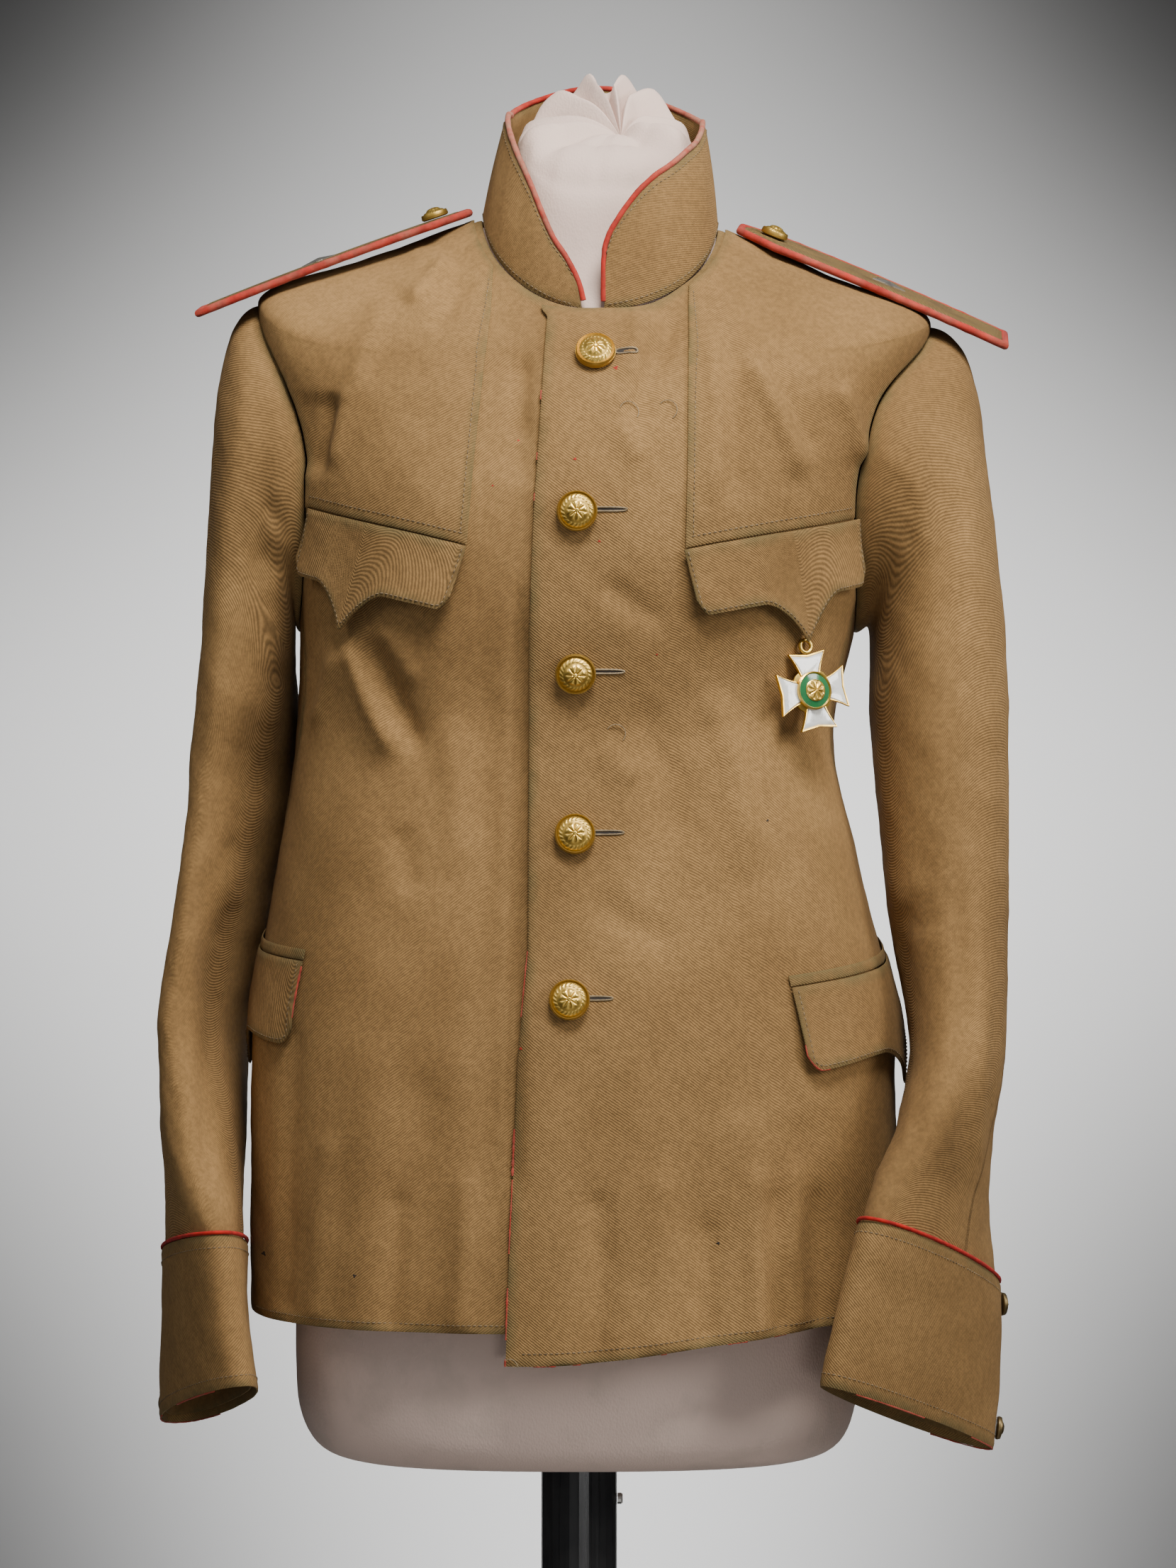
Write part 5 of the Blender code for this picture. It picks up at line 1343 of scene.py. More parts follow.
@dataclass
class BodyPanels:
    """The fronts, sides, back and chest yokes of the tunic."""

    finishes: Finishes
    threads: ThreadRuns
    rows: int = 230
    front_columns: int = 84
    back_columns: int = 116
    side_columns: int = 22
    cloth: float = 0.0018
    yoke_cloth: float = 0.0011
    yoke_lift: float = 0.0018
    yoke_inset: float = 1.07
    yoke_neck_inset: float = 0.06
    yoke_at_u: float = 28.0
    yoke_middle: int = 28
    yoke_stitch: float = 0.0070
    yoke_z: tuple[float, ...] = (0.820, 0.862, 0.950, 0.978)
    yoke_x: dict[Side, tuple[float, ...]] = field(
        default_factory=lambda: {
            Side.LEFT: (0.0575, 0.0585, 0.0600, 0.0615),
            Side.RIGHT: (-0.0600, -0.0566, -0.0478, -0.0450),
        }
    )

    def build(self) -> None:
        """Makes every panel."""
        for side in Side:
            self.front(side)
            self.side_panel(side)
            self.yoke(side)
        self.back()
        self.hem_stitches()

    def front_grid(self, side: Side) -> tuple[Array, Array]:
        """Angles and rings of a front panel."""
        v = (rolled(self.rows) * SHELL.neck)[:, None]
        limit = SHELL.side_limit(v, -1.0)
        end = side.value * (limit - SHELL.gap_angle(limit, v))
        if side is Side.LEFT:
            start = SHELL.top_edge_u(v)
        else:
            start = SHELL.u_at(np.full(v.shape, SHELL.under_edge_x), v)
        share = rolled(self.front_columns, 0.008)[None, :]
        return start + (end - start) * share, v + 0 * share

    def front(self, side: Side) -> None:
        """A front panel. The wearer's left lies on top."""
        u, v = self.front_grid(side)
        outer = SHELL.top_front(u, v) if side is Side.LEFT else SHELL.cloth(u, v)
        wall = Wall(f"front_{side.label}", outer, self.cloth, SHELL.normals(u, v), flip=side.value)
        cloth_piece(wall, self.finishes.twill, Held.HUNG)

    def back(self) -> None:
        """The back in one piece."""
        v = (rolled(self.rows) * SHELL.neck)[:, None]
        limit = SHELL.side_limit(v, 1.0)
        start = limit + SHELL.gap_angle(limit, v)
        end = 360.0 - limit - SHELL.gap_angle(-limit, v)
        u = start + (end - start) * rolled(self.back_columns, 0.006)[None, :]
        v = v + 0 * u
        wall = Wall("back", SHELL.cloth(u, v), self.cloth, SHELL.normals(u, v))
        cloth_piece(wall, self.finishes.twill, Held.HUNG)

    def side_panel(self, side: Side) -> None:
        """A side panel, from the hem to the bottom of the armhole."""
        v = (rolled(150) * SHELL.join)[:, None]
        front = SHELL.side_limit(v, -1.0)
        back = SHELL.side_limit(v, 1.0)
        start = front + SHELL.gap_angle(front, v)
        end = back - SHELL.gap_angle(back, v)
        u = start + (end - start) * rolled(self.side_columns, 0.03)[None, :]
        top = np.minimum(SHELL.armhole_v(u)[-1:], SHELL.join) - SHELL.side_gap
        v = v - (SHELL.join - top) * ramp(SHELL.armpit - 1.5, SHELL.join, v)
        outer = SHELL.cloth(side.value * u, v)
        wall = Wall(
            f"side_{side.label}", outer, self.cloth, SHELL.normals(side.value * u, v), flip=side.value
        )
        cloth_piece(wall, self.finishes.twill, Held.HUNG)

    def yoke_grid(self, side: Side, columns: int, rows: int) -> tuple[Array, Array]:
        """Angles and rings of a chest yoke, down to the breast flap's seam."""
        flap = BREAST_FLAPS[side]
        ends = sorted([(flap.u0, flap.z0), (flap.u1, flap.z1)])
        share = rolled(columns, 0.02)[None, :]
        lift = rolled(rows, 0.012)[:, None]
        v = np.full((rows, columns), 8.0)
        top = SHELL.neck - self.yoke_neck_inset
        for _ in range(9):
            z = SHELL.points(side.value * self.yoke_at_u + 0 * v, v)[..., 2]
            inner = SHELL.u_at(np.interp(z, self.yoke_z, self.yoke_x[side]), v)
            limit = SHELL.side_limit(v, -1.0)
            end = side.value * (limit - SHELL.gap_angle(limit, v) - self.yoke_inset)
            u = inner + (end - inner) * share
            seam = np.interp(u[:1], [ends[0][0], ends[1][0]], [ends[0][1], ends[1][1]])
            low = SHELL.v_at(u[:1], seam + SEAM)
            v = low + (top - low) * lift
        return u, v

    def yoke(self, side: Side) -> None:
        """The chest yoke with its topstitched edge."""
        u, v = self.yoke_grid(side, 56, 86)
        raise_by = self.yoke_lift + (SHELL.overlap(u, v) if side is Side.LEFT else 0.0)
        outer = SHELL.cloth(u, v, raise_by)
        facing = SHELL.normals(u, v)
        wall = Wall(f"yoke_{side.label}", outer, self.yoke_cloth, facing, flip=side.value)
        cloth_piece(wall, self.finishes.twill, Held.LAID)
        self.threads.add(outer[3:-3, 3], facing[3:-3, 3])
        up = wall.spans()[1]
        row = int(np.argmin(np.abs(up[:, self.yoke_middle] - self.yoke_stitch)))
        self.threads.add(outer[row, 2:-2], facing[row, 2:-2])

    def hem_stitches(self) -> None:
        """The rows of stitches along the hem, across the fronts and the back."""
        rise = 0.07
        for low, high, cloth in ((-74.0, -16.0, SHELL.cloth), (-13.0, 84.0, SHELL.top_front)):
            u = np.linspace(low, high, 120)
            v = np.full(u.shape, rise)
            self.threads.add(cloth(u, v), SHELL.normals(u, v))
        u = np.linspace(128.0, 232.0, 120)
        self.threads.add(SHELL.cloth(u, 0 * u + rise), SHELL.normals(u, 0 * u + rise))


@dataclass(frozen=True)
class Section:
    """A section down a sleeve, measured on the wearer's left."""

    z: float
    x: float
    y: float
    wide: float
    thick: float
    twist: float
    lean: float
    tilt: float


SLEEVES = {
    Side.LEFT: (
        Section(0.808, 0.1973, -0.002, 0.0660, 0.0333, 0.0, 0.00, 1.58),
        Section(0.745, 0.2023, -0.002, 0.0660, 0.0383, 0.0, 0.00, 0.50),
        Section(0.680, 0.2048, -0.006, 0.0640, 0.0368, 0.0, 0.00, 0.10),
        Section(0.610, 0.2074, -0.016, 0.0630, 0.0329, 2.0, 0.06, 0.00),
        Section(0.550, 0.2108, -0.034, 0.0640, 0.0273, 6.0, 0.14, 0.00),
        Section(0.500, 0.2026, -0.056, 0.0670, 0.0250, 12.0, 0.24, 0.00),
        Section(0.460, 0.1940, -0.075, 0.0690, 0.0220, 25.0, 0.31, 0.00),
        Section(0.430, 0.1915, -0.085, 0.0700, 0.0200, 32.0, 0.34, 0.00),
        Section(0.388, 0.1860, -0.090, 0.0705, 0.0180, 38.0, 0.34, 0.00),
        Section(0.345, 0.1790, -0.093, 0.0710, 0.0175, 41.0, 0.34, 0.00),
    ),
    Side.RIGHT: (
        Section(0.815, 0.1833, -0.002, 0.0660, 0.0233, 0.0, 0.00, 2.50),
        Section(0.750, 0.1855, 0.000, 0.0660, 0.0248, -8.0, 0.00, 0.60),
        Section(0.690, 0.1874, 0.005, 0.0660, 0.0200, -18.0, 0.00, 0.10),
        Section(0.615, 0.1992, -0.002, 0.0660, 0.0168, -16.0, 0.04, 0.00),
        Section(0.550, 0.2097, -0.012, 0.0670, 0.0152, -13.0, 0.08, 0.00),
        Section(0.490, 0.2095, -0.026, 0.0685, 0.0220, -3.0, 0.13, 0.00),
        Section(0.440, 0.2080, -0.040, 0.0695, 0.0212, 8.0, 0.18, 0.00),
        Section(0.390, 0.2085, -0.038, 0.0700, 0.0190, 14.0, 0.25, 0.00),
        Section(0.345, 0.2060, -0.038, 0.0700, 0.0190, 19.0, 0.27, 0.00),
    ),
}
# Folds that the sleeves' solids carry: place round the sleeve, height, then width and depth
SLEEVE_FOLDS = (
    (60.0, 0.860, 62.0, 0.480, 16.0, 0.0025),
    (100.0, 0.640, 150.0, 0.600, 20.0, -0.0025),
    (95.0, 0.590, 140.0, 0.625, 18.0, 0.0020),
    (250.0, 0.680, 300.0, 0.600, 24.0, -0.0020),
)
SLEEVE_CREASES = {
    Side.RIGHT: (
        Crease(
            ((-0.181, 0.935), (-0.184, 0.899), (-0.191, 0.847), (-0.199, 0.761), (-0.203, 0.692)),
            0.0065, 0.0022,
        ),
        Crease(((-0.170, 0.900), (-0.174, 0.840), (-0.180, 0.790)), 0.0060, -0.0014),
        Crease(((-0.172, 0.845), (-0.160, 0.830)), 0.0050, -0.0014),
        Crease(((-0.174, 0.832), (-0.158, 0.818)), 0.0050, 0.0014),
        Crease(((-0.176, 0.818), (-0.164, 0.805)), 0.0050, -0.0012),
        Crease(((-0.208, 0.627), (-0.204, 0.564), (-0.202, 0.490), (-0.200, 0.456)), 0.0050, -0.0016),
        Crease(((-0.216, 0.640), (-0.214, 0.560), (-0.214, 0.480)), 0.0060, 0.0014),
        Crease(((-0.190, 0.660), (-0.200, 0.640), (-0.214, 0.632)), 0.0050, -0.0012),
    ),
    Side.LEFT: (
        Crease(((0.214, 0.847), (0.213, 0.760), (0.211, 0.692)), 0.0070, 0.0016),
        Crease(((0.216, 0.645), (0.219, 0.560), (0.219, 0.460)), 0.0060, 0.0020),
        Crease(((0.208, 0.650), (0.209, 0.560), (0.208, 0.480)), 0.0055, -0.0014),
        Crease(((0.182, 0.888), (0.187, 0.850), (0.190, 0.812)), 0.0060, 0.0018),
        Crease(((0.192, 0.885), (0.198, 0.850), (0.201, 0.800)), 0.0060, -0.0012),
        Crease(((0.178, 0.622), (0.186, 0.612), (0.198, 0.616)), 0.0050, -0.0016),
        Crease(((0.180, 0.636), (0.192, 0.630), (0.206, 0.640)), 0.0055, 0.0012),
        Crease(((0.172, 0.560), (0.182, 0.520), (0.186, 0.480)), 0.0060, -0.0012),
    ),
}
SLEEVE_BACK_CREASES = {
    Side.RIGHT: (
        Crease(((-0.176, 0.900), (-0.186, 0.840), (-0.190, 0.780)), 0.0060, 0.0014),
        Crease(((-0.186, 0.700), (-0.200, 0.650), (-0.196, 0.600)), 0.0060, -0.0014),
        Crease(((-0.206, 0.660), (-0.190, 0.630)), 0.0050, 0.0014),
    ),
    Side.LEFT: (
        Crease(((0.188, 0.900), (0.196, 0.840), (0.204, 0.780)), 0.0060, 0.0014),
        Crease(((0.196, 0.690), (0.212, 0.650), (0.206, 0.600)), 0.0060, -0.0014),
        Crease(((0.220, 0.660), (0.202, 0.625)), 0.0050, 0.0014),
    ),
}


@dataclass
class Sleeve:
    """A sleeve with its turned-up cuff, piping and cuff buttons."""

    side: Side
    finishes: Finishes
    threads: ThreadRuns
    around: int = 132
    cap_rows: int = 46
    arm_rows: int = 150
    cap_starts: tuple[float, float] = (0.085, 0.060)
    cap_end: float = 0.110
    cuff_length: float = 0.088
    short: float = 0.004
    cloth: float = 0.0018
    laid_on: float = 0.0004
    piping_radius: float = 0.0011
    button_radius: float = 0.0065
    button_height: float = 0.0045
    button_round: float = 285.0
    buttons_down: tuple[float, ...] = (0.12, 0.86)

    @property
    def sections(self) -> tuple[Section, ...]:
        """This side's sections."""
        return SLEEVES[self.side]

    def step_at(self, z: float) -> float:
        """The fractional section whose middle is at height z."""
        low, high = 0.0, len(self.sections) - 1.0
        heights = [row.z for row in self.sections]
        for _ in range(30):
            middle = (low + high) / 2
            low, high = (middle, high) if smooth(heights, middle) > z else (low, middle)
        return (low + high) / 2

    def armhole_places(self, turn: Array) -> tuple[Array, Array]:
        """Angles and rings of the armhole's edge, turn 0 below and half a turn at the top."""
        v = SHELL.armpit + (SHELL.tip - SHELL.armpit) * (1 + np.cos(turn)) / 2
        way = np.where(np.sin(turn) >= 0, -1.0, 1.0)
        return self.side.value * (90.0 + way * SHELL.armhole(v)), v

    def cap(self, turn: Array) -> list[Array]:
        """Rings of the sleeve head, from the armhole to the arm's first section."""
        u, v = self.armhole_places(turn)
        start = SHELL.cloth(u, v)
        start = start + unit(start.mean(axis=0) - start) * SEAM
        facing = SHELL.normals(u, v)
        outward = np.zeros(facing.shape)
        outward[:, 0] = self.side.value
        top = np.clip(np.cos(turn), 0.0, 1.0)[:, None]
        under = np.clip(-np.cos(turn), 0.0, 1.0)[:, None]
        away = unit(facing * (1 - top) + outward * top) * (1.0 - 0.72 * under)
        end = self.ring(0.0, turn)
        down = unit(self.ring(0.05, turn) - end)
        rings = []
        for row in range(self.cap_rows):
            t = (row / self.cap_rows) ** 1.15
            rings.append(
                start * (2 * t**3 - 3 * t**2 + 1)
                + away * self.cap_starts[self.side is Side.RIGHT] * (t**3 - 2 * t**2 + t)
                + end * (3 * t**2 - 2 * t**3)
                + down * self.cap_end * (t**3 - t**2)
            )
        return rings

    def fold(self, turn: Array, z: float) -> Array:
        """Height of the solid's folds round a section."""
        height = np.zeros(np.shape(turn))
        for round0, z0, round1, z1, width, depth in SLEEVE_FOLDS:
            along = np.clip((z - z0) / (z1 - z0), 0.0, 1.0)
            beyond = (z - (z0 + (z1 - z0) * along)) / 0.03
            away = (turn - (round0 + (round1 - round0) * along)) / width
            height += depth * np.exp(-(away**2) - beyond**2)
        return height

    def ring(self, step: float, turn: Array) -> Array:
        """A section of the arm.

        Args:
            step: Fractional section, from 0 at the top.
            turn: Angles round it, 0 outside and a quarter turn in front.

        Returns:
            The ring's points.
        """
        part = {
            name: float(smooth([getattr(row, name) for row in self.sections], step))
            for name in ("z", "x", "y", "wide", "thick", "twist", "lean", "tilt")
        }
        twist = math.radians(part["twist"])
        to_front = np.array([-self.side.value * math.sin(twist), -math.cos(twist), 0.0])
        to_outside = np.array([self.side.value * math.cos(twist), -math.sin(twist), 0.0])
        outward = np.cos(turn)
        forward = np.sin(turn)
        fold = self.fold(np.degrees(turn), part["z"])
        thick = part["thick"] + fold
        wide = part["wide"] + fold * 0.3
        middle = np.array([self.side.value * part["x"], part["y"], part["z"]])
        points = middle + np.outer(outward * thick, to_outside) + np.outer(forward * wide, to_front)
        points[:, 2] += forward * wide * part["lean"] + outward * thick * part["tilt"]
        return points

    def creased(self, grid: Array, share: float) -> Array:
        """A grid with the smaller creases laid into it."""
        facing = Wall("", grid, 0.0, closed=True, flip=self.side.value).grid_facing()
        height = crease_height(grid, facing, SLEEVE_CREASES[self.side], SLEEVE_BACK_CREASES[self.side])
        height += 0.0006 * wander(grid, 0.060, 2.0 + self.side.value) + 0.00025 * wander(grid, 0.022, 5.0)
        hold = ramp(0.0, 0.03, np.linalg.norm(grid - grid[:1], axis=-1))
        return grid + facing * (height * hold * share)[..., None]

    def build(self) -> None:
        """Makes the sleeve, its cuff and what is on the cuff."""
        label = self.side.label
        turn = np.arange(self.around) * 2 * np.pi / self.around
        end_z = self.sections[-1].z
        cuff_top = self.step_at(end_z + self.cuff_length)
        short = self.step_at(end_z + self.short)
        arm = np.linspace(0.0, short, self.arm_rows)
        tube_rows = self.cap(turn) + [self.ring(step, turn) for step in arm]
        grid = self.creased(np.array(tube_rows), 1.0)
        cuff_steps = np.linspace(cuff_top, len(self.sections) - 1.0, 40)
        band = np.array([self.ring(step, turn) for step in cuff_steps])
        facing = Wall("", band, 0.0, closed=True, flip=self.side.value).grid_facing()
        wall = Wall(f"sleeve_{label}", grid, self.cloth, closed=True, flip=self.side.value)
        cloth_piece(wall, self.finishes.twill, Held.HUNG)
        self.piping(band[0] + facing[0] * (self.laid_on * 2 + self.piping_radius))
        uneven = 0.0005 * wander(band, 0.045, 6.0 + self.side.value)[..., None]
        band = band + facing * (self.laid_on + self.cloth + 0.0002 + np.maximum(uneven, -0.0002))
        cuff = Wall(f"cuff_{label}", band, self.cloth, closed=True, flip=self.side.value)
        cloth_piece(cuff, self.finishes.twill, Held.LAID)
        for row in (3, 36):
            loop = np.concatenate([band[row], band[row, :1]])
            self.threads.add(loop, np.concatenate([facing[row], facing[row, :1]]))
        self.buttons(band, facing)
        self.worn_edge(band, facing)

    def piping(self, rim: Array) -> None:
        """The red cord round the cuff's top."""
        rim = rim.copy()
        rim[:, 2] += self.piping_radius + SEAM
        piping_piece(f"cuff_piping_{self.side.label}", rim, self.piping_radius, self.finishes, closed=True)

    def worn_edge(self, band: Array, facing: Array) -> None:
        """Rubbed red cord that peeps out under the cuff's lower edge."""
        low = band[-1] - facing[-1] * self.cloth * 0.5
        low[:, 2] -= 0.0004
        for start, end in ((0.03, 0.17), (0.60, 0.93)):
            first, last = int(start * self.around), int(end * self.around)
            path = low[first:last]
            swell = 0.00065 * (0.55 + 0.45 * np.abs(wander(path, 0.012, 3.0)))
            points, faces = tube(path, swell, 6)
            piece = plain_mesh(f"cuff_red_edge_{self.side.label}_{first}", points, faces)
            mark_points(piece, "fade", 0.35)
            settle(piece, self.finishes.piping, "red_piping")

    def buttons(self, band: Array, facing: Array) -> None:
        """Two small buttons down the cuff's back edge."""
        column = int(self.button_round / 360.0 * self.around)
        for number, down in enumerate(self.buttons_down, 1):
            row = int(round(down * (len(band) - 1)))
            node = f"cuff_button_{self.side.label}_{number}"
            button = Button(node, self.button_radius, self.button_height)
            button.place(band[row, column] + facing[row, column] * 0.0006, facing[row, column])
            button.dress(self.finishes.brass, "dull_brass")


def mark_points(piece: bpy.types.Object, name: str, value: Array | float) -> None:
    """Writes a float attribute on a mesh's points."""
    count = len(piece.data.vertices)
    mark = piece.data.attributes.new(name, "FLOAT", "POINT")
    mark.data.foreach_set("value", np.broadcast_to(value, (count,)).astype(np.float32))


def piping_piece(
    node: str, path: Array, radius: float, finishes: Finishes, closed: bool, fade: Array | float = 0.0
) -> bpy.types.Object:
    """A red cord that stands for its solid, a little uneven.

    Args:
        node: The CAD node.
        path: Its middle line.
        radius: Its radius.
        finishes: The scene's materials.
        closed: Whether it is a loop.
        fade: How rubbed it is at each point of the path.

    Returns:
        The new object.
    """
    sides = 10
    swell = radius * (1.0 + 0.08 * wander(path, 0.006, 2.0))
    points, faces = tube(path, swell, sides, closed)
    piece = plain_mesh(f"{node}_cord", points, faces, 60.0)
    mark_points(piece, "fade", np.repeat(np.broadcast_to(fade, (len(path),)), sides))
    return settle(piece, finishes.piping, "red_piping", node)


@dataclass(frozen=True)
class FlapCut:
    """A pocket flap: the ends of its top seam and how far its edge hangs."""

    u0: float
    z0: float
    u1: float
    z1: float
    corner: float
    dip: float
    tip: float
    lift: float
    spring: float
    slant: float = 0.0
    tip_at: float = 0.5

    def seam(self, share: Array) -> tuple[Array, Array, float]:
        """Angles and heights along the top seam, even along the cloth, and its length."""
        fine = np.linspace(0.0, 1.0, 60)
        u = self.u0 + (self.u1 - self.u0) * fine
        z = self.z0 + (self.z1 - self.z0) * fine
        run = run_along(SHELL.points(u, SHELL.v_at(u, z)))
        return np.interp(share * run[-1], run, u), np.interp(share * run[-1], run, z), float(run[-1])

    def hang(self, share: Array, drop: Array) -> tuple[Array, Array]:
        """The place drop below the seam, square to it along the cloth."""
        u, z, length = self.seam(share)
        slope = (self.z1 - self.z0) / length + self.slant
        point = SHELL.points(u, SHELL.v_at(u, z))
        beside = SHELL.points(u + 0.5, SHELL.v_at(u + 0.5, z))
        per_degree = np.linalg.norm(beside - point, axis=-1) * 2
        return u + drop * slope / per_degree, z - drop * math.sqrt(1 - slope**2)


BREAST_FLAPS = {
    Side.RIGHT: FlapCut(-62.5, 0.8415, -26.5, 0.8185, 0.037, 0.037, 0.062, 0.0040, 0.0050, -0.12, 0.44),
    Side.LEFT: FlapCut(25.0, 0.8165, 66.0, 0.8365, 0.037, 0.037, 0.062, 0.0040, 0.0035, 0.10, 0.54),
}
HIP_FLAPS = {
    Side.RIGHT: FlapCut(-119.0, 0.6080, -60.0, 0.5935, 0.046, 0.044, 0.070, 0.0028, 0.0008),
    Side.LEFT: FlapCut(46.5, 0.5800, 112.0, 0.6030, 0.046, 0.044, 0.070, 0.0032, 0.0030),
}


@dataclass
class PocketFlap:
    """A flap with pointed lower edge, edge stitch and a slight curl."""

    name: str
    cut: FlapCut
    finishes: Finishes
    threads: ThreadRuns
    cloth: float = 0.0020
    columns: int = 84
    rows: int = 40
    tip_spread: float = 0.44
    corner_spread: float = 0.08
    corner_round: float = 0.009
    red_edge: tuple[tuple[float, float], ...] = ()

    def drop(self, share: Array) -> Array:
        """How far the flap hangs at a share of its width."""
        cut = self.cut
        away = np.abs(2 * share - 1)
        from_tip = 2 * np.abs(share - cut.tip_at)
        tip = (cut.tip - cut.dip) * np.clip(1 - from_tip / self.tip_spread, 0.0, 1.0) ** 1.6
        corner = (cut.corner - cut.dip) * ramp(0.5, 0.9, away)
        near = np.clip((away - 1 + self.corner_spread) / self.corner_spread, 0.0, 1.0)
        return cut.dip + tip + corner - self.corner_round * near**2

    def place(self, share: Array, down: Array) -> Array:
        """Points of the flap's outer side.

        Args:
            share: Shares of its width.
            down: Shares of its drop.

        Returns:
            The points.
        """
        u, z = self.cut.hang(share, SEAM + (self.drop(share) - SEAM) * down)
        wave = 0.0007 * np.sin(share * 9.0 + self.cut.u0) * down**2
        return SHELL.front_cloth(u, z, self.cut.lift + self.cut.spring * down**1.5 + wave)

    def build(self) -> None:
        """Makes the flap and its edge stitch."""
        share = rolled(self.columns, 0.010)
        share = 0.35 * (1 - np.cos(share * np.pi)) / 2 + 0.65 * share
        down = rolled(self.rows, 0.022)[::-1]
        grid = np.array([self.place(share, np.full(share.shape, part)) for part in down])
        wall = Wall(self.name, grid, self.cloth)
        cloth_piece(
            wall, self.finishes.twill, Held.HUNG
        )
        facing = wall.grid_facing()
        inset = 3
        low = grid[inset, inset:-inset]
        self.threads.add(low, facing[inset, inset:-inset])
        for column in (inset, -inset - 1):
            self.threads.add(grid[inset:-2, column], facing[inset:-2, column])
        for number, (start, end) in enumerate(self.red_edge):
            self.worn(grid, facing, start, end, number)

    def worn(self, grid: Array, facing: Array, start: float, end: float, number: int) -> None:
        """Rubbed red cord along a stretch of the flap's free edge."""
        loop = np.concatenate([grid[::-1, 0], grid[0, 1:], grid[1:, -1]])
        normal = np.concatenate([facing[::-1, 0], facing[0, 1:], facing[1:, -1]])
        first, last = int(start * len(loop)), int(end * len(loop))
        path = loop[first:last] - normal[first:last] * self.cloth * 0.5
        swell = 0.0008 * (0.5 + 0.5 * np.abs(wander(path, 0.014, 1.0 + number)))
        points, faces = tube(path, swell, 6)
        piece = plain_mesh(f"{self.name}_red_edge_{number}", points, faces)
        mark_points(piece, "fade", 0.3)
        settle(piece, self.finishes.piping, "red_piping")


@dataclass
class HipWelt:
    """The narrow welt above a hip flap."""

    side: Side
    finishes: Finishes
    height: float = 0.006
    lift: float = 0.0020
    cloth: float = 0.0011

    def build(self) -> None:
        """Makes the welt."""
        cut = HIP_FLAPS[self.side]
        share = rolled(70, 0.01)
        rows = []
        for rise in SEAM + (self.height - SEAM) * rolled(10, 0.08):
            u, z = cut.hang(share, np.full(share.shape, -rise))
            rows.append(SHELL.front_cloth(u, z, self.lift))
        wall = Wall(f"hip_welt_{self.side.label}", np.array(rows), self.cloth)
        cloth_piece(wall, self.finishes.twill, Held.LAID)


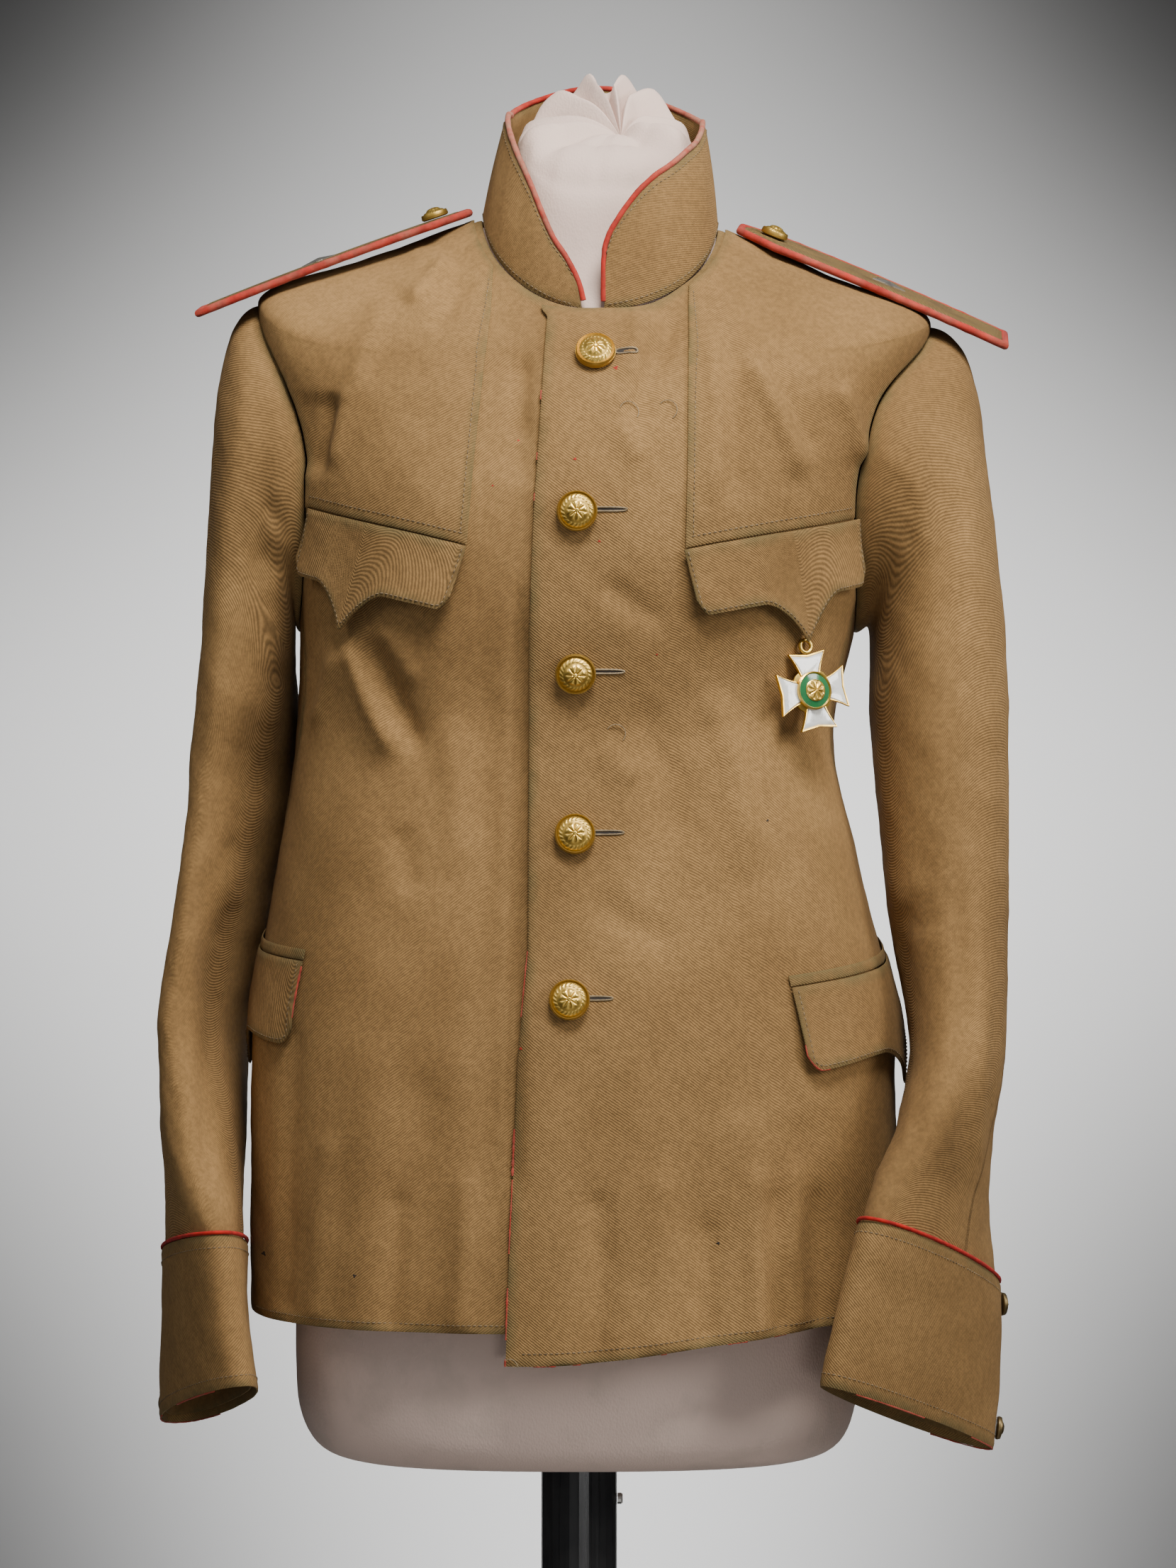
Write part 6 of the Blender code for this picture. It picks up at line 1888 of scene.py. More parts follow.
@dataclass
class Collar:
    """The standing collar with its piping, hook and eye."""

    finishes: Finishes
    threads: ThreadRuns
    places: tuple[tuple[float, float, float], ...] = (
        (1.5, 0.0040, 0.0001), (1.8, 0.0220, 0.0006), (2.7, 0.0330, 0.0010), (5.0, 0.0420, 0.0015),
        (11.0, 0.0530, 0.0025), (18.0, 0.0620, 0.0032), (27.0, 0.0670, 0.0040), (40.0, 0.0675, 0.0050),
        (55.0, 0.0635, 0.0065), (75.0, 0.0600, 0.0075), (90.0, 0.0590, 0.0075), (135.0, 0.0600, 0.0048),
        (180.0, 0.0620, 0.0044), (225.0, 0.0610, 0.0096), (270.0, 0.0580, 0.0150), (290.0, 0.0620, 0.0130),
        (300.0, 0.0650, 0.0116), (310.0, 0.0650, 0.0100), (320.0, 0.0620, 0.0070), (328.0, 0.0540, 0.0050),
        (334.0, 0.0425, 0.0040), (339.0, 0.0330, 0.0030), (344.0, 0.0265, 0.0022), (348.5, 0.0180, 0.0012),
        (350.5, 0.0125, 0.0008), (352.0, 0.0040, 0.0003),
    )
    cloth: float = 0.0026
    seat: float = 0.0001
    columns: int = 200
    rows: int = 30
    piping_radius: float = 0.0016
    piping_step: float = 0.0012
    clear: float = -0.0002
    fade_at: tuple[float, ...] = (0.0, 0.12, 0.20, 0.34, 0.5, 0.66, 0.8, 0.9, 1.0)
    fade: tuple[float, ...] = (0.1, 0.15, 0.9, 0.8, 0.1, 0.1, 0.9, 0.7, 0.1)
    hook_row: float = 0.72
    hook_aside: float = 0.0020
    hook_behind: float = 0.0014
    hook_wire: float = 0.0006
    hook_radius: float = 0.0026

    def grid(self) -> Array:
        """Outer points from the neck seam up."""
        at, edge, leaning = (np.array(row) for row in zip(*self.places))
        u = np.unique(
            np.concatenate([np.linspace(at[0], at[-1], self.columns), at, np.linspace(1.5, 6.0, 14)])
        )
        seat = SHELL.cloth(u, SHELL.neck, 0.0, fine=0.0)
        seat[:, 2] += self.seat
        height = np.interp(u, at, edge)
        row = np.interp(u, at, np.arange(len(at)))
        height = np.where((u > at[2]) & (u < at[-2]), smooth(edge, row), height)
        lean = np.interp(u, at, leaning)
        full = np.clip(height / 0.05, 0.0, 1.0)
        inward = np.stack([-np.sin(np.radians(u)), np.cos(np.radians(u)), 0 * u], axis=-1)
        rows = []
        for share in rolled(self.rows, 0.02):
            bulge = 0.0010 * math.sin(math.pi * share) * (1 + wander(seat, 0.06, 3.0)) * full
            rise = np.stack([0 * u, 0 * u, height * share], axis=-1)
            rows.append(seat + rise + inward * (lean * share - bulge)[:, None])
        return np.array(rows)

    def build(self) -> None:
        """Makes the collar and what is on it."""
        grid = self.grid()
        wall = Wall("collar", grid, self.cloth)
        cloth_piece(wall, self.finishes.twill, Held.STRETCHED)
        facing = wall.grid_facing()
        row = 3
        self.threads.add(grid[row, 4:-4], facing[row, 4:-4])
        self.threads.add(grid[-4, 4:-4], facing[-4, 4:-4])
        middle = grid[-1] - facing[-1] * self.cloth / 2
        step = unit(np.diff(middle, axis=0))
        along = unit(np.concatenate([step[:1], step[1:] + step[:-1], step[-1:]]))
        out = unit(np.cross(facing[row], along))
        path = middle + out * (self.piping_radius + self.clear)
        steps = np.flatnonzero(np.diff(run_along(path) // self.piping_step))
        kept = np.concatenate([[0], 1 + steps, [len(path) - 1]])
        path = path[np.unique(kept)]
        for _ in range(2):
            path[1:-1] = path[1:-1] * 0.5 + (path[2:] + path[:-2]) * 0.25
        u = np.linspace(0.0, 1.0, len(path))
        fade = np.interp(u, self.fade_at, self.fade)
        piping_piece("collar_piping", path, self.piping_radius, self.finishes, closed=False, fade=fade)
        self.hook_and_eye(grid)

    def hook_and_eye(self, grid: Array) -> None:
        """The wire hook and eye inside the collar's front ends."""
        row = int(len(grid) * self.hook_row)
        for node, x, way in (("collar_eye", 0.0180, 1.0), ("collar_hook", -0.0065, -1.0)):
            near = np.where(grid[row, :, 1] < -0.04, np.abs(grid[row, :, 0] - x), 1.0)
            aside = np.array([-way * self.hook_aside, self.cloth + self.hook_behind, 0.0])
            point = grid[row, int(np.argmin(near))] + aside
            turn = np.radians(np.linspace(-150.0, 150.0, 31))
            reach = [-way * self.hook_radius * np.cos(turn), 0 * turn, self.hook_radius * np.sin(turn)]
            loop = point + np.stack(reach, axis=-1)
            if way < 0:
                bill = loop[14:17] + np.array([[0.0, -0.0012, 0.0]]) * np.array([[1.0], [1.4], [1.0]])
                loop = np.concatenate([loop[:14], bill, loop[17:]])
            points, faces = tube(loop, self.hook_wire, 8)
            piece = plain_mesh(f"{node}_wire", points, faces)
            mark_points(piece, "relief", 1.0)
            settle(piece, self.finishes.steel, "wire_steel", node)


def relief_field(radius: Array, angle: Array, petals: int) -> Array:
    """A generic rosette inside a beaded wreath, between 0 and 1.

    Args:
        radius: Share of the button's radius.
        angle: Angle in radians.
        petals: Petals of the rosette.

    Returns:
        The height at each point.
    """
    petal = np.abs(np.cos(angle * petals / 2)) ** 0.7
    flower = petal * ramp(0.56, 0.40, radius) * ramp(0.06, 0.16, radius)
    heart = ramp(0.13, 0.07, radius)
    leaves = 0.5 + 0.5 * np.sin(angle * 22 + radius * 26)
    wreath = leaves * ramp(0.60, 0.66, radius) * ramp(0.84, 0.78, radius)
    return np.maximum(np.maximum(flower, heart), 0.8 * wreath)


@dataclass
class Button:
    """A domed shank button with a struck rosette."""

    node: str
    radius: float
    height: float
    petals: int = 8
    sectors: int = 96
    rings: int = 34
    thing: bpy.types.Object | None = None

    def __post_init__(self) -> None:
        """Builds the mesh about Z."""
        share = np.concatenate([np.linspace(0.0, 0.90, self.rings), [0.94, 0.97, 0.99, 1.0]])
        angle = np.arange(self.sectors) * 2 * np.pi / self.sectors
        grid_share, grid_angle = np.meshgrid(share, angle, indexing="ij")
        dome = self.height * (0.42 + 0.52 * (1 - np.clip(grid_share / 0.88, 0.0, 1.0) ** 2.2))
        rim = self.height * 0.16 * np.exp(-(((grid_share - 0.94) / 0.035) ** 2))
        mark = relief_field(grid_share, grid_angle, self.petals)
        z = dome + rim + self.height * 0.085 * mark
        z = np.where(grid_share > 0.985, self.height * 0.30, z)
        reach = self.radius * grid_share
        top = np.stack([reach * np.cos(grid_angle), reach * np.sin(grid_angle), z], axis=-1)
        side = [top[-1].copy(), top[-1].copy()]
        side[0][:, 2] = self.height * 0.12
        side[1][:, 2] = 0.0
        side[1][:, :2] *= 0.86
        rows = np.concatenate([top[1:], np.array(side)])
        points = np.concatenate([[top[0].mean(axis=0)], rows.reshape(-1, 3), [[0.0, 0.0, 0.0]]])
        faces = []
        count = self.sectors
        for sector in range(count):
            after = (sector + 1) % count
            faces.append((0, 1 + sector, 1 + after))
            for row in range(len(rows) - 1):
                low = 1 + row * count
                faces.append((low + sector, low + count + sector, low + count + after, low + after))
            last = 1 + (len(rows) - 1) * count
            faces.append((last + after, last + sector, len(points) - 1))
        self.thing = plain_mesh(f"{self.node}_struck", points, faces, 50.0)
        flat = np.concatenate(
            [mark[:1, 0], (0.45 + 0.55 * mark[1:]).reshape(-1), np.full(2 * count + 1, 0.5)]
        )
        mark_points(self.thing, "relief", flat)

    def place(self, point: Array, facing: Array, turn: float = 0.0) -> None:
        """Stands the button on a point along a direction."""
        self.thing.location = Vector(map(float, point))
        self.thing.rotation_mode = "QUATERNION"
        upright = Vector(map(float, facing)).to_track_quat("Z", "Y")
        self.thing.rotation_quaternion = upright @ Quaternion((0.0, 0.0, 1.0), turn)

    def dress(self, material: bpy.types.Material, slot: str) -> None:
        """Gives the button its metal and its solid's place."""
        settle(self.thing, material, slot, self.node)


@dataclass
class FrontClosure:
    """The five closing buttons, their buttonholes and what is left of the red edge."""

    finishes: Finishes
    spots: tuple[tuple[float, float], ...] = (
        (0.0090, 0.9213), (-0.0009, 0.8365), (-0.0017, 0.7502), (-0.0020, 0.6625), (-0.0050, 0.5737),
    )
    radius: float = 0.0110
    height: float = 0.0075
    seat: float = 0.92
    clear: float = 0.0007
    hole_from: tuple[float, ...] = (0.0200, 0.0060, 0.0090, 0.0090, 0.0060)
    hole_to: tuple[float, ...] = (0.0228, 0.0268, 0.0262, 0.0262, 0.0232)
    hole_half: float = 0.0013
    hole_sides: int = 72
    hole_thread: float = 0.00048
    red_stretches: tuple[tuple[float, float, float], ...] = (
        (0.600, 0.565, 0.5), (0.505, 0.480, 0.9), (0.478, 0.440, 0.6), (0.425, 0.405, 0.7),
        (0.398, 0.384, 0.9), (0.902, 0.897, 0.6), (0.868, 0.864, 0.5), (0.846, 0.842, 0.5),
    )
    red_hem: tuple[tuple[float, float], ...] = (
        (-0.024, -0.012), (-0.003, 0.001), (0.044, 0.047), (0.080, 0.090), (0.105, 0.112),
    )

    def build(self) -> None:
        """Makes the buttons, holes and worn edge."""
        for number, (x, z) in enumerate(self.spots, 1):
            self.button(number, x, z)
            self.buttonhole(number, x, z)
        self.edge_remnants()
        self.hem_remnants()

    def rise(self, x: float, z: float, point: Array, facing: Array) -> float:
        """How far the cloth under a button stands above its plane."""
        turn = np.linspace(0.0, 2 * np.pi, 24, endpoint=False)
        highest = 0.0
        for share in (0.5, 1.0):
            reach = share * self.radius * self.seat
            u, v = SHELL.uv_at(x + reach * np.cos(turn), z + reach * np.sin(turn))
            highest = max(highest, float(np.max((SHELL.top_front(u, v) - point) @ facing)))
        return highest

    def button(self, number: int, x: float, z: float) -> None:
        """One closing button."""
        u, v = SHELL.uv_at(np.array(x), np.array(z))
        point = SHELL.top_front(np.array([u]), np.array([v]))[0]
        facing = SHELL.normals(u, v)
        button = Button(f"front_button_{number}", self.radius, self.height)
        button.place(point + facing * (self.rise(x, z, point, facing) + self.clear), facing, number * 0.9)
        button.dress(self.finishes.gilt, "gilt_brass")

    def buttonhole(self, number: int, x: float, z: float) -> None:
        """A worked buttonhole beside a button: a ridge of thread round a slit whose dark inside is a flat
        sheet of painted shade.
        """
        start, end = x + self.hole_from[number - 1] - 0.009, x + self.hole_to[number - 1]
        wide = self.hole_half * (1.15 if number == 1 else 0.8)
        sides = self.hole_sides
        turn = np.linspace(0.0, 2 * np.pi, sides, endpoint=False)
        middle, half = (start + end) / 2, (end - start) / 2
        across = middle + half * np.sign(np.cos(turn)) * np.abs(np.cos(turn)) ** 0.5
        up = z + 0.0010 + wide * np.sign(np.sin(turn)) * np.abs(np.sin(turn)) ** 0.8
        u, v = SHELL.uv_at(across, up)
        ring = SHELL.top_front(u, v, 0.0003)
        normal = SHELL.normals(u, v)
        swell = self.hole_thread * (1 + 0.18 * np.sin(np.arange(sides) * 2.6))
        points, faces = tube(ring, swell, 7, closed=True)
        ridge = plain_mesh(f"buttonhole_{number}", points, faces, 80.0)
        settle(ridge, self.finishes.pale_thread, TWILL_SLOT)
        # The slit is a fan of near-black painted shade laid just above the cloth.
        slit = np.concatenate([[ring.mean(axis=0)], ring]) + 0.0001 * np.concatenate([normal[:1], normal])
        fan = [(0, 1 + k, 1 + (k + 1) % sides) for k in range(sides)]
        settle(plain_mesh(f"buttonhole_slit_{number}", slit, fan), self.finishes.shadow, TWILL_SLOT)

    def edge_remnants(self) -> None:
        """Short stretches of red cord left along the top front's edge."""
        for number, (high, low, size) in enumerate(self.red_stretches):
            z = np.linspace(high, low, 40)
            v = SHELL.v_at(np.full(z.shape, -8.0), z)
            u = SHELL.top_edge_u(v)
            path = SHELL.top_front(u, v, -0.0007)
            path[:, 0] -= 0.0003
            swell = 0.0011 * size * (0.45 + 0.55 * np.abs(wander(path, 0.011, 1.0 + number)))
            points, faces = tube(path, swell, 7)
            piece = plain_mesh(f"front_red_edge_{number}", points, faces)
            mark_points(piece, "fade", 0.3)
            settle(piece, self.finishes.piping, "red_piping")

    def hem_remnants(self) -> None:
        """Specks of red cord along the hem."""
        for number, (start, end) in enumerate(self.red_hem):
            x = np.linspace(start, end, 24)
            u = SHELL.u_at(x, np.zeros(x.shape))
            path = SHELL.top_front(u, np.zeros(x.shape), -0.0009)
            swell = 0.0007 * (0.5 + 0.5 * np.abs(wander(path, 0.008, 2.0 + number)))
            points, faces = tube(path, swell, 6)
            piece = plain_mesh(f"hem_red_edge_{number}", points, faces)
            mark_points(piece, "fade", 0.3)
            settle(piece, self.finishes.piping, "red_piping")


@dataclass
class WearMarks:
    """Red specks, small holes drawn as patches of painted shade, and loose threads on the fronts."""

    finishes: Finishes
    specks: tuple[tuple[float, float, float], ...] = (
        (0.0200, 0.9130, 0.0011), (-0.0020, 0.8640, 0.0008), (-0.0325, 0.8750, 0.0006),
        (-0.0460, 0.8500, 0.0006), (0.0110, 0.8205, 0.0007), (-0.0310, 0.5480, 0.0008),
        (0.0420, 0.7600, 0.0005),
    )
    # Small holes, each drawn as a near-black patch of painted shade.
    holes: tuple[tuple[float, float, float], ...] = (
        (-0.1700, 0.4350, 0.0011), (-0.1180, 0.4290, 0.0009), (0.0750, 0.4440, 0.0008),
        (0.1020, 0.6700, 0.0007),
    )
    loops: tuple[tuple[float, float, float], ...] = (
        (0.0310, 0.8870, 0.9), (0.0500, 0.8870, 0.5), (0.1270, 0.8920, 1.1), (-0.0360, 0.3880, 0.2),
        (0.0230, 0.7130, 0.7),
    )
    patch_sides: int = 18
    thread_step: float = 0.0007
    thread_radius: float = 0.00022

    def build(self) -> None:
        """Makes the marks."""
        for number, (x, z, size) in enumerate(self.specks):
            self.patch(f"red_speck_{number}", x, z, size, self.finishes.piping)
        # Each hole is a flat patch of painted shade in the near-black slit material.
        for number, (x, z, size) in enumerate(self.holes):
            self.patch(f"pinhole_{number}", x, z, size, self.finishes.shadow)
        for number, (x, z, lean) in enumerate(self.loops):
            self.loop(number, x, z, lean)

    def patch(self, name: str, x: float, z: float, size: float, material: bpy.types.Material) -> None:
        """A small uneven patch lying on the cloth: a red speck, or the painted shade of a small hole."""
        turn = np.linspace(0.0, 2 * np.pi, self.patch_sides, endpoint=False)
        reach = size * (1.0 + 0.35 * np.sin(turn * 3 + x * 900.0))
        u, v = SHELL.uv_at(x + reach * np.cos(turn), z + 0.8 * reach * np.sin(turn))
        ring = SHELL.top_front(u, v, 0.00012)
        points = np.concatenate([[ring.mean(axis=0) + [0.0, -0.0002, 0.0]], ring])
        fan = [(0, 1 + k, 1 + (k + 1) % self.patch_sides) for k in range(self.patch_sides)]
        piece = plain_mesh(name, points, fan)
        mark_points(piece, "fade", 0.1)
        settle(piece, material, TWILL_SLOT)

    def loop(self, number: int, x: float, z: float, lean: float) -> None:
        """A short loose end of thread, curled on the cloth."""
        share = np.linspace(0.0, 1.0, 26)
        bend = lean + 3.4 * share
        run = self.thread_step * np.stack([np.cos(bend), np.sin(bend)], axis=-1).cumsum(axis=0)
        u, v = SHELL.uv_at(x + run[:, 0], z + run[:, 1])
        lift = (0.0009 * np.sin(np.pi * share))[:, None]
        path = SHELL.top_front(u, v, 0.0004) + SHELL.normals(u, v) * lift
        points, faces = tube(path, self.thread_radius, 6)
        settle(plain_mesh(f"loose_thread_{number}", points, faces), self.finishes.pale_thread, TWILL_SLOT)


@dataclass(frozen=True)
class BoardCut:
    """Where a shoulder board lies."""

    inner_x: float
    inner_z: float
    outer_x: float
    outer_z: float
    tilt: float


@dataclass
class ShoulderBoard:
    """A stiff board: braid on top, red piping round it, a silver star and a small button."""

    side: Side
    finishes: Finishes
    cuts: dict[Side, BoardCut] = field(
        default_factory=lambda: {
            Side.LEFT: BoardCut(0.0940, 1.0042, 0.2390, 0.9432, 12.0),
            Side.RIGHT: BoardCut(-0.0650, 1.0137, -0.2125, 0.9592, 8.0),
        }
    )
    width: float = 0.062
    thick: float = 0.0042
    arch: float = 0.0012
    point: float = 0.13
    point_width: float = 0.40
    button_at: float = 0.105
    button_rise: float = 0.0009
    button_radius: float = 0.0078
    button_height: float = 0.0060
    star_at: float = 0.55
    star_radius: float = 0.0105
    piping_radius: float = 0.0022

    def axes(self) -> tuple[Array, Array, Array, Array]:
        """The ends of the middle line, the width and the upward direction."""
        cut = self.cuts[self.side]
        inner = np.array([cut.inner_x, 0.0, cut.inner_z])
        outer = np.array([cut.outer_x, 0.0, cut.outer_z])
        along = unit(outer - inner)
        level = np.array([0.0, -1.0, 0.0])
        up = np.cross(along, level)
        up = unit(up * np.sign(up[2]))
        tilt = math.radians(cut.tilt)
        width = level * math.cos(tilt) - up * math.sin(tilt)
        return inner, outer, width, up * math.cos(tilt) + level * math.sin(tilt)

    def at(self, along: Array, across: Array, lift: Array | float = 0.0) -> Array:
        """Points on the board's top."""
        inner, outer, width, facing = self.axes()
        along, across = np.broadcast_arrays(np.asarray(along, float), np.asarray(across, float))
        bulge = self.arch * 4 * along * (1 - along) + lift
        half = self.width / 2 * (1 - (1 - self.point_width) * np.clip(1 - along / self.point, 0.0, 1.0))
        line = inner + (outer - inner) * along[..., None]
        return line + width * (across * half)[..., None] + facing * bulge[..., None]

    def build(self) -> None:
        """Makes the board and what is on it."""
        label = self.side.label
        along = rolled(96, 0.012)
        across = rolled(44, 0.02)[:, None] * 2 - 1
        grid = self.at(along[None, :], across, 0.00035 * np.cos(across * np.pi * 3) ** 2)
        plain = Wall("", grid, 0.0).grid_facing()
        flip = float(np.sign(plain[..., 2].mean()))
        wall = Wall(f"board_{label}", grid, self.thick, flip=flip)
        piece = wall.build()
        piece.name = f"board_{label}_braid"
        settle(piece, self.finishes.galloon, "board_galloon", f"board_{label}")
        self.piping(label)
        _, _, width, _ = self.axes()
        spot = self.at(np.array(self.button_at), np.array(0.0))
        ahead = self.at(np.array(self.button_at + 0.01), np.array(0.0))
        facing = unit(np.cross(ahead - spot, width))
        facing = facing * np.sign(facing[2])
        button = Button(f"board_button_{label}", self.button_radius, self.button_height)
        button.place(spot + facing * self.button_rise, facing, 0.4)
        button.dress(self.finishes.gilt, "gilt_brass")
        self.star(label)

    def piping(self, label: str) -> None:
        """The red cord round the board."""
        inner, outer, width, up = self.axes()
        along = unit(outer - inner)
        off = self.piping_radius * 0.9
        stops = np.concatenate([[0.0, self.point / 2], np.linspace(self.point, 1.0, 40)])
        back = self.at(stops, np.full(stops.shape, -1.0)) - width * off
        front = self.at(stops[::-1], np.full(stops.shape, 1.0)) + width * off
        path = np.concatenate([back, front])
        for number in (0, len(stops) - 1, len(stops), 2 * len(stops) - 1):
            at_inner = number in (0, 2 * len(stops) - 1)
            path[number] += along * off * (-1.0 if at_inner else 1.0)
        path = path - up * self.thick * 0.5
        fade = 0.25 + 0.25 * wander(path, 0.03, 1.0)
        piping_piece(f"board_piping_{label}", path, self.piping_radius, self.finishes, closed=True, fade=fade)

    def star(self, label: str) -> None:
        """A plain five-pointed star in silver thread."""
        _, _, _, facing = self.axes()
        points = [self.at(np.array(self.star_at), np.array(0.0), 0.0022)]
        for corner in range(10):
            reach = self.star_radius * (1.0 if corner % 2 == 0 else 0.42)
            turn = math.radians(corner * 36.0 + 8.0)
            along = self.star_at + reach * math.cos(turn) / 0.156
            across = reach * math.sin(turn) / (self.width / 2)
            points.append(self.at(np.array(along), np.array(across), 0.0008))
        rim = [point - facing * 0.0010 for point in points[1:]]
        count = 10
        faces = [(0, 1 + k, 1 + (k + 1) % count) for k in range(count)]
        faces += [
            (1 + k, 1 + count + k, 1 + count + (k + 1) % count, 1 + (k + 1) % count) for k in range(count)
        ]
        piece = plain_mesh(f"board_star_{label}", np.array(points + rim), faces, 20.0)
        mark_points(piece, "relief", 0.8)
        settle(piece, self.finishes.silver, "board_galloon")


@dataclass
class Badge:
    """A generic enamelled cross: flared arms, gilt rims, a ringed centre and short rays."""

    finishes: Finishes
    spot: tuple[float, float] = (0.1215, 0.7395)
    turn: float = 28.0
    lean: float = 8.0
    upward: float = 0.10
    arm: float = 0.0215
    arm_half: float = 0.0115
    waist: float = 0.0055
    thick: float = 0.0024
    centre: float = 0.0105
    centre_height: float = 0.0022
    loop_ring: float = 0.0034
    loop_wire: float = 0.0011
    clear: float = 0.0007

    def outline(self, inset: float = 0.0) -> Array:
        """The cross seen flat, its arms' sides curved in, pulled in by inset."""
        corners = []
        for quarter in range(4):
            turn = quarter * math.pi / 2
            edge = []
            for share in np.linspace(0.0, 1.0, 7):
                out = self.waist + (self.arm - self.waist) * share
                aside = self.waist + (self.arm_half - self.waist) * share**1.5
                edge.append((out - inset * share, aside - inset * 0.8))
            notch = (self.arm * 0.93 - inset, 0.0)
            side = (
                [(out, -aside) for out, aside in edge] + [notch] + [(out, aside) for out, aside in edge[::-1]]
            )
            for out, aside in side:
                corners.append((out * math.cos(turn) - aside * math.sin(turn),
                                out * math.sin(turn) + aside * math.cos(turn)))
        return np.array(corners)

    def plate(self, name: str, levels: Sequence[tuple[float, float]]) -> bpy.types.Object:
        """A solid through outlines at given heights and insets."""
        rings = [np.column_stack([self.outline(inset), np.full(60, z)]) for z, inset in levels]
        count = len(rings[0])
        faces = []
        for level in range(len(rings) - 1):
            for k in range(count):
                after = (k + 1) % count
                low = level * count
                faces.append((low + k, low + after, low + count + after, low + count + k))
        faces.append(tuple(range(count))[::-1])
        faces.append(tuple(range((len(rings) - 1) * count, len(rings) * count)))
        return plain_mesh(name, np.concatenate(rings), faces, 30.0)

    def turned(
        self, name: str, profile: Sequence[tuple[float, float]], sides: int = 64, wave: float = 0.0
    ) -> bpy.types.Object:
        """A piece turned about Z from (radius, height) pairs, with an optional petal wave."""
        angle = np.arange(sides) * 2 * np.pi / sides
        rows = []
        for reach, z in profile:
            rise = z + wave * np.abs(np.cos(angle * 4)) * (1 if 0.0008 < reach < 0.005 else 0)
            rows.append(np.stack([reach * np.cos(angle), reach * np.sin(angle), rise + 0 * angle], axis=-1))
        faces = [tuple(range(sides))[::-1]]
        for row in range(len(rows) - 1):
            for k in range(sides):
                after = (k + 1) % sides
                faces.append(
                    (row * sides + k, row * sides + after, (row + 1) * sides + after, (row + 1) * sides + k)
                )
        faces.append(tuple(range((len(rows) - 1) * sides, len(rows) * sides)))
        return plain_mesh(name, np.concatenate(rows), faces, 40.0)

    def build(self) -> None:
        """Makes the badge and lays it against the chest."""
        turn = math.radians(self.turn)
        facing = unit(np.array([math.sin(turn), -math.cos(turn), self.upward]))
        u, v = SHELL.uv_at(np.array(self.spot[0]), np.array(self.spot[1]))
        spot = SHELL.cloth(u, v)
        around = np.linspace(0.0, 2 * np.pi, 24, endpoint=False)
        rise = 0.0
        for share in (0.5, 1.0):
            reach = share * self.arm
            near = SHELL.uv_at(self.spot[0] + reach * np.cos(around), self.spot[1] + reach * np.sin(around))
            rise = max(rise, float(np.max((SHELL.top_front(*near) - spot) @ facing)))
        spot = spot + facing * (rise + self.clear)
        pose = Vector(map(float, facing)).to_track_quat("Z", "Y")
        pose = pose @ Quaternion((0.0, 0.0, 1.0), math.radians(self.lean))
        thick = self.thick
        pieces = [
            (self.plate("badge_cross_rim",
                        ((0.0, 0.0004), (thick * 0.25, 0.0), (thick * 0.72, 0.0), (thick, 0.0003),
                         (thick, 0.0009), (thick * 0.7, 0.0011))),
             self.finishes.gilt, "gilt_brass", ()),
            (self.plate("badge_cross_enamel",
                        ((thick * 0.2, 0.0013), (thick * 0.78, 0.0012), (thick * 0.98, 0.0024))),
             self.finishes.white, "white_enamel", ("badge_cross",)),
            (self.turned("badge_rays", ((0.0128, 0.0), (0.0128, thick * 0.5), (0.0100, thick * 0.95)), 16),
             self.finishes.gilt, "gilt_brass", ()),
        ]
        base = thick + 0.0003
        high = self.centre_height
        rim = self.centre
        pieces += [
            (self.turned("badge_ring_gilt",
                         ((rim, base), (rim, base + high * 0.7), (rim - 0.0006, base + high * 0.9),
                          (rim - 0.0012, base + high * 0.6), (rim - 0.0014, base + 0.0001))),
             self.finishes.gilt, "gilt_brass", ()),
            (self.turned("badge_ring_green", ((rim - 0.0013, base), (rim - 0.0013, base + high * 0.5),
                                              (rim - 0.0045, base + high * 0.8), (rim - 0.0048, base))),
             self.finishes.green, "green_enamel", ("badge_centre",)),
            (self.turned("badge_rosette",
                         ((0.0060, base), (0.0060, base + high * 0.95), (0.0054, base + high * 1.15),
                          (0.0048, base + high), (0.0036, base + high * 1.1), (0.0022, base + high * 1.15),
                          (0.0011, base + high * 1.35), (0.0004, base + high * 1.4)), 64, 0.0005),
             self.finishes.gilt, "gilt_brass", ()),
        ]
        for piece, material, slot, nodes in pieces:
            mark_points(piece, "relief", 0.9)
            piece.location = Vector(map(float, spot))
            piece.rotation_mode = "QUATERNION"
            piece.rotation_quaternion = pose
            settle(piece, material, slot, *nodes)
        self.loop(spot, facing, pose)

    def loop(self, spot: Array, facing: Array, pose: Quaternion) -> None:
        """The round loop above the cross."""
        upward = np.array(pose @ Vector((0.0, 1.0, 0.0)))
        sideways = np.array(pose @ Vector((1.0, 0.0, 0.0)))
        middle = spot + facing * self.thick + upward * (self.arm + self.loop_ring - self.loop_wire * 0.2)
        turn = np.linspace(0.0, 2 * np.pi, 40, endpoint=False)
        path = middle + self.loop_ring * (np.outer(np.cos(turn), sideways) + np.outer(np.sin(turn), upward))
        points, faces = tube(path, self.loop_wire, 10, closed=True)
        piece = plain_mesh("badge_loop_ring", points, faces)
        mark_points(piece, "relief", 0.95)
        settle(piece, self.finishes.gilt, "gilt_brass", "badge_loop")


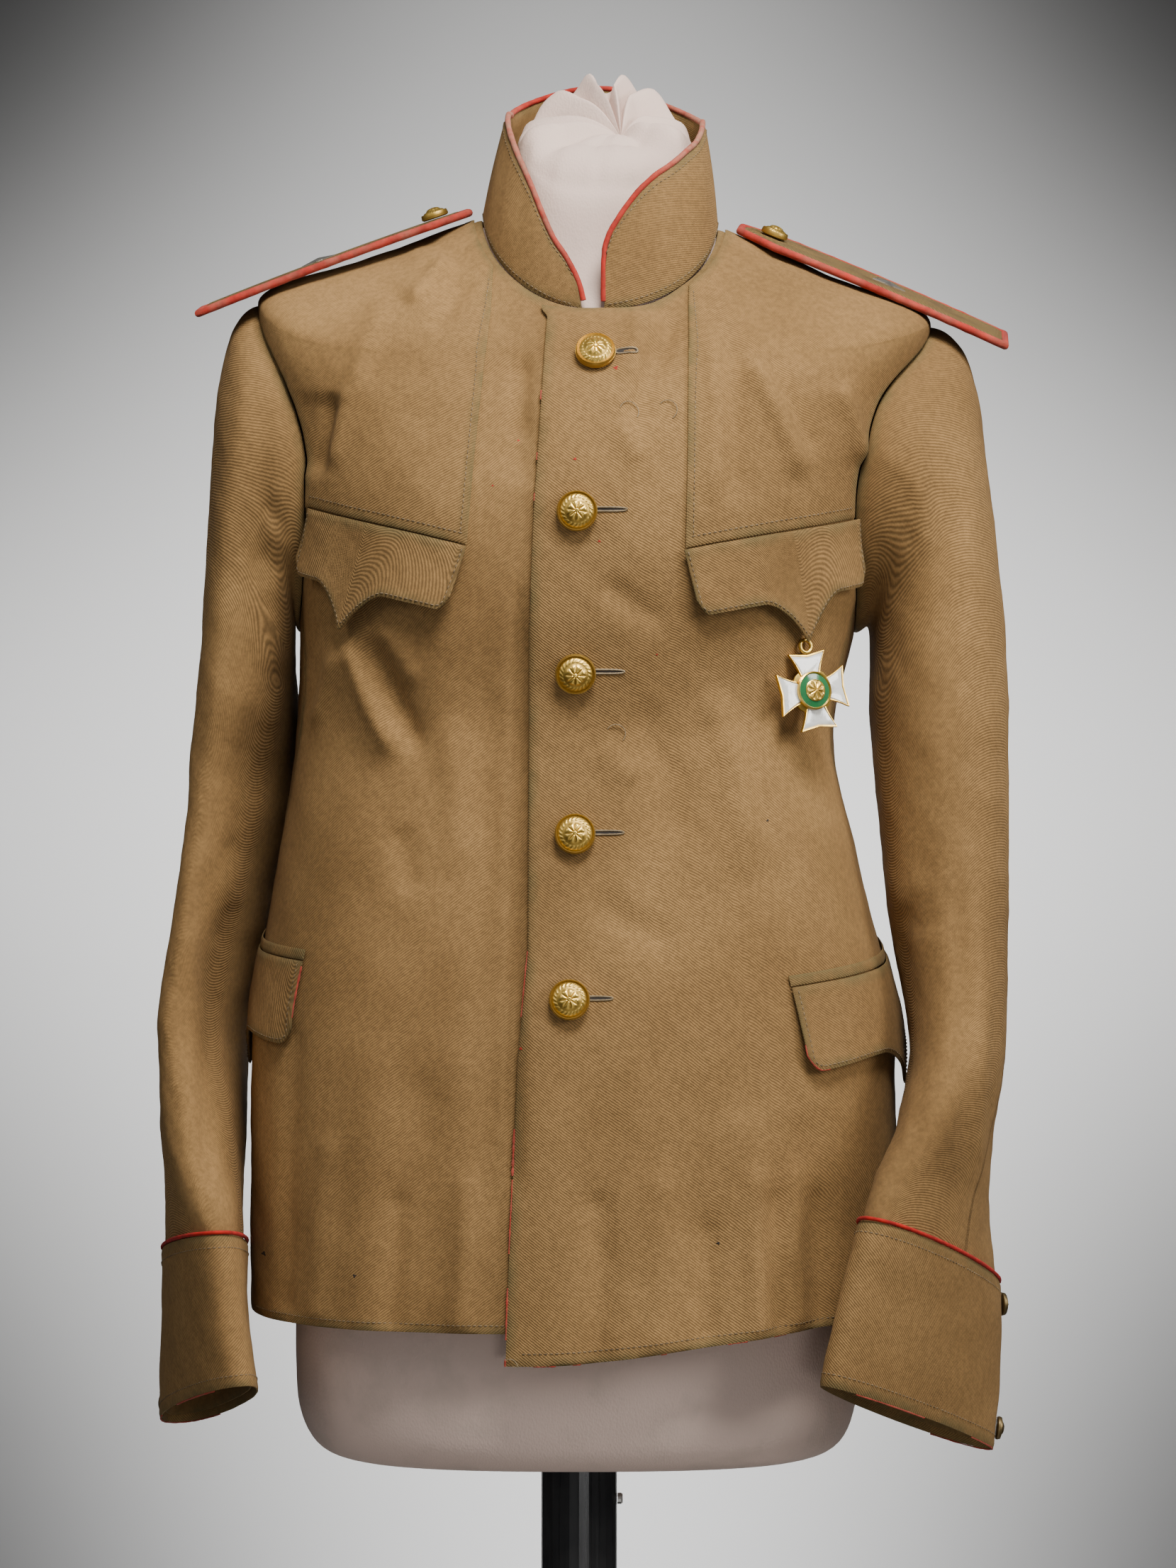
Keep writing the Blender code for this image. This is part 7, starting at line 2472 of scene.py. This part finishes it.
@dataclass
class DressForm:
    """The padded form in cream jersey, its neck cover folded in to a hollow."""

    finishes: Finishes
    below: tuple[tuple[float, ...], ...] = (
        (-0.105, 0.104, 0.060, 0.055, 0.0, 0.3130, 0.3130, 0.3130),
        (-0.132, 0.131, 0.088, 0.080, 0.0, 0.3150, 0.3150, 0.3150),
        (-0.148, 0.147, 0.103, 0.094, 0.0, 0.3230, 0.3230, 0.3230),
        (-0.157, 0.155, 0.110, 0.101, 0.0, 0.3420, 0.3420, 0.3420),
        (-0.159, 0.157, 0.112, 0.103, 0.0, 0.3700, 0.3700, 0.3700),
    )
    neck: tuple[tuple[float, ...], ...] = (
        (-0.041, 0.0635, 0.0565, 0.0425, 0.0125, 0.9800, 1.0220, 1.0400),
        (-0.035, 0.064, 0.050, 0.039, 0.0145, 1.0100, 1.0430, 1.0700),
        (-0.034, 0.063, 0.045, 0.037, 0.0145, 1.0200, 1.0520, 1.0840),
        (-0.029, 0.058, 0.040, 0.032, 0.0145, 1.0255, 1.0570, 1.0880),
        (-0.012, 0.041, 0.022, 0.016, 0.0145, 1.0420, 1.0600, 1.0780),
    )
    ease: tuple[float, ...] = (
        0.025, 0.024, 0.0235, 0.016, 0.0115, 0.0110, 0.0105, 0.0085, 0.0062, 0.0052, 0.0044,
    )
    sides: int = 160
    rows: int = 150
    hollow_rows: int = 14
    gather: float = 0.0008
    rim: float = 0.0095
    folds: tuple[tuple[float, float, float], ...] = (
        (12.0, 16.0, 0.0015), (48.0, 10.0, -0.0035), (66.0, 9.0, 0.0040), (84.0, 6.0, -0.0050),
        (102.0, 9.0, 0.0060), (119.0, 5.0, -0.0060), (134.0, 9.0, 0.0075), (148.0, 5.0, -0.0070),
        (161.0, 8.0, 0.0095), (178.0, 8.0, -0.0065), (196.0, 9.0, 0.0095), (211.0, 5.0, -0.0075),
        (226.0, 10.0, 0.0060), (243.0, 5.0, -0.0060), (258.0, 10.0, 0.0060), (277.0, 5.0, -0.0050),
        (293.0, 9.0, 0.0040), (311.0, 8.0, -0.0035), (333.0, 14.0, 0.0015),
    )
    apex: tuple[float, float, float] = (0.0235, -0.004, 1.0540)

    def measured(self, row: Sequence[float], u: Array) -> Array:
        """A ring from one row of sizes."""
        left, right, front, back, middle, z_front, z_side, z_back = row
        across = np.sin(np.radians(u))
        along = -np.cos(np.radians(u))
        half_x = np.where(across > 0, right - middle, middle - left)
        half_y = np.where(along < 0, front, back)
        power = SHELL.squareness
        reach = ((np.abs(across) / half_x) ** power + (np.abs(along) / half_y) ** power) ** (-1 / power)
        z_end = np.where(along < 0, z_front, z_back)
        return np.stack(
            [middle + reach * across, reach * along, z_end + (z_side - z_end) * across**4], axis=-1
        )

    def build(self) -> None:
        """Makes the form's cover."""
        u = np.arange(self.sides) * 360.0 / self.sides
        stations = [self.measured(row, u) for row in self.below]
        for level in range(len(self.ease)):
            for part in (0.0, 0.5):
                v = level + part
                if v <= SHELL.neck:
                    stations.append(SHELL.points(u, v) - SHELL.normals(u, v) * smooth(self.ease, v))
        first_neck = len(stations)
        stations += [self.measured(row, u) for row in self.neck]
        columns = np.array(stations)
        steps = np.linspace(0.0, len(columns) - 1.0, self.rows)
        grid = np.stack([self.spline(columns[..., k], steps) for k in range(3)], axis=-1)
        rise = ramp(first_neck + 0.2, len(columns) - 1.0, steps)[:, None]
        pleats = np.sin(np.radians(u) * 19 + 0.6 * np.sin(np.radians(u) * 3)) * 0.7
        pleats += np.sin(np.radians(u) * 31 + 1.0) * 0.3
        outward = unit(grid - grid.mean(axis=1, keepdims=True))
        grid = grid + outward * (rise * self.gather * pleats[None, :])[..., None]
        lift = np.zeros(len(u))
        for place, width, height in self.folds:
            away = (u - place + 180.0) % 360.0 - 180.0
            lift += height * np.exp(-((away / width) ** 2))
        grid[..., 2] += ramp(first_neck + 1.6, len(columns) - 1.4, steps)[:, None] * lift
        front = np.clip(np.cos(np.radians(u)), 0.0, 1.0) ** 0.7
        edge = np.exp(-(((steps - (len(columns) - 1.7)) / 0.75) ** 2))
        grid[..., 2] += self.rim * edge[:, None] * front
        self.close(grid, lift)

    def spline(self, values: Array, steps: Array) -> Array:
        """Catmull-Rom through rows of values."""
        padded = np.concatenate([values[:1], values, values[-1:]])
        row = np.minimum(steps.astype(int), len(values) - 2)
        t = (steps - row)[:, None]
        a, b, c, d = (padded[row + k] for k in range(4))
        return 0.5 * (
            2 * b + (c - a) * t + (2 * a - 5 * b + 4 * c - d) * t**2 + (3 * b - a - 3 * c + d) * t**3
        )

    def close(self, grid: Array, lift: Array) -> None:
        """Caps the cover: folds that run in to the hollow, and a flat underside."""
        apex = np.array(self.apex)
        rows = [grid]
        for share in np.linspace(0.0, 1.0, self.hollow_rows)[1:-1]:
            ring = grid[-1] + (apex - grid[-1]) * share
            ring[:, 2] += 0.75 * lift * share * (1 - share) + 0.0035 * math.sin(math.pi * share)
            rows.append(ring[None])
        full = np.concatenate(rows)
        count = self.sides
        points = np.concatenate([full.reshape(-1, 3), [apex], [[0.0, 0.0, full[0, 0, 2]]]])
        row, side = np.meshgrid(np.arange(len(full) - 1), np.arange(count), indexing="ij")
        after = (side + 1) % count
        quads = np.stack([row * count + side, row * count + after, (row + 1) * count + after,
                          (row + 1) * count + side], axis=-1).reshape(-1, 4).tolist()
        top = (len(full) - 1) * count
        quads += [(top + k, top + (k + 1) % count, len(points) - 2) for k in range(count)]
        quads += [((k + 1) % count, k, len(points) - 1) for k in range(count)]
        piece = plain_mesh("form_cover", points, quads, 60.0)
        settle(piece, self.finishes.jersey, "form_jersey", "form")


@dataclass
class Stand:
    """The pole, its set screw and the base plate, dressed as they stand."""

    finishes: Finishes

    def build(self) -> None:
        """Dresses the stand's own solids."""
        for node, material in (("pole", self.finishes.paint), ("base_plate", self.finishes.paint)):
            self.dress(node, material)
        self.dress("set_screw", self.finishes.steel)
        mark_points(frame["nodes"]["set_screw"], "relief", 1.0)

    def dress(self, node: str, material: bpy.types.Material) -> None:
        """Puts a material in a node's slots."""
        thing = frame["nodes"][node]
        for place in thing.material_slots:
            place.material = material


@dataclass
class Studio:
    """The pale floor and backdrop, the soft lights and the camera."""

    finishes: Finishes
    eye: tuple[float, float, float] = (0.005, -2.6, 0.69)
    lens: float = 105.8
    sensor: float = 36.0
    wall_y: float = 1.7
    curve: float = 0.9
    half_width: float = 4.5
    height: float = 4.5

    def build(self) -> None:
        """Makes the studio."""
        self.backdrop()
        self.lights()
        self.camera()

    def backdrop(self) -> None:
        """A floor that curves up into a wall."""
        profile = [(-5.0, 0.0), (self.wall_y - self.curve, 0.0)]
        for turn in np.radians(np.linspace(8.0, 90.0, 14)):
            profile.append(
                (self.wall_y - self.curve + self.curve * math.sin(turn), self.curve * (1 - math.cos(turn)))
            )
        profile.append((self.wall_y, self.height))
        points = [(x, y, z) for y, z in profile for x in (-self.half_width, self.half_width)]
        faces = [(2 * k, 2 * k + 1, 2 * k + 3, 2 * k + 2) for k in range(len(profile) - 1)]
        sweep = plain_mesh("studio_sweep", np.array(points), faces)
        sweep.data.materials.append(self.finishes.paper)

    def area(
        self, name: str, place: Sequence[float], aim: Sequence[float], size: tuple[float, float],
        watts: float, tint: Colour = (1.0, 1.0, 1.0),
    ) -> None:
        """A soft box aimed at a point."""
        light = bpy.data.lights.new(name, "AREA")
        light.shape = "RECTANGLE"
        light.size, light.size_y = size
        light.energy = watts
        light.color = tint
        thing = bpy.data.objects.new(name, light)
        thing.location = place
        thing.rotation_euler = (Vector(aim) - Vector(place)).to_track_quat("-Z", "Y").to_euler()
        bpy.context.collection.objects.link(thing)

    def lights(self) -> None:
        """Soft boxes left and right, a weak top light and one on the backdrop."""
        warm = (1.0, 0.975, 0.94)
        self.area("box_left", (-1.60, -1.10, 1.90), (0.0, 0.0, 0.80), (0.6, 0.9), 7.0, warm)
        self.area("box_right", (1.95, -1.10, 1.45), (0.0, 0.0, 0.75), (0.6, 1.1), 32.0, warm)
        self.area("box_top", (0.30, -0.95, 2.15), (0.0, 0.0, 0.95), (0.8, 0.5), 47.0, warm)
        self.area("box_low", (0.40, -2.30, 0.20), (0.0, 0.0, 0.33), (0.5, 0.3), 5.0)
        self.area("box_wall", (0.0, 0.55, 0.25), (0.0, 1.7, 0.95), (0.5, 0.5), 17.0)
        world = bpy.data.worlds.new("studio_world")
        world.use_nodes = True
        bpy.context.scene.world = world
        world.node_tree.nodes["Background"].inputs["Color"].default_value = (0.80, 0.84, 0.90, 1.0)
        world.node_tree.nodes["Background"].inputs["Strength"].default_value = 0.26

    def camera(self) -> None:
        """The camera at the photograph's place."""
        lens = bpy.data.cameras.new("photo_camera")
        lens.lens = self.lens
        lens.sensor_width = self.sensor
        thing = bpy.data.objects.new("photo_camera", lens)
        thing.location = self.eye
        thing.rotation_euler = (math.radians(90.0), 0.0, 0.0)
        bpy.context.collection.objects.link(thing)
        bpy.context.scene.camera = thing


def build_parts(finishes: Finishes) -> list[Callable[[], object]]:
    """The scene's parts in the order they are made.

    Args:
        finishes: The materials.

    Returns:
        A function to call for each part.
    """
    threads = ThreadRuns("seam_stitches")
    parts: list[Callable[[], object]] = [
        BodyPanels(finishes, threads).build,
        Collar(finishes, threads).build,
        FrontClosure(finishes).build,
        WearMarks(finishes).build,
        Badge(finishes).build,
        DressForm(finishes).build,
        Stand(finishes).build,
        Studio(finishes).build,
    ]
    red = {Side.RIGHT: ((0.80, 0.98),), Side.LEFT: ((0.20, 0.30),)}
    for side in Side:
        parts.append(Sleeve(side, finishes, threads).build)
        parts.append(PocketFlap(f"breast_flap_{side.label}", BREAST_FLAPS[side], finishes, threads).build)
        hip = PocketFlap(f"hip_flap_{side.label}", HIP_FLAPS[side], finishes, threads, red_edge=red[side])
        parts.append(hip.build)
        parts.append(HipWelt(side, finishes).build)
        parts.append(ShoulderBoard(side, finishes).build)
    parts.append(partial(threads.build, finishes.thread))
    return parts


def main() -> None:
    """Builds the scene and reports each piece."""
    logging.basicConfig(level=logging.INFO, format="%(message)s")
    for build in build_parts(Finishes()):
        before = set(bpy.data.objects)
        build()
        for piece in sorted(set(bpy.data.objects) - before, key=lambda thing: thing.name):
            if piece.type == "MESH":
                LOG.info("%s: %d faces", piece.name, len(piece.data.polygons))


if __name__ == "__main__":
    main()
